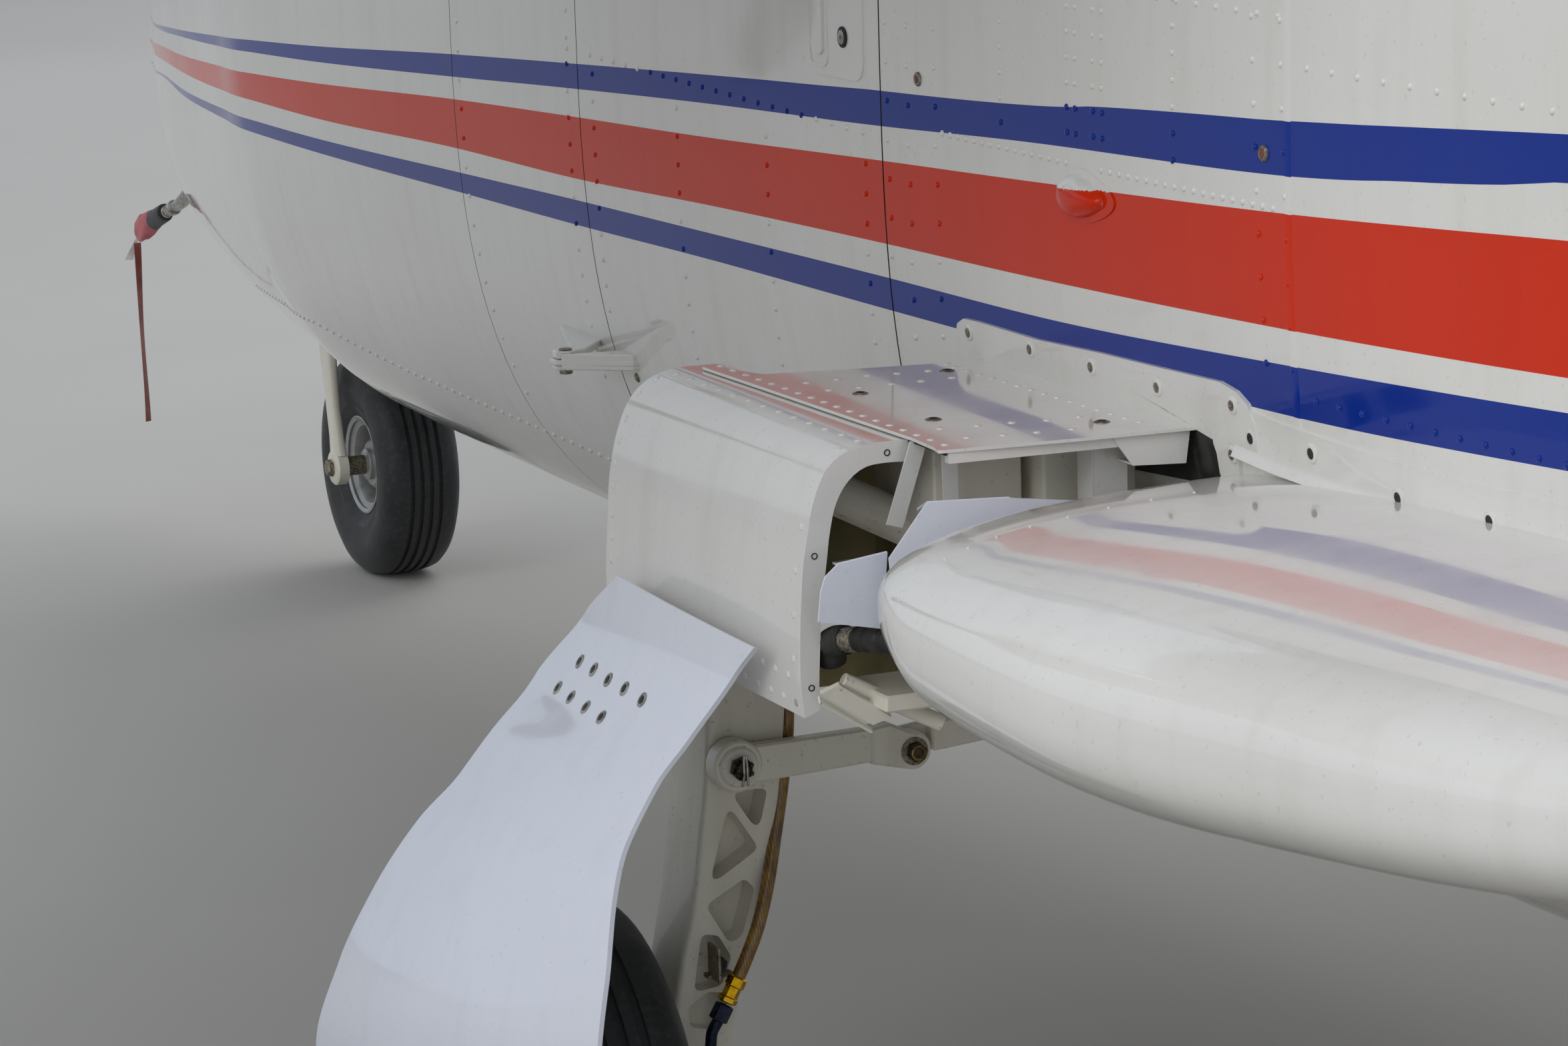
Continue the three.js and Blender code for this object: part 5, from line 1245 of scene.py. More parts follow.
# Ground brake disc steel, ringed by the pads and lightly rusted
disc_steel = simple_material("brake_disc_steel", {"Metallic": 1.0}, 22, ("#77736D", "#5A3F2C", 0.5),
                             (0.3, 0.6))
hose_line = curve_through([(777, -146, 640), (774, -146, 556), (780, -146, 500), (792, -141, 446),
                           (804, -132, 407), (817, -125, 374), (828, -122, 352), (839, -121, 331)], 60)
leg_parts.add(swept(hose_line, 6.2, 16), 5)
leg_parts.add(turned([(7, 0), (8.8, 1.5), (8.8, 9), (7.4, 10), (7.4, 19), (8.8, 20), (8.8, 24), (7, 25)],
                     (839, -121, 331), (0.5, 0, -0.86), 6), 6)
leg_parts.add(turned([(6.5, 0), (8.6, 1), (8.6, 15), (6.5, 16)], (852.5, -121, 308), (0.5, 0, -0.86), 6), 7)
leg_parts.add(swept(curve_through([(860, -121, 294), (866, -121, 284), (868, -121, 270), (874, -121, 250),
                                   (884, -122, 238)], 16), 5.2, 14), 7)
leg_finishes = [gear_enamel, cadmium_steel, neoprene_seal, chromate_primer, disc_steel, hose_sleeve,
                gold_anodised, black_anodised]
make_pair("leg_fittings_{}", leg_parts, leg_finishes, angle=38)


# Side brace
# A two-part folding link of forged aluminium holds the leg sideways. The flat lower bar ends in round
# bosses: a castellated nut with a split pin at the leg, a hexagon bolt at the joint.
BRACE = {"pin": (835, 520), "eye": (668, 513), "root": (462, 536), "y": (-131, -117), "ends": (23, 17)}


def boss_at(x, z, radius, y0, y1):
    """A round boss with its axis fore and aft."""
    return turned([(radius - 2, y0), (radius, y0 + 2), (radius, y1 - 2), (radius - 2, y1)], (x, 0, z),
                  (0, 1, 0), 40)


brace = Form()
(pin_x, pin_z), (eye_x, eye_z), (root_x, root_z) = (BRACE[key] for key in ("pin", "eye", "root"))
near, far = BRACE["y"]
lower_bar = [(836, 536), (702, 537.5), (702, 507), (836, 502)]
brace.add(plate(rounded(lower_bar, 3), 1, near, far))
end_angles = np.linspace(math.radians(95), math.radians(-110), 22)
end_piece = [(708, 505.5), (708, 538), (690, 540)]
eye_radius = BRACE["ends"][1]
end_piece += [(eye_x - eye_radius * math.cos(a), eye_z + eye_radius * math.sin(a)) for a in end_angles]
brace.add(plate(end_piece[::-1], 1, near - 2, far + 3))
brace.add(boss_at(pin_x, pin_z, BRACE["ends"][0], near - 4, far + 3))
brace.add(boss_at(pin_x, pin_z, 18, far + 2, far + 6))
# Castellated nut and split pin on the lower joint, facing aft
nut = turned([(10, 0), (10.6, 1), (10.6, 6), (10, 6.6), (7.8, 6.6), (7.8, 10), (5.6, 10.8), (1, 10.8)],
             (pin_x, far + 6, pin_z), (0, 1, 0), 6)
brace.add(nut, 2)
for angle in full_turn(6, 0.5):
    place = Vector((pin_x + 7.4 * math.cos(angle), far + 12, pin_z + 7.4 * math.sin(angle)))
    brace.add(between(place, place + Vector((0, 5.5, 0)), 2.6, 2.4, 8), 2)
for shift, lean in ((-1.6, -2.5), (1.6, 3)):
    brace.add(swept(curve_through([(pin_x + shift * 0.6, far + 17.5, pin_z + 13),
                                   (pin_x + shift, far + 18, pin_z + 4), (pin_x + shift, far + 18, pin_z - 5),
                                   (pin_x + lean, far + 17, pin_z - 14)], 12), 1.3, 8), 3)
# Washer and hexagon bolt of the joint
brace.add(turned([(12, 0), (12.6, 0.5), (12.6, 1.8), (11, 2.2)], (eye_x, far + 3, eye_z), (0, 1, 0), 28), 1)
brace.add(turned([(8.6, 0), (9.2, 1), (9.2, 6), (8.4, 7)], (eye_x, far + 5, eye_z), (0, 1, 0), 6), 2)
brace.add(turned([(6.6, 6), (6.6, 7.4), (5.6, 7.8), (4.8, 6.8), (1, 6.8)], (eye_x, far + 5, eye_z), (0, 1, 0),
                 24), 4)
# Upper bar: a tongue ahead of the eye, then a bar to its bracket on the side
tongue = [(684, 530), (636, 535), (636, 508), (684, 497)]
brace.add(plate(rounded(tongue, 8), 1, near - 10, near - 3))
upper_bar = [(647, 535), (root_x, root_z + 12), (root_x, root_z - 14), (647, 508)]
brace.add(plate(rounded(upper_bar, 4), 1, near - 10, far - 4))
brace.add(boss_at(root_x + 12, root_z, 20, near - 12, far + 10))
brace.add(rounded_block((root_x - 22, near - 20, root_z - 26), (root_x + 6, far + 18, root_z + 26), 4))
# Yellow-passivated steel of the bolt's end, and the darker steel of the nuts
yellow_passivated = simple_material("yellow_passivated_steel", {"Metallic": 0.9}, 4, ("#8C7436", "#B79B55"),
                                    (0.3, 0.5))
dark_steel = simple_material("oiled_black_steel", {"Metallic": 0.85}, 4, ("#2A241E", "#5A4E40"), (0.25, 0.5))
brace_finishes = [gear_enamel, cadmium_steel, dark_steel, plated_steel, yellow_passivated]
make_pair("brace_link_{}", brace, brace_finishes, "side_brace_{}", 38)


# Leg cover
# A moulded sheet with a cool white finish, twisted and bulged to lie flush when the leg is folded. Nine
# plated screws in two rows hold it to the leg's bracket.
# Front edge x, y, z then rear edge x, y, z, with y from the axle; then how far the middle bulges
COVER = np.array([
    (0, 930, 39, 695, 930, 333, 689, 6), (0.6, 931, -36, 650, 935, 300, 660, 8),
    (1.5, 960, -95, 583, 963, 265, 602, 10), (2.2, 1000, -90, 545, 988, 250, 563, 12),
    (2.9, 1034, -90, 507, 1015, 255, 523, 16), (3.7, 1068, -105, 468, 1039, 280, 485, 22),
    (4.8, 1107, -125, 405, 1056, 298, 420, 26), (6.0, 1140, -132, 341, 1066, 300, 362, 26),
    (7.4, 1160, -148, 265, 1072, 292, 290, 22), (8.8, 1164, -120, 190, 1080, 240, 212, 14)], float)
cover_rows = eased(COVER, 64)
COVER_COUNT = 30


def cover_point(row, share, inward=0.0):
    """A point on the cover from a row of its table, at a share of the way from front to rear."""
    a, b = Vector(row[1:4]), Vector(row[4:7])
    bulge = row[7] * (1 - (2 * share - 1) ** 2)
    dent = 5.0 * math.exp(-((share - 0.62) / 0.16) ** 2) * math.exp(-((row[0] - 4.3) / 1.3) ** 2)
    point = a.lerp(b, share)
    way = Vector((0.93, 0, 0.36))
    return point + Vector((0, AXLE["y"], 0)) + way * (bulge - dent - inward)


shares = [k / COVER_COUNT for k in range(COVER_COUNT + 1)]
cover_form = Form()
for near, far, mark in ((0.0, 0.8, 0), (0.8, 4.2, 1)):
    rings = [[cover_point(row, s, near) for s in shares] + [cover_point(row, s, far) for s in shares[::-1]]
             for row in cover_rows]
    cover_form.add(through(rings), mark)


def cover_spot(level, share):
    """A point on the cover at any level between the rows."""
    return cover_point(np.array([level, *smooth_rows(COVER, [level])[0]]), share)


# Screws: level down the sheet, share across it
COVER_SCREWS = ((1.14, 0.225), (1.16, 0.34), (1.2, 0.46), (1.22, 0.575), (1.26, 0.695), (1.5, 0.215),
                (1.54, 0.33), (1.58, 0.45), (1.62, 0.565))
for level, share in COVER_SCREWS:
    spot = cover_spot(level, share)
    way = (cover_spot(level, share + 0.01) - spot).cross(cover_spot(level + 0.02, share) - spot).normalized()
    add_screw(cover_form, spot, way if way.x > 0 else -way, (2, 3), 4.0, 1.1)
make_pair("leg_cover_sheet_{}", cover_form, [cover_enamel, cover_enamel, plated_steel, dark_steel],
          "leg_cover_{}", 40)


# Wheels
# Ribbed tyres of black rubber, dusty and greyed on the tread, on split cast wheels painted silver. Each
# rim has a ring of tie bolts, a bearing cap and a valve.
tyre_rubber = start_material("aged_tyre_rubber", {"IOR": 1.52, "Sheen Weight": 0.08})
tyre_dust = patches(tyre_rubber, 45, 0.35, 0.7, 5)
tyre_scuff = patches(tyre_rubber, 7, 0.5, 0.7, 4)
rubber_base = mixed(tyre_rubber, tyre_dust, "#131416", "#2C2D2E", 0.8)
finish_material(tyre_rubber, mixed(tyre_rubber, tyre_scuff, rubber_base, "#4A4A48", 0.25), tyre_dust,
                (0.5, 0.8), patches(tyre_rubber, 1.4, 0, 1), 0.12)
cast_wheel_paint = start_material("silver_painted_casting", {"Metallic": 0.75})
casting = patches(cast_wheel_paint, 12, 0.35, 0.65, 4)
brake_soil = mixed(cast_wheel_paint, patches(cast_wheel_paint, 40, 0.45, 0.8, 4), "#A9AAA8", "#6B665E", 0.7)
finish_material(cast_wheel_paint, mixed(cast_wheel_paint, casting, brake_soil, "#C2C3C0", 0.4), casting,
                (0.32, 0.5), patches(cast_wheel_paint, 1.2, 0, 1), 0.08)


def tyre_profile(radius, half, rim):
    """Radius and distance across the tyre: bead, side with a rib, shoulder, and a grooved tread."""
    deep = radius - rim
    side = [(rim, 0.6), (rim + 4, 0.68), (rim + 0.22 * deep, 0.83), (rim + 0.26 * deep, 0.865),
            (rim + 0.3 * deep, 0.86), (rim + 0.5 * deep, 0.985), (rim + 0.62 * deep, 1.0),
            (rim + 0.75 * deep, 0.97), (rim + 0.87 * deep, 0.88), (rim + 0.945 * deep, 0.75),
            (radius - 2.4, 0.6), (radius - 1.3, 0.5)]
    out = [(r, -w * half) for r, w in side]
    for centre in (-0.36, -0.12, 0.12, 0.36):
        crown = radius - 0.9 * abs(centre) ** 1.5 * 3
        for shift, drop in ((-0.055, 0), (-0.045, 4.2), (0.045, 4.2), (0.055, 0)):
            out.append((crown - drop, (centre + shift) * half))
    return out + [(r, w * half) for r, w in side[::-1]]


def rim_profile(half, rim):
    """Radius and distance from the middle of one half of the wheel."""
    edge = rim - 0.3
    return [(17, half * 0.5), (33, half * 0.5), (37, half * 0.44), (39, half * 0.2), (edge - 24, half * 0.16),
            (edge - 15, half * 0.24), (edge - 11, half * 0.5), (edge - 8, half * 0.58),
            (edge - 4, half * 0.6), (edge + 2, half * 0.66), (edge + 6, half * 0.69),
            (edge + 7.5, half * 0.73), (edge + 5, half * 0.745), (edge, half * 0.7)]


def closed_turn(profile, centre, steps):
    """A ring-shaped solid of revolution about the x axis."""
    rings = [[(centre[0] + along, centre[1] + radius * math.cos(angle), centre[2] + radius * math.sin(angle))
              for radius, along in profile] for angle in full_turn(steps)]
    points, faces = through([*rings, rings[0]], ends=False)
    count = len(profile)
    last = steps * count
    faces = [tuple(i - last if i >= last else i for i in face) for face in faces]
    return points[:last], faces


def wheel_forms(centre, radius, half, rim, bolts, reach):
    """The tyre and the casting of a wheel; the tie bolts stand on a circle of radius reach."""
    tyre = Form().add(closed_turn(tyre_profile(radius, half, rim), centre, 72))
    profile = rim_profile(half, rim)
    hub = Form().add(closed_turn([*profile, *[(r, -w) for r, w in profile[::-1]]], centre, 64))
    for way in (1, -1):
        start = (centre[0] + way * half * 0.45, centre[1], centre[2])
        hub.add(turned([(15, 0), (24, 2), (24, half * 0.16), (21, half * 0.2), (16, half * 0.22)], start,
                       (way, 0, 0), 28))
        for angle in full_turn(bolts, 0.5):
            place = (centre[0] + way * half * 0.17, centre[1] + reach * math.cos(angle),
                     centre[2] + reach * math.sin(angle))
            hub.add(turned([(6.4, 0), (6.4, 2), (4.8, 2.2), (4.8, 7), (3.6, 8.2), (0.6, 8.2)], place,
                           (way, 0, 0), 6), 1)
    valve = (centre[0] + half * 0.2, centre[1] + (rim - 20) * 0.8, centre[2] + (rim - 20) * 0.6)
    hub.add(turned([(3.4, 0), (3.4, 14), (2.4, 15), (2.4, 21), (0.4, 21.6)], valve, (1, 0, 0), 12), 1)
    return tyre, hub


MAIN_WHEEL = {"centre": (1000, -180, 205), "radius": 205, "half": 80, "rim": 82, "bolts": 6, "reach": 52}
NOSE_WHEEL = {"centre": (0, -3447, 170), "radius": 170, "half": 62, "rim": 68, "bolts": 5, "reach": 46}
for spec, kind, owners in ((MAIN_WHEEL, "main", (("_left", 1), ("_right", -1))),
                           (NOSE_WHEEL, "nose", (("", 1),))):
    tyre, hub = wheel_forms(**spec)
    for side, sign in owners:
        body = f"{kind}_wheel{side}"
        make_piece(f"{kind}{side}_tyre_ribbed", tyre, [tyre_rubber], body, [f"{kind}_tyre{side}"],
                   30, sign)
        make_piece(f"{kind}{side}_wheel_casting", hub, [cast_wheel_paint, cadmium_steel], body,
                   [f"{kind}_rim{side}"], 34, sign)


# Nose gear
# A steel oleo strut stands in its bay; below it a cast fork with two tapered arms, painted white, holds the
# axle. Scissor links join the fork to a collar that turns on the strut.
STRUT = {"y": -3480, "bottom": 468}
FORK_ARM = 80.5
strut = Form()
strut.add(turned([(32, 0), (36, 2), (36, 26), (33, 30), (33, 180), (35, 184), (35, 200), (33, 204),
                  (33, 330)], (0, STRUT["y"], STRUT["bottom"]), (0, 0, 1), 40))
strut.add(turned([(30, 0), (36.5, 1), (36.5, 9), (30, 10)], (0, STRUT["y"], STRUT["bottom"] + 2), (0, 0, 1),
                 40), 1)
make_piece("nose_strut_oleo", strut, [gear_enamel, cadmium_steel], "airframe", ["nose_strut"])


def closed_collar(outer, inner, low, high):
    """A collar round the strut."""
    profile = [(inner, low), (outer - 2, low), (outer, low + 2), (outer, high - 2), (outer - 2, high),
               (inner, high)]
    points, faces = closed_turn(profile, (0, 0, 0), 40)
    return [(y, STRUT["y"] - z, x) for x, y, z in points], faces


fork = Form()
fork.add(turned([(22, 0), (24, 2), (24, 60)], (0, STRUT["y"], 408), (0, 0, 1), 32), 2)
crown = rounded(rectangle(-89, -3512, 89, -3448), 20)
fork.add(through([[(x * s, STRUT["y"] + (y - STRUT["y"]) * s, z) for x, y in crown]
                  for s, z in ((0.9, 370), (1.0, 376), (1.0, 404), (0.86, 416), (0.5, 421))]))
for way in (-1, 1):
    rings = []
    for z, y, wide, deep in ((404, -3480, 6, 30), (380, -3479, 7.5, 27), (330, -3474, 7.5, 21),
                             (260, -3463, 7, 18), (215, -3453, 7, 19), (190, -3448, 7.5, 22)):
        x = way * FORK_ARM
        rings.append([(*p, z) for p in rounded(rectangle(x - wide, y - deep, x + wide, y + deep), 6, 3)])
    fork.add(through(rings))
    fork.add(turned([(24, -9), (27, -7), (27, 8), (24, 11), (16, 12)], (way * FORK_ARM, -3447, 170),
                    (way, 0, 0), 36))
    fork.add(turned([(13, 0), (13, 9), (11, 11), (5, 11)], (way * (FORK_ARM + 10), -3447, 170), (way, 0, 0),
                    6), 1)
    fork.add(rounded_block((way * 16 - 5, STRUT["y"] + 26, 398), (way * 16 + 5, STRUT["y"] + 56, 418), 3))
    fork.add(rounded_block((way * 22 - 5, STRUT["y"] + 38, 482), (way * 22 + 5, STRUT["y"] + 66, 506), 3))
    for spread, back, level in ((16, 54, 408), (22, 64, 494)):
        fork.add(between((way * spread, STRUT["y"] + back, level), (way * 8, STRUT["y"] + 96, 448), 7, 6, 14))
fork.add(between((-80, -3447, 170), (80, -3447, 170), 15), 1)
for half, y, z in ((24, 48, 408), (30, 60, 494), (17, 96, 448)):
    fork.add(between((-half, STRUT["y"] + y, z), (half, STRUT["y"] + y, z), 4.5), 1)
fork.add(closed_collar(42, 37.2, 482, 506))
make_piece("nose_fork_casting", fork, [gear_enamel, cadmium_steel, plated_steel], "nose_fork", ["nose_fork"],
           angle=38)


# Wing
# The high wing is sheet aluminium riveted to ribs and two spars, in a centre piece and two outer pieces
# that end in moulded tips. Bays at the back take the flaps and the ailerons.
# x, leading edge y, chord, level, thickness ratio
WING = np.array([(0, -830, 1400, 1868, 0.15), (2200, -830, 1400, 1880, 0.15), (3300, -830, 1400, 1886, 0.15),
                 (5440, -655, 905, 1918, 0.12), (5610, -590, 790, 1930, 0.1), (5700, -440, 520, 1944, 0.08)],
                float)
FLAP = {"inner": 700, "outer": 3285, "nose": 0.74}
AILERON = {"inner": 3315, "outer": 5420, "nose": 0.78}
BAY = 8


def wing_row(x):
    """Leading edge, chord, level and thickness ratio at x."""
    return [np.interp(x, WING[:, 0], WING[:, k]) for k in range(1, 5)]


def camber(t):
    """The height of the section's middle line, as a share of the chord."""
    return np.where(t < 0.4, 0.02 * (0.8 * t - t * t) / 0.16, 0.02 * (0.2 + 0.8 * t - t * t) / 0.36)


def thick_at(t, ratio):
    """Half the section's thickness, as a share of the chord."""
    return 5 * ratio * (0.2969 * np.sqrt(t) - 0.126 * t - 0.3516 * t ** 2 + 0.2843 * t ** 3 - 0.1015 * t ** 4)


def wing_point(x, t, way=1, out=0.0):
    """A point on the top (way 1) or bottom (way -1) of the wing."""
    le, chord, level, ratio = wing_row(x)
    middle, half = level + float(camber(t)) * chord, float(thick_at(t, ratio)) * chord
    return x, le + t * chord, middle + way * (half + out)


def wing_ring(x, inset=0.0, first=0.0):
    """A section of the wing, or of what hangs behind the nose line at a share of the chord."""
    le, chord, level, ratio = wing_row(x)
    if first:
        t = np.linspace(1, first, 12)
    else:
        t = (1 - np.cos(np.linspace(math.pi, 0, 26))) / 2
    top = [wing_point(x, s, 1, -inset) for s in t]
    low = [wing_point(x, s, -1, -inset) for s in t[::-1]]
    if first:
        radius, y = float(thick_at(first, ratio)) * chord, le + first * chord
        z = level + float(camber(first)) * chord
        nose = [(x, y - math.sin(a) * radius, z + math.cos(a) * radius)
                for a in np.linspace(0, math.pi, 11)[1:-1]]
        return top + nose + low
    return top + low[1:]


def bay_ring(x, first):
    """The hollow for a flap or aileron at a section: its round nose with room, open behind."""
    le, chord, level, ratio = wing_row(x)
    radius, y = float(thick_at(first, ratio)) * chord + BAY, le + first * chord
    z = level + float(camber(first)) * chord
    nose = [(x, y - math.sin(a) * radius, z + math.cos(a) * radius) for a in np.linspace(0, math.pi, 15)]
    back = le + chord + 40
    return nose + [(x, back, z - radius - 20), (x, back, z + radius + 20)]


def bay_cutter(spec, sign=1):
    """The hollow for a flap or aileron, a little wider than it."""
    rings = [bay_ring(x, spec["nose"]) for x in (spec["inner"] - BAY, spec["outer"] + BAY)]
    return blank(through(rings), 1, sign)


wing_finishes = [white_enamel, chromate_primer]
centre = blank(through([[(x, y, z) for _, y, z in wing_ring(abs(x))]
                        for x in (-2199.5, -1100, 0, 1100, 2199.5)]))
for sign in (1, -1):
    carve(centre, bay_cutter(FLAP, sign))
settle(centre, "wing_centre_skin", wing_finishes, "airframe", ["wing_centre"], 28, skin=False)
tip_stations = [2200.5, 3300, 4400, 5440, *np.linspace(5480, 5600, 4), 5610, *np.linspace(5630, 5700, 5)]
for side, sign in SIDES:
    outer = blank(through([wing_ring(x) for x in tip_stations]))
    for spec in (FLAP, AILERON):
        carve(outer, bay_cutter(spec))
    if sign < 0:
        turn_over(outer)
    settle(outer, f"wing_{side}_skin", wing_finishes, "airframe", [f"wing_{side}"], 28,
           skin=False)
    for kind, spec, beads in (("flap", FLAP, 14), ("aileron", AILERON, 11)):
        stations = np.linspace(spec["inner"], spec["outer"], 7)
        form = Form().add(through([wing_ring(x, first=spec["nose"]) for x in stations]))
        for x, way in ((spec["inner"], -1), (spec["outer"], 1)):
            le, chord, level, _ = wing_row(x)
            hinge = (x, le + spec["nose"] * chord, level + float(camber(spec["nose"])) * chord)
            form.add(turned([(9, -20), (9, 0), (7, 3), (7, 6)], hinge, (way, 0, 0), 16), 1)
        # Pressed beads stiffen the sheet, and a hinge bracket shows under each end and the middle
        for x in np.linspace(spec["inner"] + 90, spec["outer"] - 90, beads):
            for way in (1, -1):
                line = [Vector(wing_point(x, t, way, -0.6))
                        for t in np.linspace(spec["nose"] + 0.035, 0.965, 9)]
                form.add(swept(line, [1.2, 2.6, 3, 3, 3, 3, 3, 2.4, 1.0], 8))
        make_piece(f"{kind}_{side}_skin", form, [white_enamel, cadmium_steel], f"{kind}_{side}",
                   [f"{kind}_{side}"], sign=sign, angle=30)

# Rivets along ribs and spars, top and bottom; caps, panels and lights
WING_PITCH = 42
wing_places, wing_ways = [], []


def wing_row_of_rivets(first, last, way):
    """Rivets on a straight line between two places given as x and share of the chord."""
    a, b = Vector(wing_point(*first, way)), Vector(wing_point(*last, way))
    count = max(2, int((b - a).length / WING_PITCH))
    for k in range(count + 1):
        x, t = first[0] + (last[0] - first[0]) * k / count, first[1] + (last[1] - first[1]) * k / count
        here, along = Vector(wing_point(x, t, way)), Vector(wing_point(x, t + 0.004, way))
        up = Vector((1, 0, 0)).cross(along - here).normalized()
        wing_places.append(here)
        wing_ways.append(up if up.z * way > 0 else -up)


for way in (1, -1):
    for t in (0.16, 0.3, 0.66):
        wing_row_of_rivets((330, t), (5420, t), way)
    for x in (560, 900, 1240, 1980, 2180, 2220, 2560, 2900, 3240, 3600, 3960, 4320, 4680, 5040, 5420):
        wing_row_of_rivets((x, 0.04), (x, 0.7 if x < 3300 else 0.75), way)
rivets = heads(wing_places, wing_ways, 3.2, 1.0, 6)
for side, sign in SIDES:
    details = Form().add(rivets)
    for x, t, way, radius in ((2700, 0.45, 1, 44), (3800, 0.45, 1, 44), (2600, 0.45, -1, 60),
                              (3500, 0.42, -1, 60), (4400, 0.42, -1, 60), (5100, 0.5, -1, 50)):
        spot = Vector(wing_point(x, t, way))
        up = Vector((0, 0.0, way))
        details.add(turned([(radius, -3), (radius, 1.2), (radius - 2, 2)], spot, up, 40))
        if way > 0:
            details.add(turned([(30, 2), (30, 4), (28, 5)], spot, up, 36), 1)
            details.add(turned([(7, 4.6), (7, 7), (5.6, 8)], spot, up, 20), 2)
        for angle in full_turn(8):
            place = spot + Vector((math.cos(angle), math.sin(angle), 0)) * (radius - 8)
            add_screw(details, place, up, (None, 1), 2.6, 3 if way < 0 else 2.6)
    # Tie-down ring and the drain of each tank, under the wing
    ring = Vector(wing_point(3260, 0.3, -1))
    eye = [ring + Vector((0, 17 * math.cos(a), -20 + 17 * math.sin(a)))
           for a in np.linspace(0, 2 * math.pi, 25)]
    details.add(swept(eye, 3.2, 10), 1)
    details.add(turned([(9, -3), (9, 3), (5, 5)], ring, (0, 0, -1), 20), 1)
    details.add(turned([(9, -3), (9, 2), (4, 3), (4, 7)], wing_point(1100, 0.3, -1), (0, 0, -1), 20), 1)
    # Hinge arms of the flap and aileron, fixed to the wing and reaching under the surface's nose
    for spec in (FLAP, AILERON):
        for x in np.linspace(spec["inner"] + 160, spec["outer"] - 160, 3):
            low = Vector(wing_point(x, spec["nose"] - 0.06, -1))
            back = Vector(wing_point(x, spec["nose"] - 0.012, -1))
            arm = [(low.y - 60, low.z + 8), (back.y, back.z + 8), (back.y + 4, back.z - 10),
                   (back.y - 12, back.z - 16), (low.y - 30, low.z - 6)]
            details.add(plate(rounded(arm, 5), 0, x - 4, x + 4, 1.2))
    make_piece(f"wing_{side}_details", details, [white_enamel, cadmium_steel, red_enamel], "airframe",
               sign=sign, angle=40)
# Position lights: red glass to port, green to starboard, in a clear-coated white fairing on each tip
for side, sign, colour in (("left", 1, "#C41212"), ("right", -1, "#0E8A3E")):
    glass = {"IOR": 1.5, "Transmission Weight": 0.5, "Roughness": 0.08}
    lens = start_material(f"position_light_{side}", glass)
    finish_material(lens, mixed(lens, patches(lens, 8), colour, "#501010" if sign > 0 else "#064020"),
                    height=patches(lens, 2.5, 0, 1, kind="TexWave"), depth=0.3)
    lamp = Form()
    centre = Vector(wing_point(5655, 0.16, 0))
    lamp.add(turned([(17, -4), (17, 12), (14, 14)], centre - Vector((0, 6, 0)), (0, -1, 0), 28), 1)
    lamp.add(turned([(13.5, 0), (13.5, 12), (11, 19), (6, 23), (0.5, 24)], centre - Vector((0, 20, 0)),
                    (0, -1, 0), 28))
    make_piece(f"tip_light_{side}", lamp, [lens, white_enamel], "airframe", sign=sign)


# Tail
# Fin, rudder and all-moving stabilator are riveted sheet on ribs, with moulded tips. The fin is faired to
# the body by a thin dorsal strake.
# z, leading edge, trailing edge, thickness ratio
FIN = np.array([(1180, 2890, 4270, 0.1), (1385, 2985, 4285, 0.1), (2200, 3400, 4325, 0.1),
                (2760, 3690, 4350, 0.09), (2850, 3765, 4338, 0.07)], float)
RUDDER = {"bottom": 1400, "nose": 0.64, "gap": 8, "foot": 1394}


def fin_point(z, t, way=0, out=0.0):
    """A point on the port (way 1) or starboard (way -1) face of the fin, or between them (0)."""
    le, te, ratio = (np.interp(z, FIN[:, 0], FIN[:, k]) for k in (1, 2, 3))
    return way * (float(thick_at(t, ratio)) * (te - le) + out), le + t * (te - le), z


def fin_ring(z, first=0.0, grow=0.0):
    """A section of the fin, of the rudder behind a share of the chord, or of the rudder's room."""
    if not first:
        t = (1 - np.cos(np.linspace(math.pi, 0, 22))) / 2
        return [fin_point(z, s, 1) for s in t] + [fin_point(z, s, -1) for s in t[::-1][1:]]
    radius, (_, y, _) = fin_point(z, first, 1)[0] + grow, fin_point(z, first)
    nose = [(math.cos(a) * radius, y - math.sin(a) * radius, z) for a in np.linspace(0, math.pi, 13)]
    if grow:
        return nose + [(-radius - 20, 4420, z), (radius + 20, 4420, z)]
    t = np.linspace(1, first, 10)[:-1]
    return [fin_point(z, s, 1) for s in t] + nose + [fin_point(z, s, -1) for s in t[::-1]]


fin = blank(through([fin_ring(z) for z in (1250, 1385, 1800, 2200, 2760, 2800, 2850)]))
carve(fin, blank(through([fin_ring(z, RUDDER["nose"], RUDDER["gap"]) for z in (RUDDER["foot"], 2900)]), 1))
carve(fin, blank(slab(rectangle(-200, 3700, 200, 4420), 2, 1100, RUDDER["foot"]), 1))
strake = rounded([(1950, 1500), (3350, 1380), (3350, 1830)], 14)
carve(fin, blank(plate(strake, 0, -22, 22, 9)), "UNION")
settle(fin, "fin_skin", wing_finishes, "airframe", ["fin"], 28, skin=False)
rudder_levels = (RUDDER["bottom"], 1800, 2200, 2760, 2800, 2850)
rudder = Form().add(through([fin_ring(z, RUDDER["nose"]) for z in rudder_levels]))
rudder.add(between(fin_point(1405, RUDDER["nose"]), fin_point(1341, RUDDER["nose"]), 9, 2.2), 1)
for z in np.arange(1500, 2740, 118):
    for way in (1, -1):
        line = [Vector(fin_point(z, t, way, -0.5)) for t in np.linspace(0.68, 0.96, 8)]
        rudder.add(swept(line, [1, 2.4, 2.8, 2.8, 2.8, 2.8, 2.4, 1], 8))
# Trim tab at the foot of the rudder: its rod and horn
rudder.add(between(fin_point(1560, 0.74, 1, 9), fin_point(1560, 0.9, 1, 9), 3), 1)
for t in (0.74, 0.9):
    rudder.add(turned([(8, -3), (8, 4), (5, 12), (3, 13)], fin_point(1560, t, 1), (1, 0, 0), 16), 1)
make_piece("rudder_skin", rudder, [white_enamel, cadmium_steel], "rudder", ["rudder"],
           angle=30)

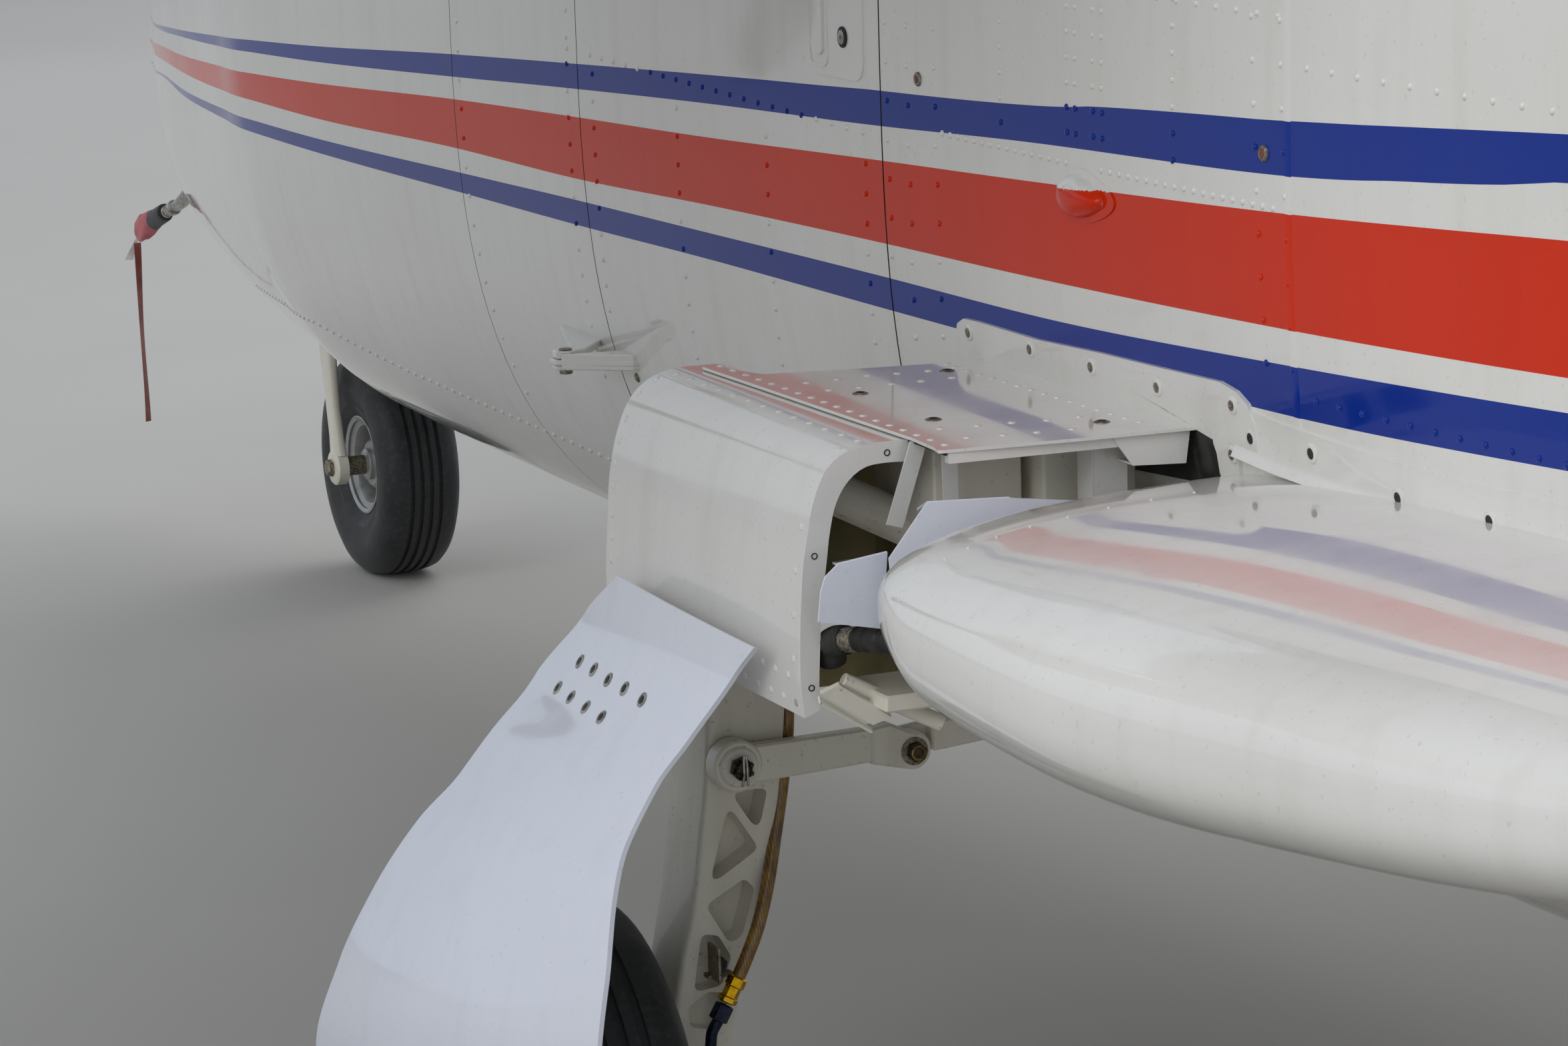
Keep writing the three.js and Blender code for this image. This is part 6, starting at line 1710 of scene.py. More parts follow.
TAIL = {"half": 1650, "root": 168, "le": 3470, "chord": 780, "z": 1105, "ratio": 0.1, "pivot": 0.28}


def tail_point(x, t, way=1):
    """A point on the top (way 1) or bottom (way -1) of the stabilator."""
    tip = (TAIL["half"] - 60, TAIL["half"])
    back, size = (np.interp(abs(x), tip, ends) for ends in ((0, 90), (1, 0.8)))
    return (x, TAIL["le"] + back + t * TAIL["chord"] * size,
            TAIL["z"] + way * float(thick_at(t, TAIL["ratio"] * size)) * TAIL["chord"] * size)


stabilator = Form()
places, ways = [], []
for sign in (1, -1):
    t = (1 - np.cos(np.linspace(math.pi, 0, 22))) / 2
    stations = [TAIL["root"], 600, 1100, 1590, 1605, 1620, 1635, 1650]
    rings = [[tail_point(x * sign, s) for s in t] + [tail_point(x * sign, s, -1) for s in t[::-1][1:]]
             for x in stations]
    stabilator.add(through(rings))
    for way in (1, -1):
        for x in np.arange(TAIL["root"] + 60, 1600, 190):
            for s in np.linspace(0.06, 0.93, 19):
                places.append(tail_point(x * sign, s, way))
                ways.append((0, 0, way))
        for s in (0.28, 0.72):
            for x in np.arange(TAIL["root"] + 25, 1590, 40):
                places.append(tail_point(x * sign, s, way))
                ways.append((0, 0, way))
stabilator.add(heads(places, ways, 3, 1.0, 6))
pivot = TAIL["le"] + TAIL["pivot"] * TAIL["chord"]
stabilator.add(between((-190, pivot, TAIL["z"]), (190, pivot, TAIL["z"]), 24, steps=32), 1)
make_piece("stabilator_skin", stabilator, [white_enamel, cadmium_steel], "stabilator", ["stabilator"],
           angle=30)
tail_details = Form()
places, ways = [], []
for way in (1, -1):
    for z in np.arange(1500, 2760, 157):
        for s in np.linspace(0.05, 0.6, 12):
            places.append(fin_point(z, s, way))
            ways.append((way, 0, 0))
    for s in (0.2, 0.58):
        for z in np.arange(1480, 2790, 40):
            places.append(fin_point(z, s, way))
            ways.append((way, 0, 0))
tail_details.add(heads(places, ways, 3, 1.0, 6))
make_piece("fin_details", tail_details, [white_enamel], "airframe")


# Nacelles
# Each engine sits in a riveted nacelle slung under and ahead of the wing. The cowl has two round inlets,
# a cooling outlet below, hinged top panels with latches, and seams where its sheets meet.
# y, half width, half height, level
NACELLE = np.array([(-1885, 152, 152, 1650), (-1850, 205, 190, 1648), (-1700, 258, 232, 1650),
                    (-1350, 278, 262, 1664), (-950, 274, 262, 1688), (-500, 248, 232, 1712),
                    (-100, 180, 160, 1742), (140, 70, 60, 1775)], float)
NACELLE_X = 1620


def nacelle_point(y, angle, out=0.0):
    """A point on the port nacelle at y and an angle up from its outboard side."""
    half, high, level = smooth_rows(NACELLE, [y])[0]
    c, s = math.cos(angle), math.sin(angle)
    return (NACELLE_X + (half + out) * math.copysign(abs(c) ** 0.7, c), y,
            level + (high + out) * math.copysign(abs(s) ** 0.7, s))


def nacelle_ring(y, out=0.0):
    """A section of the nacelle, or of the space in it."""
    return [nacelle_point(y, angle, out) for angle in full_turn(88)]


def nacelle_way(y, angle):
    """The direction out of the nacelle at a point."""
    here, near = Vector(nacelle_point(y, angle)), Vector(nacelle_point(y, angle + 0.02))
    way = (near - here).cross(Vector(nacelle_point(y + 5, angle)) - here).normalized()
    return way if way.dot(here - Vector((NACELLE_X, y, 1670))) > 0 else -way


lip = [(-1885 + 35 * (1 - math.cos(a)), 1 - math.sin(a)) for a in np.linspace(0, math.pi / 2, 8)]
stations = [y for y, _ in lip] + list(np.linspace(-1835, 140, 46))
cowl = blank(through([nacelle_ring(y) for y in stations]))
carve(cowl, blank(through([nacelle_ring(y, -7) for y in np.linspace(-1866, -1010, 24)]), 1))
for x, radius in ((-128, 44), (128, 44), (0, 46)):
    level = 1650 if x == 0 else 1620
    hole = turned([(radius + 12, -1930), (radius + 9, -1884), (radius + 1, -1876), (radius, -1868),
                   (radius, -1700)], (NACELLE_X + x, 0, level), (0, 1, 0), 40)
    carve(cowl, blank(hole))
outlet = rounded(rectangle(NACELLE_X - 110, -1080, NACELLE_X + 110, -1022), 16)
carve(cowl, blank(slab(outlet, 2, 1300, 1480)))
carve(cowl, blank(through([wing_ring(x, -0.6) for x in (1250, 2000)])))
other = cowl.copy()
other.data = cowl.data.copy()
bpy.context.scene.collection.objects.link(other)
turn_over(other)
for item, side in ((cowl, "left"), (other, "right")):
    settle(item, f"nacelle_{side}_cowl", [white_enamel, chromate_primer], "airframe", [f"nacelle_{side}"],
           32, skin=False)

cowl_trim = Form()
places, ways = [], []
for y in (-1760, -1380, -1030, -990, -640, -300):
    for k in range(3, 46):
        angle = math.pi * (0.04 * k + 0.06)
        spot = nacelle_point(y, angle)
        if y > -860 and spot[2] > wing_point(spot[0], min(0.98, (y + 830) / 1400), -1)[2] - 6:
            continue
        places.append(spot)
        ways.append(nacelle_way(y, angle))
for angle in (0.16, math.pi - 0.16, -0.85, math.pi + 0.85):
    for y in np.arange(-1750, -120 if angle < 0 or angle > 3.2 else -860, 34):
        places.append(nacelle_point(y, angle))
        ways.append(nacelle_way(y, angle))
cowl_trim.add(heads(places, ways, 3.2, 1.1, 6))
# Seams: a neoprene strip lies in the gap between the cowl's sheets
for y in (-1400, -1010):
    seam = [Vector(nacelle_point(y, a)) for a in np.linspace(0, 2 * math.pi, 121)]
    cowl_trim.add(swept(seam, 1.3, 6), 2)
for angle in (0.0, math.pi):
    cowl_trim.add(swept([nacelle_point(y, angle) for y in np.linspace(-1835, -1010, 40)], 1.3, 6), 2)
    for y in (-1720, -1560, -1250, -1090):
        spot, way = Vector(nacelle_point(y, angle - 0.06)), nacelle_way(y, angle)
        latch = rounded(rectangle(y - 26, -12, y + 26, 12), 5)
        rings = [[(spot.x + way.x * out, yy, spot.z + zz) for yy, zz in grown(latch, shrink)]
                 for out, shrink in ((-4, 0), (1.4, 0), (2.6, -1.6))]
        cowl_trim.add(through(rings), 1)
make_pair("nacelle_{}_trim", cowl_trim, [white_enamel, cadmium_steel, neoprene_seal],
          angle=40)


# Engines
# Behind the inlets is a flat four-cylinder engine: a cast crankcase, finned cylinders with rocker covers,
# baffles, intake pipes, and a shaft to the propeller. The exhaust leaves through the outlet below.
raw_casting = simple_material("raw_aluminium_casting", {"Metallic": 0.85}, 60, ("#7E8081", "#4A4640", 0.8),
                              (0.5, 0.75), 1.5, 0.15, 4, (0.4, 0.75))
# Heat-stained stainless pipe: straw and blue bands fade into brown soot
stained_pipe = start_material("heat_stained_steel", {"Metallic": 0.95})
heat = patches(stained_pipe, 45, 0.3, 0.7, 2)
soot = patches(stained_pipe, 16, 0.5, 0.75, 4)
heat_tint = mixed(stained_pipe, heat, "#8A6F4E", "#56597A")
finish_material(stained_pipe, mixed(stained_pipe, soot, heat_tint, "#2A2521"), soot, (0.35, 0.7),
                patches(stained_pipe, 2, 0, 1), 0.06)
engine = Form()
case = rounded([(-78, -96), (78, -96), (92, -30), (92, 58), (60, 96), (-60, 96), (-92, 58), (-92, -30)], 16)
case_sections = ((-1700, 0.45), (-1688, 0.62), (-1640, 0.72), (-1615, 1), (-1220, 1), (-1205, 0.94))
engine.add(through([[(NACELLE_X + x * s, y, 1650 + z * s) for x, z in case] for y, s in case_sections]))
engine.add(turned([(38, 0), (38, 190), (52, 194), (52, 206), (38, 210), (38, 260)], (NACELLE_X, -1892, 1650),
                  (0, 1, 0), 32), 1)
for y in (-1500, -1320):
    for way in (1, -1):
        fins = [(50, 60)]
        for k in range(15):
            at = 66 + k * 8.4
            fins += [(52, at), (70, at + 0.6), (70, at + 2.4), (52, at + 3)]
        fins += [(56, 196), (64, 200), (64, 212), (52, 216)]
        engine.add(turned(fins, (NACELLE_X, y, 1654), (way, 0, 0), 26))
        cover, x = rounded(rectangle(y - 52, 1600, y + 52, 1700), 20), NACELLE_X + way * 196
        engine.add(plate(cover, 0, x - 8, x + 12, 5), 1)
        pipe = curve_through([(NACELLE_X + way * 150, y, 1600), (NACELLE_X + way * 158, y + 20, 1548),
                              (NACELLE_X + way * 120, y + 70, 1535), (NACELLE_X + way * 60, y + 90, 1548)],
                             20)
        engine.add(swept(pipe, 15, 14), 2)
engine.add(rounded_block((NACELLE_X - 150, -1200, 1560), (NACELLE_X + 150, -1012, 1740), 14))
engine.add(turned([(60, 0), (66, 4), (66, 60), (60, 66)], (NACELLE_X - 90, -1600, 1560), (0, 1, 0), 30), 1)
exhaust = Form()
pipe = curve_through([(1706, -1310, 1500), (1711, -1285, 1470), (1718, -1262, 1430), (1724, -1228, 1388),
                      (1731, -1198, 1352)], 24)
outer, inner = [Vector(p) for p in pipe], [Vector(p) for p in pipe[::-1]]
radii = [24 - 7 * k / 24 for k in range(25)]
tube, faces = swept(outer + inner, radii + [r - 1.6 for r in radii[::-1]], 28)
exhaust.add((tube, faces[:-2] if len(faces[-1]) > 4 else faces))
exhaust.add(turned([(24, 0), (31, 0.5), (31, 5), (24, 5.5)], pipe[4], pipe[6] - pipe[4], 28), 0)
make_pair("engine_{}_block", engine, [raw_casting, cadmium_steel, stained_pipe], "engine_{}")
make_pair("exhaust_{}_pipe", exhaust, [stained_pipe], "exhaust_{}")


# Propellers
# Two-bladed variable-pitch propellers: twisted aluminium blades in satin dark enamel, worn bright along
# the leading edge, with round roots in cuffs. A spun aluminium spinner covers the hub.
blade_coat = {"IOR": 1.5, "Coat Weight": 0.2, "Coat Roughness": 0.3}
blade_enamel = start_material("dark_satin_blade_enamel", blade_coat)
wear = patches(blade_enamel, 30, 0.55, 0.72, 5, (1, 0.4, 1))
worn_blade = mixed(blade_enamel, wear, "#26282B", "#55585B", 0.6)
finish_material(blade_enamel, mixed(blade_enamel, patches(blade_enamel, 120), worn_blade, "#303338", 0.6),
                wear, (0.3, 0.5), patches(blade_enamel, 2, 0, 1), 0.05)
# Bare leading edge: brushed aluminium with fine nicks
bare_aluminium = start_material("brushed_bare_aluminium", {"Metallic": 1.0})
nicks = patches(bare_aluminium, 3, 0.6, 0.75)
finish_material(bare_aluminium, mixed(bare_aluminium, nicks, "#B7B9BA", "#8A8C8D"), nicks, (0.22, 0.45),
                nicks, 0.3)
# radius, chord, thickness, pitch
BLADE = np.array([(95, 62, 48, 52), (190, 88, 34, 46), (380, 122, 22, 34), (600, 116, 15, 25),
                  (800, 88, 10, 19), (872, 58, 7, 17), (890, 26, 5, 16)], float)
SPINNER = [(142, 0), (142, -60), (128, -130), (96, -195), (48, -245), (0, -264)]
propeller = Form()
along, depth = np.array([s[1] for s in SPINNER][::-1], float), np.array([s[0] for s in SPINNER][::-1], float)
cone = smooth_rows(np.column_stack([along, depth]), np.linspace(-264, 0, 40))[:, 0]
profile = [(max(r - 0.2, 0.2), a) for a, r in zip(np.linspace(-264, 0, 40), cone)]
HUB = (NACELLE_X, -1891, 1650)
propeller.add(turned([*profile, (138, 2), (60, 2)], HUB, (0, 1, 0), 72), 1)
propeller.add(turned([(142.6, 0), (143.4, 0.8), (143.4, 5), (142.6, 5.8)], (HUB[0], HUB[1] - 8, HUB[2]),
                     (0, 1, 0), 72), 2)
for angle in full_turn(12, 0.3):
    way = Vector((math.cos(angle), 0, math.sin(angle)))
    add_screw(propeller, Vector(HUB) + way * 142 - Vector((0, 26, 0)), way, (2, 3), 3.2, 1)
for turn in (58, 238):
    reach = Vector((math.cos(math.radians(turn)), 0, math.sin(math.radians(turn))))
    across = Vector((-reach.z, 0, reach.x))
    centre = Vector((HUB[0], -1950, HUB[2]))
    skin_rings, edge_rings = [], []
    for radius, chord, thick, pitch in eased(BLADE, 36):
        p = math.radians(pitch)
        wide = across * math.cos(p) + Vector((0, 1, 0)) * math.sin(p)
        deep = Vector((0, 1, 0)) * math.cos(p) - across * math.sin(p)
        ring, middle = [], centre + reach * radius
        round_share = max(0.0, min(1.0, (190 - radius) / 95))
        for a in full_turn(32):
            high = math.sin(a) * (1 - 0.35 * (1 - round_share) * math.cos(a)) * thick / 2
            ring.append(middle + wide * math.cos(a) * chord / 2 + deep * high)
        skin_rings.append(ring)
        if 240 < radius:
            edge = [middle + wide * math.cos(a) * (chord / 2 + 0.5)
                    + deep * (math.sin(a) * (1 - 0.35 * math.cos(a)) * (thick / 2 + 0.7))
                    for a in np.linspace(-0.62, 0.62, 9)]
            edge_rings.append([*edge, middle + wide * chord * 0.3])
    propeller.add(through(skin_rings), 0)
    propeller.add(through(edge_rings), 4)
    propeller.add(turned([(40, 0), (46, 3), (46, 16), (40, 19)], centre + reach * 118, reach, 36), 5)
propeller_finishes = [blade_enamel, white_enamel, cadmium_steel, dark_steel, bare_aluminium, raw_casting]
make_pair("propeller_{}_blades", propeller, propeller_finishes, "propeller_{}", 30,
          "propeller_{}")


# Cabin floor and seat frames
# A carpeted aluminium floor carries extruded rails. Each front seat stands on a welded tube frame that
# slides on them; the rear bench stands on a riveted sheet box. Frames are enamelled dark grey.
FLOOR = 561
# Needle-felt carpet: matt, flecked, with a fine loop texture
carpet_felt = start_material("charcoal_needle_felt", {"Roughness": 0.95, "Sheen Weight": 0.3, "IOR": 1.5})
loops = patches(carpet_felt, 3, 0.3, 0.7)
felt_shade = mixed(carpet_felt, patches(carpet_felt, 160), "#3A3C40", "#4B4A48")
finish_material(carpet_felt, mixed(carpet_felt, loops, felt_shade, "#232427", 0.7), height=loops, depth=1.2,
                strength=0.6)
frame_enamel = enamel("dark_grey_frame_enamel", "#3A3B3D", "#6B675F", (0.3, 0.45), 0.2)
frames = Form()
board = rounded(rectangle(-398, -1078, 398, 698), 30)
frames.add(slab(board, 2, FLOOR, FLOOR + 3), 1)
frames.add(stack(grown(board, -4), 2, ((FLOOR + 3, 0), (FLOOR + 7.4, 0), (FLOOR + 8.6, -3))), 2)
for x in (-400, -140, 140, 400):
    inner = x * 0.96 if abs(x) > 300 else x
    frames.add(rounded_block((inner - 14, -1030, FLOOR + 6), (inner + 14, -440, FLOOR + 20), 2), 1)
    frames.add(rounded_block((inner - 5, -1026, FLOOR + 18), (inner + 5, -444, FLOOR + 24), 1.5), 1)
for centre in (-270, 270):
    for x in (centre - 118, centre + 118):
        rail = curve_through([(x, -960, FLOOR + 26), (x, -962, 640), (x, -940, 676), (x, -760, 678),
                              (x, -600, 676), (x, -566, 640), (x, -560, FLOOR + 26)], 60)
        frames.add(swept(rail, 11, 16), 0)
        for y in (-960, -560):
            frames.add(rounded_block((x - 16, y - 22, FLOOR + 20), (x + 16, y + 22, FLOOR + 34), 4), 0)
            frames.add(turned([(7, 0), (7.6, 1), (7.6, 6), (6, 7), (1, 7)], (x + 16, y, FLOOR + 28),
                              (1, 0, 0), 6), 1)
    for y, z in ((-940, 660), (-600, 660)):
        frames.add(between((centre - 118, y, z), (centre + 118, y, z), 9), 0)
    pan = rounded(rectangle(centre - 126, -966, centre + 126, -562), 20)
    frames.add(stack(pan, 2, ((682, -3), (685, 0), (689.4, -2))), 0)
bench = rounded(rectangle(-388, 162, 388, 548), 18)
frames.add(stack(bench, 2, ((FLOOR + 9, 0), (FLOOR + 12, 0), (600, -6), (668, -6), (676, 0), (689.4, 0))), 0)
for x in np.arange(-350, 360, 50):
    for y, way in ((162, -1), (548, 1)):
        frames.add(heads([(x, y + way * -0.5, 682)], [(0, way, 0)], 3.2, 1.2), 0)
make_piece("cabin_floor_and_frames", frames, [frame_enamel, plated_steel, carpet_felt], "airframe",
           ["seat_frames"], angle=40)


# Seats
# Foam cushions under woven wool upholstery, blown up as cloth, with sewn channels, piped seams, and
# webbing belts with steel buckles.
seat_wool = start_material("taupe_wool_upholstery", {"Roughness": 0.92, "Sheen Weight": 0.35, "IOR": 1.5})
weave_across = patches(seat_wool, 1.7, 0.2, 0.8, kind="TexWave", stretch=(1, 0.15, 0.15))
weave_along = patches(seat_wool, 1.7, 0.2, 0.8, kind="TexWave", stretch=(0.15, 1, 0.6))
wool_shade = mixed(seat_wool, patches(seat_wool, 120, 0.35, 0.7), "#8D8474", "#766C5C")
woven_wool = mixed(seat_wool, weave_along, wool_shade, "#5D5548", 0.5)
finish_material(seat_wool, mixed(seat_wool, weave_across, woven_wool, "#A79D8B", 0.4), height=weave_along,
                depth=0.6, strength=0.5)
# Darker vinyl piping sewn into the seams, lightly creased
piping_vinyl = start_material("brown_vinyl_piping", {"IOR": 1.5, "Coat Weight": 0.1})
creases = patches(piping_vinyl, 4, 0.3, 0.7)
finish_material(piping_vinyl, mixed(piping_vinyl, creases, "#4B4036", "#5F5245"), creases, (0.4, 0.6),
                creases, 0.2)
# Belt webbing: close diagonal ribs, fuzzy at the edges
belt_webbing = start_material("grey_belt_webbing", {"Roughness": 0.85, "Sheen Weight": 0.3, "IOR": 1.5})
twill = patches(belt_webbing, 2.2, 0.1, 0.9, kind="TexWave", stretch=(1, 1, 0.4))
finish_material(belt_webbing, mixed(belt_webbing, twill, "#43464B", "#5C6067"), height=twill, depth=0.4)
SEAT = {"voxel": 0.016, "pressure": 4.0, "frames": 20, "cap": 0.013, "smaller": 15, "channel": 6.5}


def stuffed(solid, channels):
    """Point positions and faces of a cushion: a block blown up as cloth, then drawn in along its channels."""
    item = blank(solid)
    grid = item.modifiers.new("grid", "REMESH")
    grid.mode, grid.voxel_size = "VOXEL", SEAT["voxel"]
    item.data = bpy.data.meshes.new_from_object(item.evaluated_get(bpy.context.evaluated_depsgraph_get()))
    item.modifiers.clear()
    before = np.array([tuple(v.co) for v in item.data.vertices])
    after = before.copy()
    cloth = item.modifiers.new("cloth", "CLOTH")
    cloth.settings.use_pressure = True
    cloth.settings.uniform_pressure_force = SEAT["pressure"]
    cloth.settings.effector_weights.gravity = 0
    for frame_number in range(1, SEAT["frames"] + 1):
        bpy.context.scene.frame_set(frame_number)
    blown = item.evaluated_get(bpy.context.evaluated_depsgraph_get()).data
    after = np.array([tuple(v.co) for v in blown.vertices])
    item.modifiers.clear()
    bpy.context.scene.frame_set(1)
    move = after - before
    far = np.linalg.norm(move, axis=1, keepdims=True)
    after = before + move * np.minimum(1, SEAT["cap"] / np.maximum(far, 1e-9))
    normals = np.array([tuple(v.normal) for v in item.data.vertices])
    depth = np.zeros(len(after))
    for face_way, line_axis, lines in channels:
        facing = np.clip(normals @ np.array(face_way, float), 0, 1) ** 2
        for line in lines:
            depth += facing * np.exp(-((after[:, line_axis] * 1000 - line) / 11) ** 2)
    after -= normals * depth[:, None] * SEAT["channel"] / 1000
    item.data.vertices.foreach_set("co", after.ravel())
    item.modifiers.new("smooth", "SUBSURF").levels = 1
    mesh = bpy.data.meshes.new_from_object(item.evaluated_get(bpy.context.evaluated_depsgraph_get()))
    points = [tuple(v.co * 1000) for v in mesh.vertices]
    faces = [tuple(face.vertices) for face in mesh.polygons]
    bpy.data.objects.remove(item)
    return points, faces


def cushion_block(x, half, y0, y1, low, high):
    """A seat's foam before it is covered."""
    s = SEAT["smaller"]
    outline = rounded(rectangle(x - half + s, y0 + s, x + half - s, y1 - s), 34)
    return stack(outline, 2, ((low + 2, -10), (low + 12, 0), ((low + high) / 2, -5), (high - s - 10, 0),
                              (high - s, -12)))


def back_block(x, half, back):
    """A leaning backrest: rings across from one side to the other."""
    outline = rounded([(back - 95, 803), (back - 16, 803), (back + 114, 1424), (back + 56, 1424)], 26)
    s = SEAT["smaller"]
    return stack(outline, 0, ((x - half + s, -14), (x - half + s + 12, -2), (x, 2), (x + half - s - 12, -2),
                              (x + half - s, -14)))


def seat_forms(x, half, y0, y1):
    """A seat's cushion and back, with the piping in the seams of both."""
    lines = [x + half * k for k in ((-0.52, 0, 0.52) if half < 300 else (-0.66, -0.33, 0, 0.33, 0.66))]
    out = Form()
    out.add(stuffed(cushion_block(x, half, y0, y1, 690.5, 800), [((0, 0, 1), 0, lines)]), 0)
    out.add(stuffed(back_block(x, half, y1), [((0, -0.98, 0.2), 0, lines)]), 0)
    edge = rounded(rectangle(x - half + 14, y0 + 13, x + half - 14, y1 - 14), 40)
    seam = [Vector((a, b, 778)) for a, b in edge]
    out.add(swept(seam + seam[:2], 3, 8), 1)
    frame_line = rounded(rectangle(x - half + 16, 812, x + half - 16, 1408), 50)
    seam = [Vector((a, y1 - 95 + (z - 803) * 0.243 + 3, z)) for a, z in frame_line]
    out.add(swept(seam + seam[:2], 3, 8), 1)
    return out


def belts(out, x, half, y1):
    """A lap belt laid across the cushion, its buckle in the middle."""
    level = 806
    path = [Vector((x + half * k, y1 - 120 - 26 * math.cos(k * 2.4), level - 34 * abs(k) ** 3))
            for k in np.linspace(-0.93, 0.93, 30)]
    rings = [[p + Vector((0, d, h)) for d, h in ((-23, 0), (23, 0), (23, 1.6), (-23, 1.6))] for p in path]
    out.add(through(rings), 2)
    middle = path[15].y
    buckle = rounded(rectangle(x - 34, middle - 29, x + 34, middle + 29), 8)
    out.add(stack(buckle, 2, ((level + 1, 0), (level + 9, 0), (level + 11, -3))), 3)
    out.add(rounded_block((x - 20, middle - 20, level + 8), (x + 12, middle + 20, level + 14), 4), 3)
    return out


front_seat = belts(seat_forms(270, 215, -1010, -520), 270, 215, -520)
rear_seat = seat_forms(0, 470, 120, 590)
for centre in (-235, 235):
    belts(rear_seat, centre, 205, 590)
seat_finishes = [seat_wool, piping_vinyl, belt_webbing, plated_steel]
for name, form, sign in (("seat_front_left", front_seat, 1), ("seat_front_right", front_seat, -1),
                         ("seat_rear", rear_seat, 1)):
    make_piece(f"{name}_upholstered", form, seat_finishes, "airframe", [name],
                         sign=sign, angle=60)


# Instrument panel
# A sheet panel coated in matt crackle black under a padded glareshield holds round dials with blank
# faces, two stacks of blank-faced radios and rows of switches; a pedestal carries six engine levers.
crackle_black = start_material("black_crackle_coating", {"IOR": 1.5})
crackle = patches(crackle_black, 2.2, 0.1, 0.9, kind="TexVoronoi")
finish_material(crackle_black, mixed(crackle_black, patches(crackle_black, 60), "#26272A", "#34353A"),
                crackle, (0.55, 0.8), crackle, 0.25)
# Moulded black plastic knobs and bezels, polished where they are gripped
moulded_black = simple_material("black_moulded_plastic", {"IOR": 1.5}, 14, ("#111214", "#202124"),
                                (0.25, 0.5), 1.2, 0.05)
# Dial faces, matt black, and their marks and needles in matt white
dial_black = start_material("dial_face_black", {"IOR": 1.5})
finish_material(dial_black, mixed(dial_black, patches(dial_black, 20), "#0D0D0E", "#17181A"),
                patches(dial_black, 9), (0.6, 0.8))
dial_white = start_material("dial_mark_white", {"IOR": 1.5})
finish_material(dial_white, mixed(dial_white, patches(dial_white, 6), "#E6E4DC", "#CFCBC0"),
                patches(dial_white, 4), (0.5, 0.7))
panel = Form()
face = rounded([(-468, 962), (468, 962), (468, 1180), (400, 1250), (-400, 1250), (-468, 1180)], 26)
panel.add(stack(face, 1, ((-1858, -20), (-1716, -2), (-1699, 0), (-1696, -2))))
shield = rounded([(-466, 1176), (-402, 1244), (402, 1244), (466, 1176), (469, 1190), (404, 1262),
                  (-404, 1262), (-469, 1190)], 6)
panel.add(stack(shield, 1, ((-1850, -2), (-1840, 0), (-1700, 0), (-1692, -3))), 1)


def closed_ring(profile, place):
    """A ring round the fore-and-aft axis."""
    points, faces = closed_turn(profile, (0, 0, 0), 40)
    return [(place[0] + y, place[1] + x, place[2] + z) for x, y, z in points], [f[::-1] for f in faces]


def dial(x, z, radius, needle):
    """A round instrument: its blank face, bezel, marks, needle and cap."""
    place, way = Vector((x, -1696.5, z)), Vector((0, 1, 0))
    panel.add(turned([(radius - 5, 0), (radius - 5, 2)], place, way, 40), 2)
    panel.add(closed_ring([(radius - 5, 1.5), (radius + 1, 0), (radius + 1.5, 2.5), (radius - 1, 5.4),
                           (radius - 4.4, 5.2)], place), 1)
    for k, angle in enumerate(full_turn(24)):
        out = Vector((math.cos(angle), 0, math.sin(angle)))
        reach = radius * (0.7 if k % 2 else 0.62)
        panel.add(between(place + out * reach + way * 2.2, place + out * (radius - 6.5) + way * 2.2, 0.45,
                          steps=4, edge=0.1), 3)
    out = Vector((math.cos(needle), 0, math.sin(needle)))
    panel.add(between(place - out * 7 + way * 3, place + out * (radius * 0.6) + way * 3, 1.2, 0.5, steps=6,
                      edge=0.2), 3)
    panel.add(turned([(3.4, 2), (3.4, 4), (2.4, 4.8)], place, way, 14), 1)


for row, z in enumerate((1172, 1078)):
    for k in range(3):
        dial(-388 + 92 * k, z, 40, 1.9 - 0.8 * k + row)
        dial(204 + 92 * k, z, 40, 0.4 + 0.9 * k - row)
for x in (-100, -54):
    for z in (1206, 1146, 1086, 1026):
        dial(x, z, 20, 2.2 + z / 100 + x / 50)
for k in range(6):
    bottom = 1006 + 38 * k
    panel.add(rounded_block((16, -1702, bottom), (148, -1690.8, bottom + 34), 3), 1)
    panel.add(rounded_block((40, -1695, bottom + 9), (124, -1690.2, bottom + 26), 2), 2)
    for x in (27, 137):
        panel.add(turned([(8, 0), (8.4, 1), (7.4, 8), (6.4, 8.6)], (x, -1692, bottom + 17), (0, 1, 0), 18), 1)
for k in range(16):
    x = -420 + 22 * k + (120 if k > 11 else 0)
    panel.add(turned([(6, 0), (6, 2.4), (4.6, 3)], (x, -1697, 990), (0, 1, 0), 6), 5)
    panel.add(between((x, -1695, 990), (x, -1681, 997 if k % 3 else 983), 2.2, 3.2, steps=10, edge=0.6), 5)
pedestal = rounded(rectangle(-88, -1858, 88, -1694), 12)
panel.add(stack(pedestal, 2, ((FLOOR, 0), (940, -4), (968, -4))), 0)
for k, colour in enumerate((1, 1, 4, 4, 5, 5)):
    x = -62 + 25 * k
    lever = curve_through([(x, -1705, 952), (x, -1680, 966), (x, -1668, 990 + 3 * (k % 2))], 8)
    panel.add(swept(lever, 2.6, 8), 5)
    panel.add(turned([(4, -1), (9, 3), (10, 9), (8, 15), (3, 17)], lever[-1], (0, 0.35, 1), 18), colour)
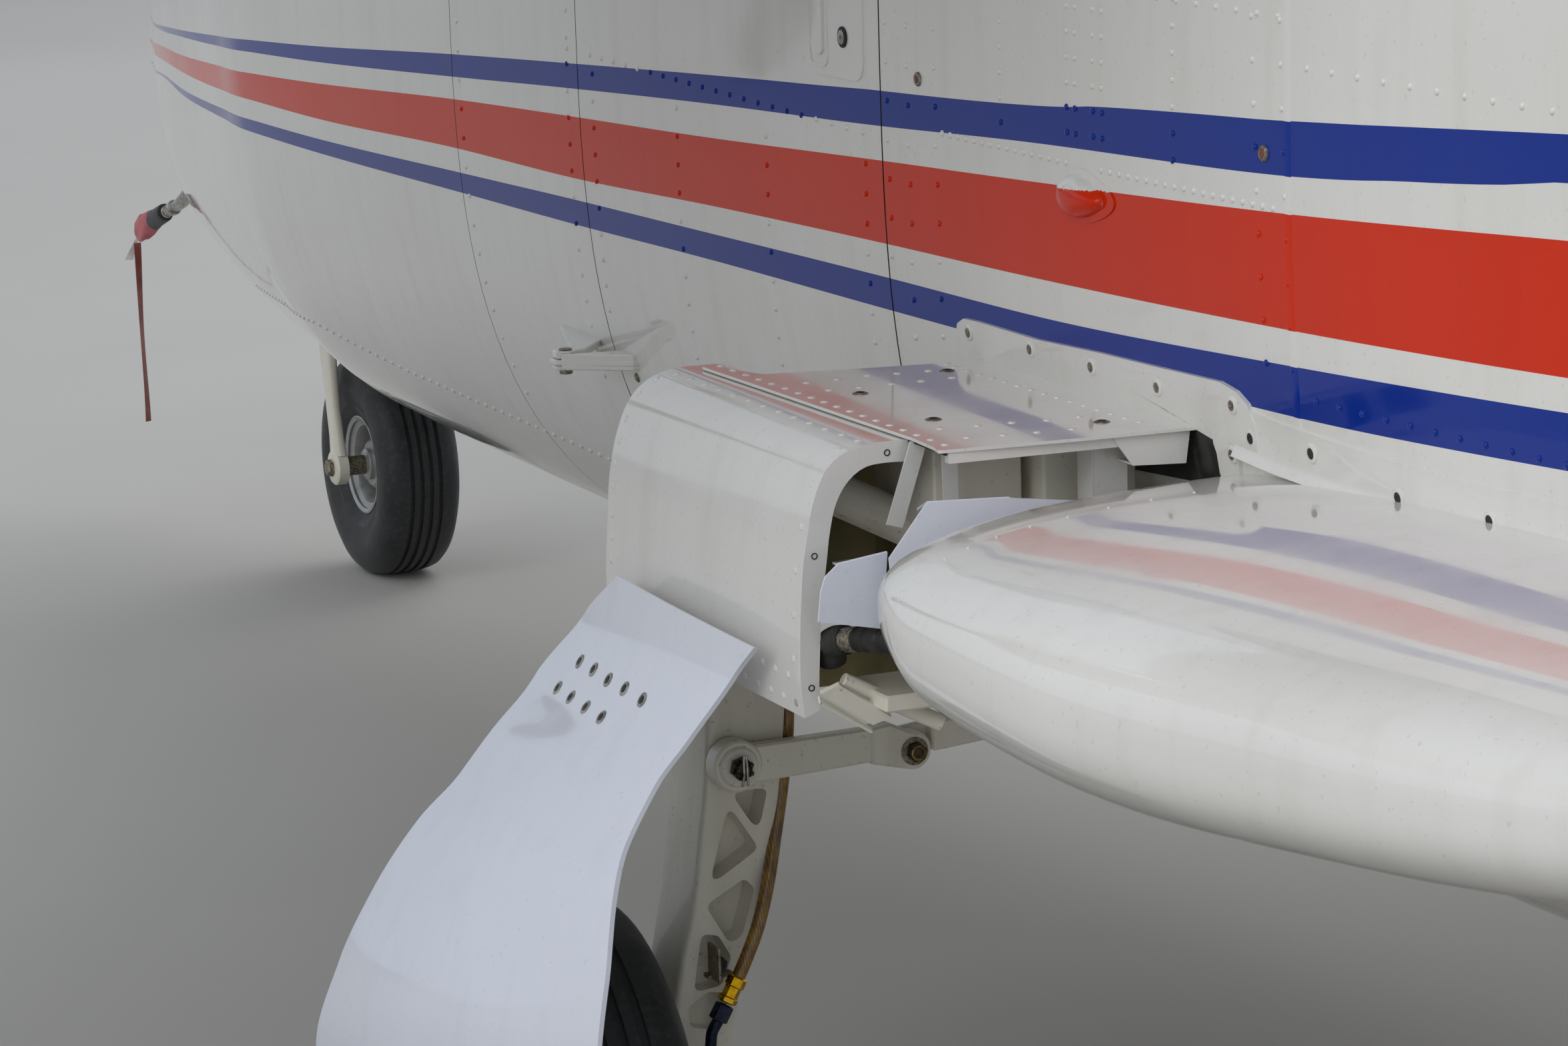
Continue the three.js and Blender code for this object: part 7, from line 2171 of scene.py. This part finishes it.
for centre in (270, -270):
    panel.add(between((centre, -1702, 1090), (centre, -1519, 1090), 11, steps=24), 5)
    panel.add(turned([(26, 0), (28, 2), (22, 12), (12, 16)], (centre, -1697, 1090), (0, 1, 0), 28), 1)
    panel.add(turned([(24, -9), (27, -6), (27, 6), (24, 9)], (centre, -1517, 1090), (0, 1, 0), 30), 1)
    half_horn = [(30, 1090), (84, 1092), (108, 1110), (111, 1140), (106, 1163)]
    horn = curve_through([(centre - x, -1518, z) for x, z in half_horn[::-1]]
                         + [(centre + x, -1518, z) for x, z in half_horn], 60)
    thick = [7.5 + 2.5 * (abs(k - 30) > 20) - 4 * (abs(k - 30) > 29) for k in range(61)]
    panel.add(swept(horn, thick, 16), 1)
panel_finishes = [crackle_black, moulded_black, dial_black, dial_white, red_enamel, plated_steel]
make_piece("instrument_panel_board", panel, panel_finishes, "airframe", ["instrument_panel"],
           angle=40)


# Aerials and lights
# A moulded blade aerial stands behind the wing; under the body are a second short blade, a beacon with a
# red lens, drain masts and a towing eye.
aerial = Form()
blade = [(1088, 1620, 66, 5), (1110, 1700, 76, 4.9), (1160, 1780, 80, 4.6), (1205, 1850, 78, 4.2),
         (1232, 1890, 66, 3.6), (1240, 1904.5, 50, 2.4)]
rings = []
for y, z, chord, half in blade:
    rings.append([(half * math.sin(a) * (0.55 - 0.45 * math.cos(a)) / 0.72,
                   y + 0.95 * chord * (1 - math.cos(a)), z) for a in full_turn(24)])
aerial.add(through(rings))
make_piece("roof_aerial_blade", aerial, [white_enamel], "airframe", ["roof_aerial"], angle=40)
beacon_glass = start_material("red_beacon_glass", {"IOR": 1.5, "Transmission Weight": 0.5, "Roughness": 0.06})
finish_material(beacon_glass, mixed(beacon_glass, patches(beacon_glass, 12), "#B01414", "#5C0C0C"),
                height=patches(beacon_glass, 3, 0, 1, kind="TexWave", stretch=(0, 0, 1)), depth=0.4)
belly = Form()


def skin_top(y, way):
    """The level of the body's skin on its middle line, above (1) or below (-1)."""
    return float(skin_at(np.array([y]), np.array([way * math.pi / 2]))[0][2])


for y, radius in ((-900, 42), (1700, 30)):
    low = skin_top(y, -1)
    belly.add(turned([(radius, -4), (radius, 4), (radius - 4, 6)], (0, y, low + 2), (0, 0, -1), 36), 0)
    if y < 0:
        belly.add(turned([(30, 4), (30, 20), (27, 36), (18, 48), (6, 53), (0.5, 54)], (0, y, low), (0, 0, -1),
                         36), 1)
        belly.add(turned([(33, 2), (33, 8), (31, 9)], (0, y, low), (0, 0, -1), 36), 2)
for y in (-2300, 1500):
    low = skin_top(y, -1)
    rings = []
    for drop, chord, half in ((-10, 70, 5), (20, 66, 4.8), (80, 56, 4), (112, 44, 3), (118, 30, 1.6)):
        rings.append([(half * math.sin(a) * (0.7 - 0.3 * math.cos(a)),
                       y + drop * 0.4 + chord * (1 - math.cos(a)) / 2, low - drop) for a in full_turn(22)])
    belly.add(through(rings), 0)
for x, y in ((60, -620), (-60, -620), (90, 1150)):
    low = skin_top(y, -1)
    belly.add(swept(curve_through([(x, y, low + 25), (x, y, low - 12), (x, y + 8, low - 30),
                                   (x, y + 22, low - 44)], 12), 4.5, 12), 2)
make_piece("belly_details", belly, [white_enamel, beacon_glass, plated_steel], "airframe", angle=40)


# Floor and light
# A plain pale floor under plain soft studio light: a wide pale sky and two large soft lamps.
floor_paint = start_material("pale_floor", {"Roughness": 0.9})
finish_material(floor_paint, mixed(floor_paint, patches(floor_paint, 1400, 0.3, 0.7), "#B6B3AD", "#B1AEA8"))
ground = Form().add(([(-40000, -40000, 0), (40000, -40000, 0), (40000, 40000, 0), (-40000, 40000, 0)],
                     [(0, 1, 2, 3)]))
make_piece("floor", ground, [floor_paint], None, loose=True)
world = bpy.data.worlds.new("studio")
world.use_nodes = True
world.node_tree.nodes["Background"].inputs["Color"].default_value = linear("#DCE4F0")
world.node_tree.nodes["Background"].inputs["Strength"].default_value = 0.76
bpy.context.scene.world = world
bpy.context.scene.view_settings.view_transform = "Standard"
for place, aim, power, size in (((10, 4, 8), (0.8, -1, 1), 680, 9), ((-8, -8, 9), (0, 0, 1), 600, 9)):
    lamp = bpy.data.objects.new("soft_lamp", bpy.data.lights.new("soft_lamp", "AREA"))
    lamp.data.energy, lamp.data.size = power, size
    lamp.location = place
    lamp.rotation_mode = "QUATERNION"
    lamp.rotation_quaternion = (Vector(aim) - Vector(place)).to_track_quat("-Z", "Y")
    bpy.context.scene.collection.objects.link(lamp)
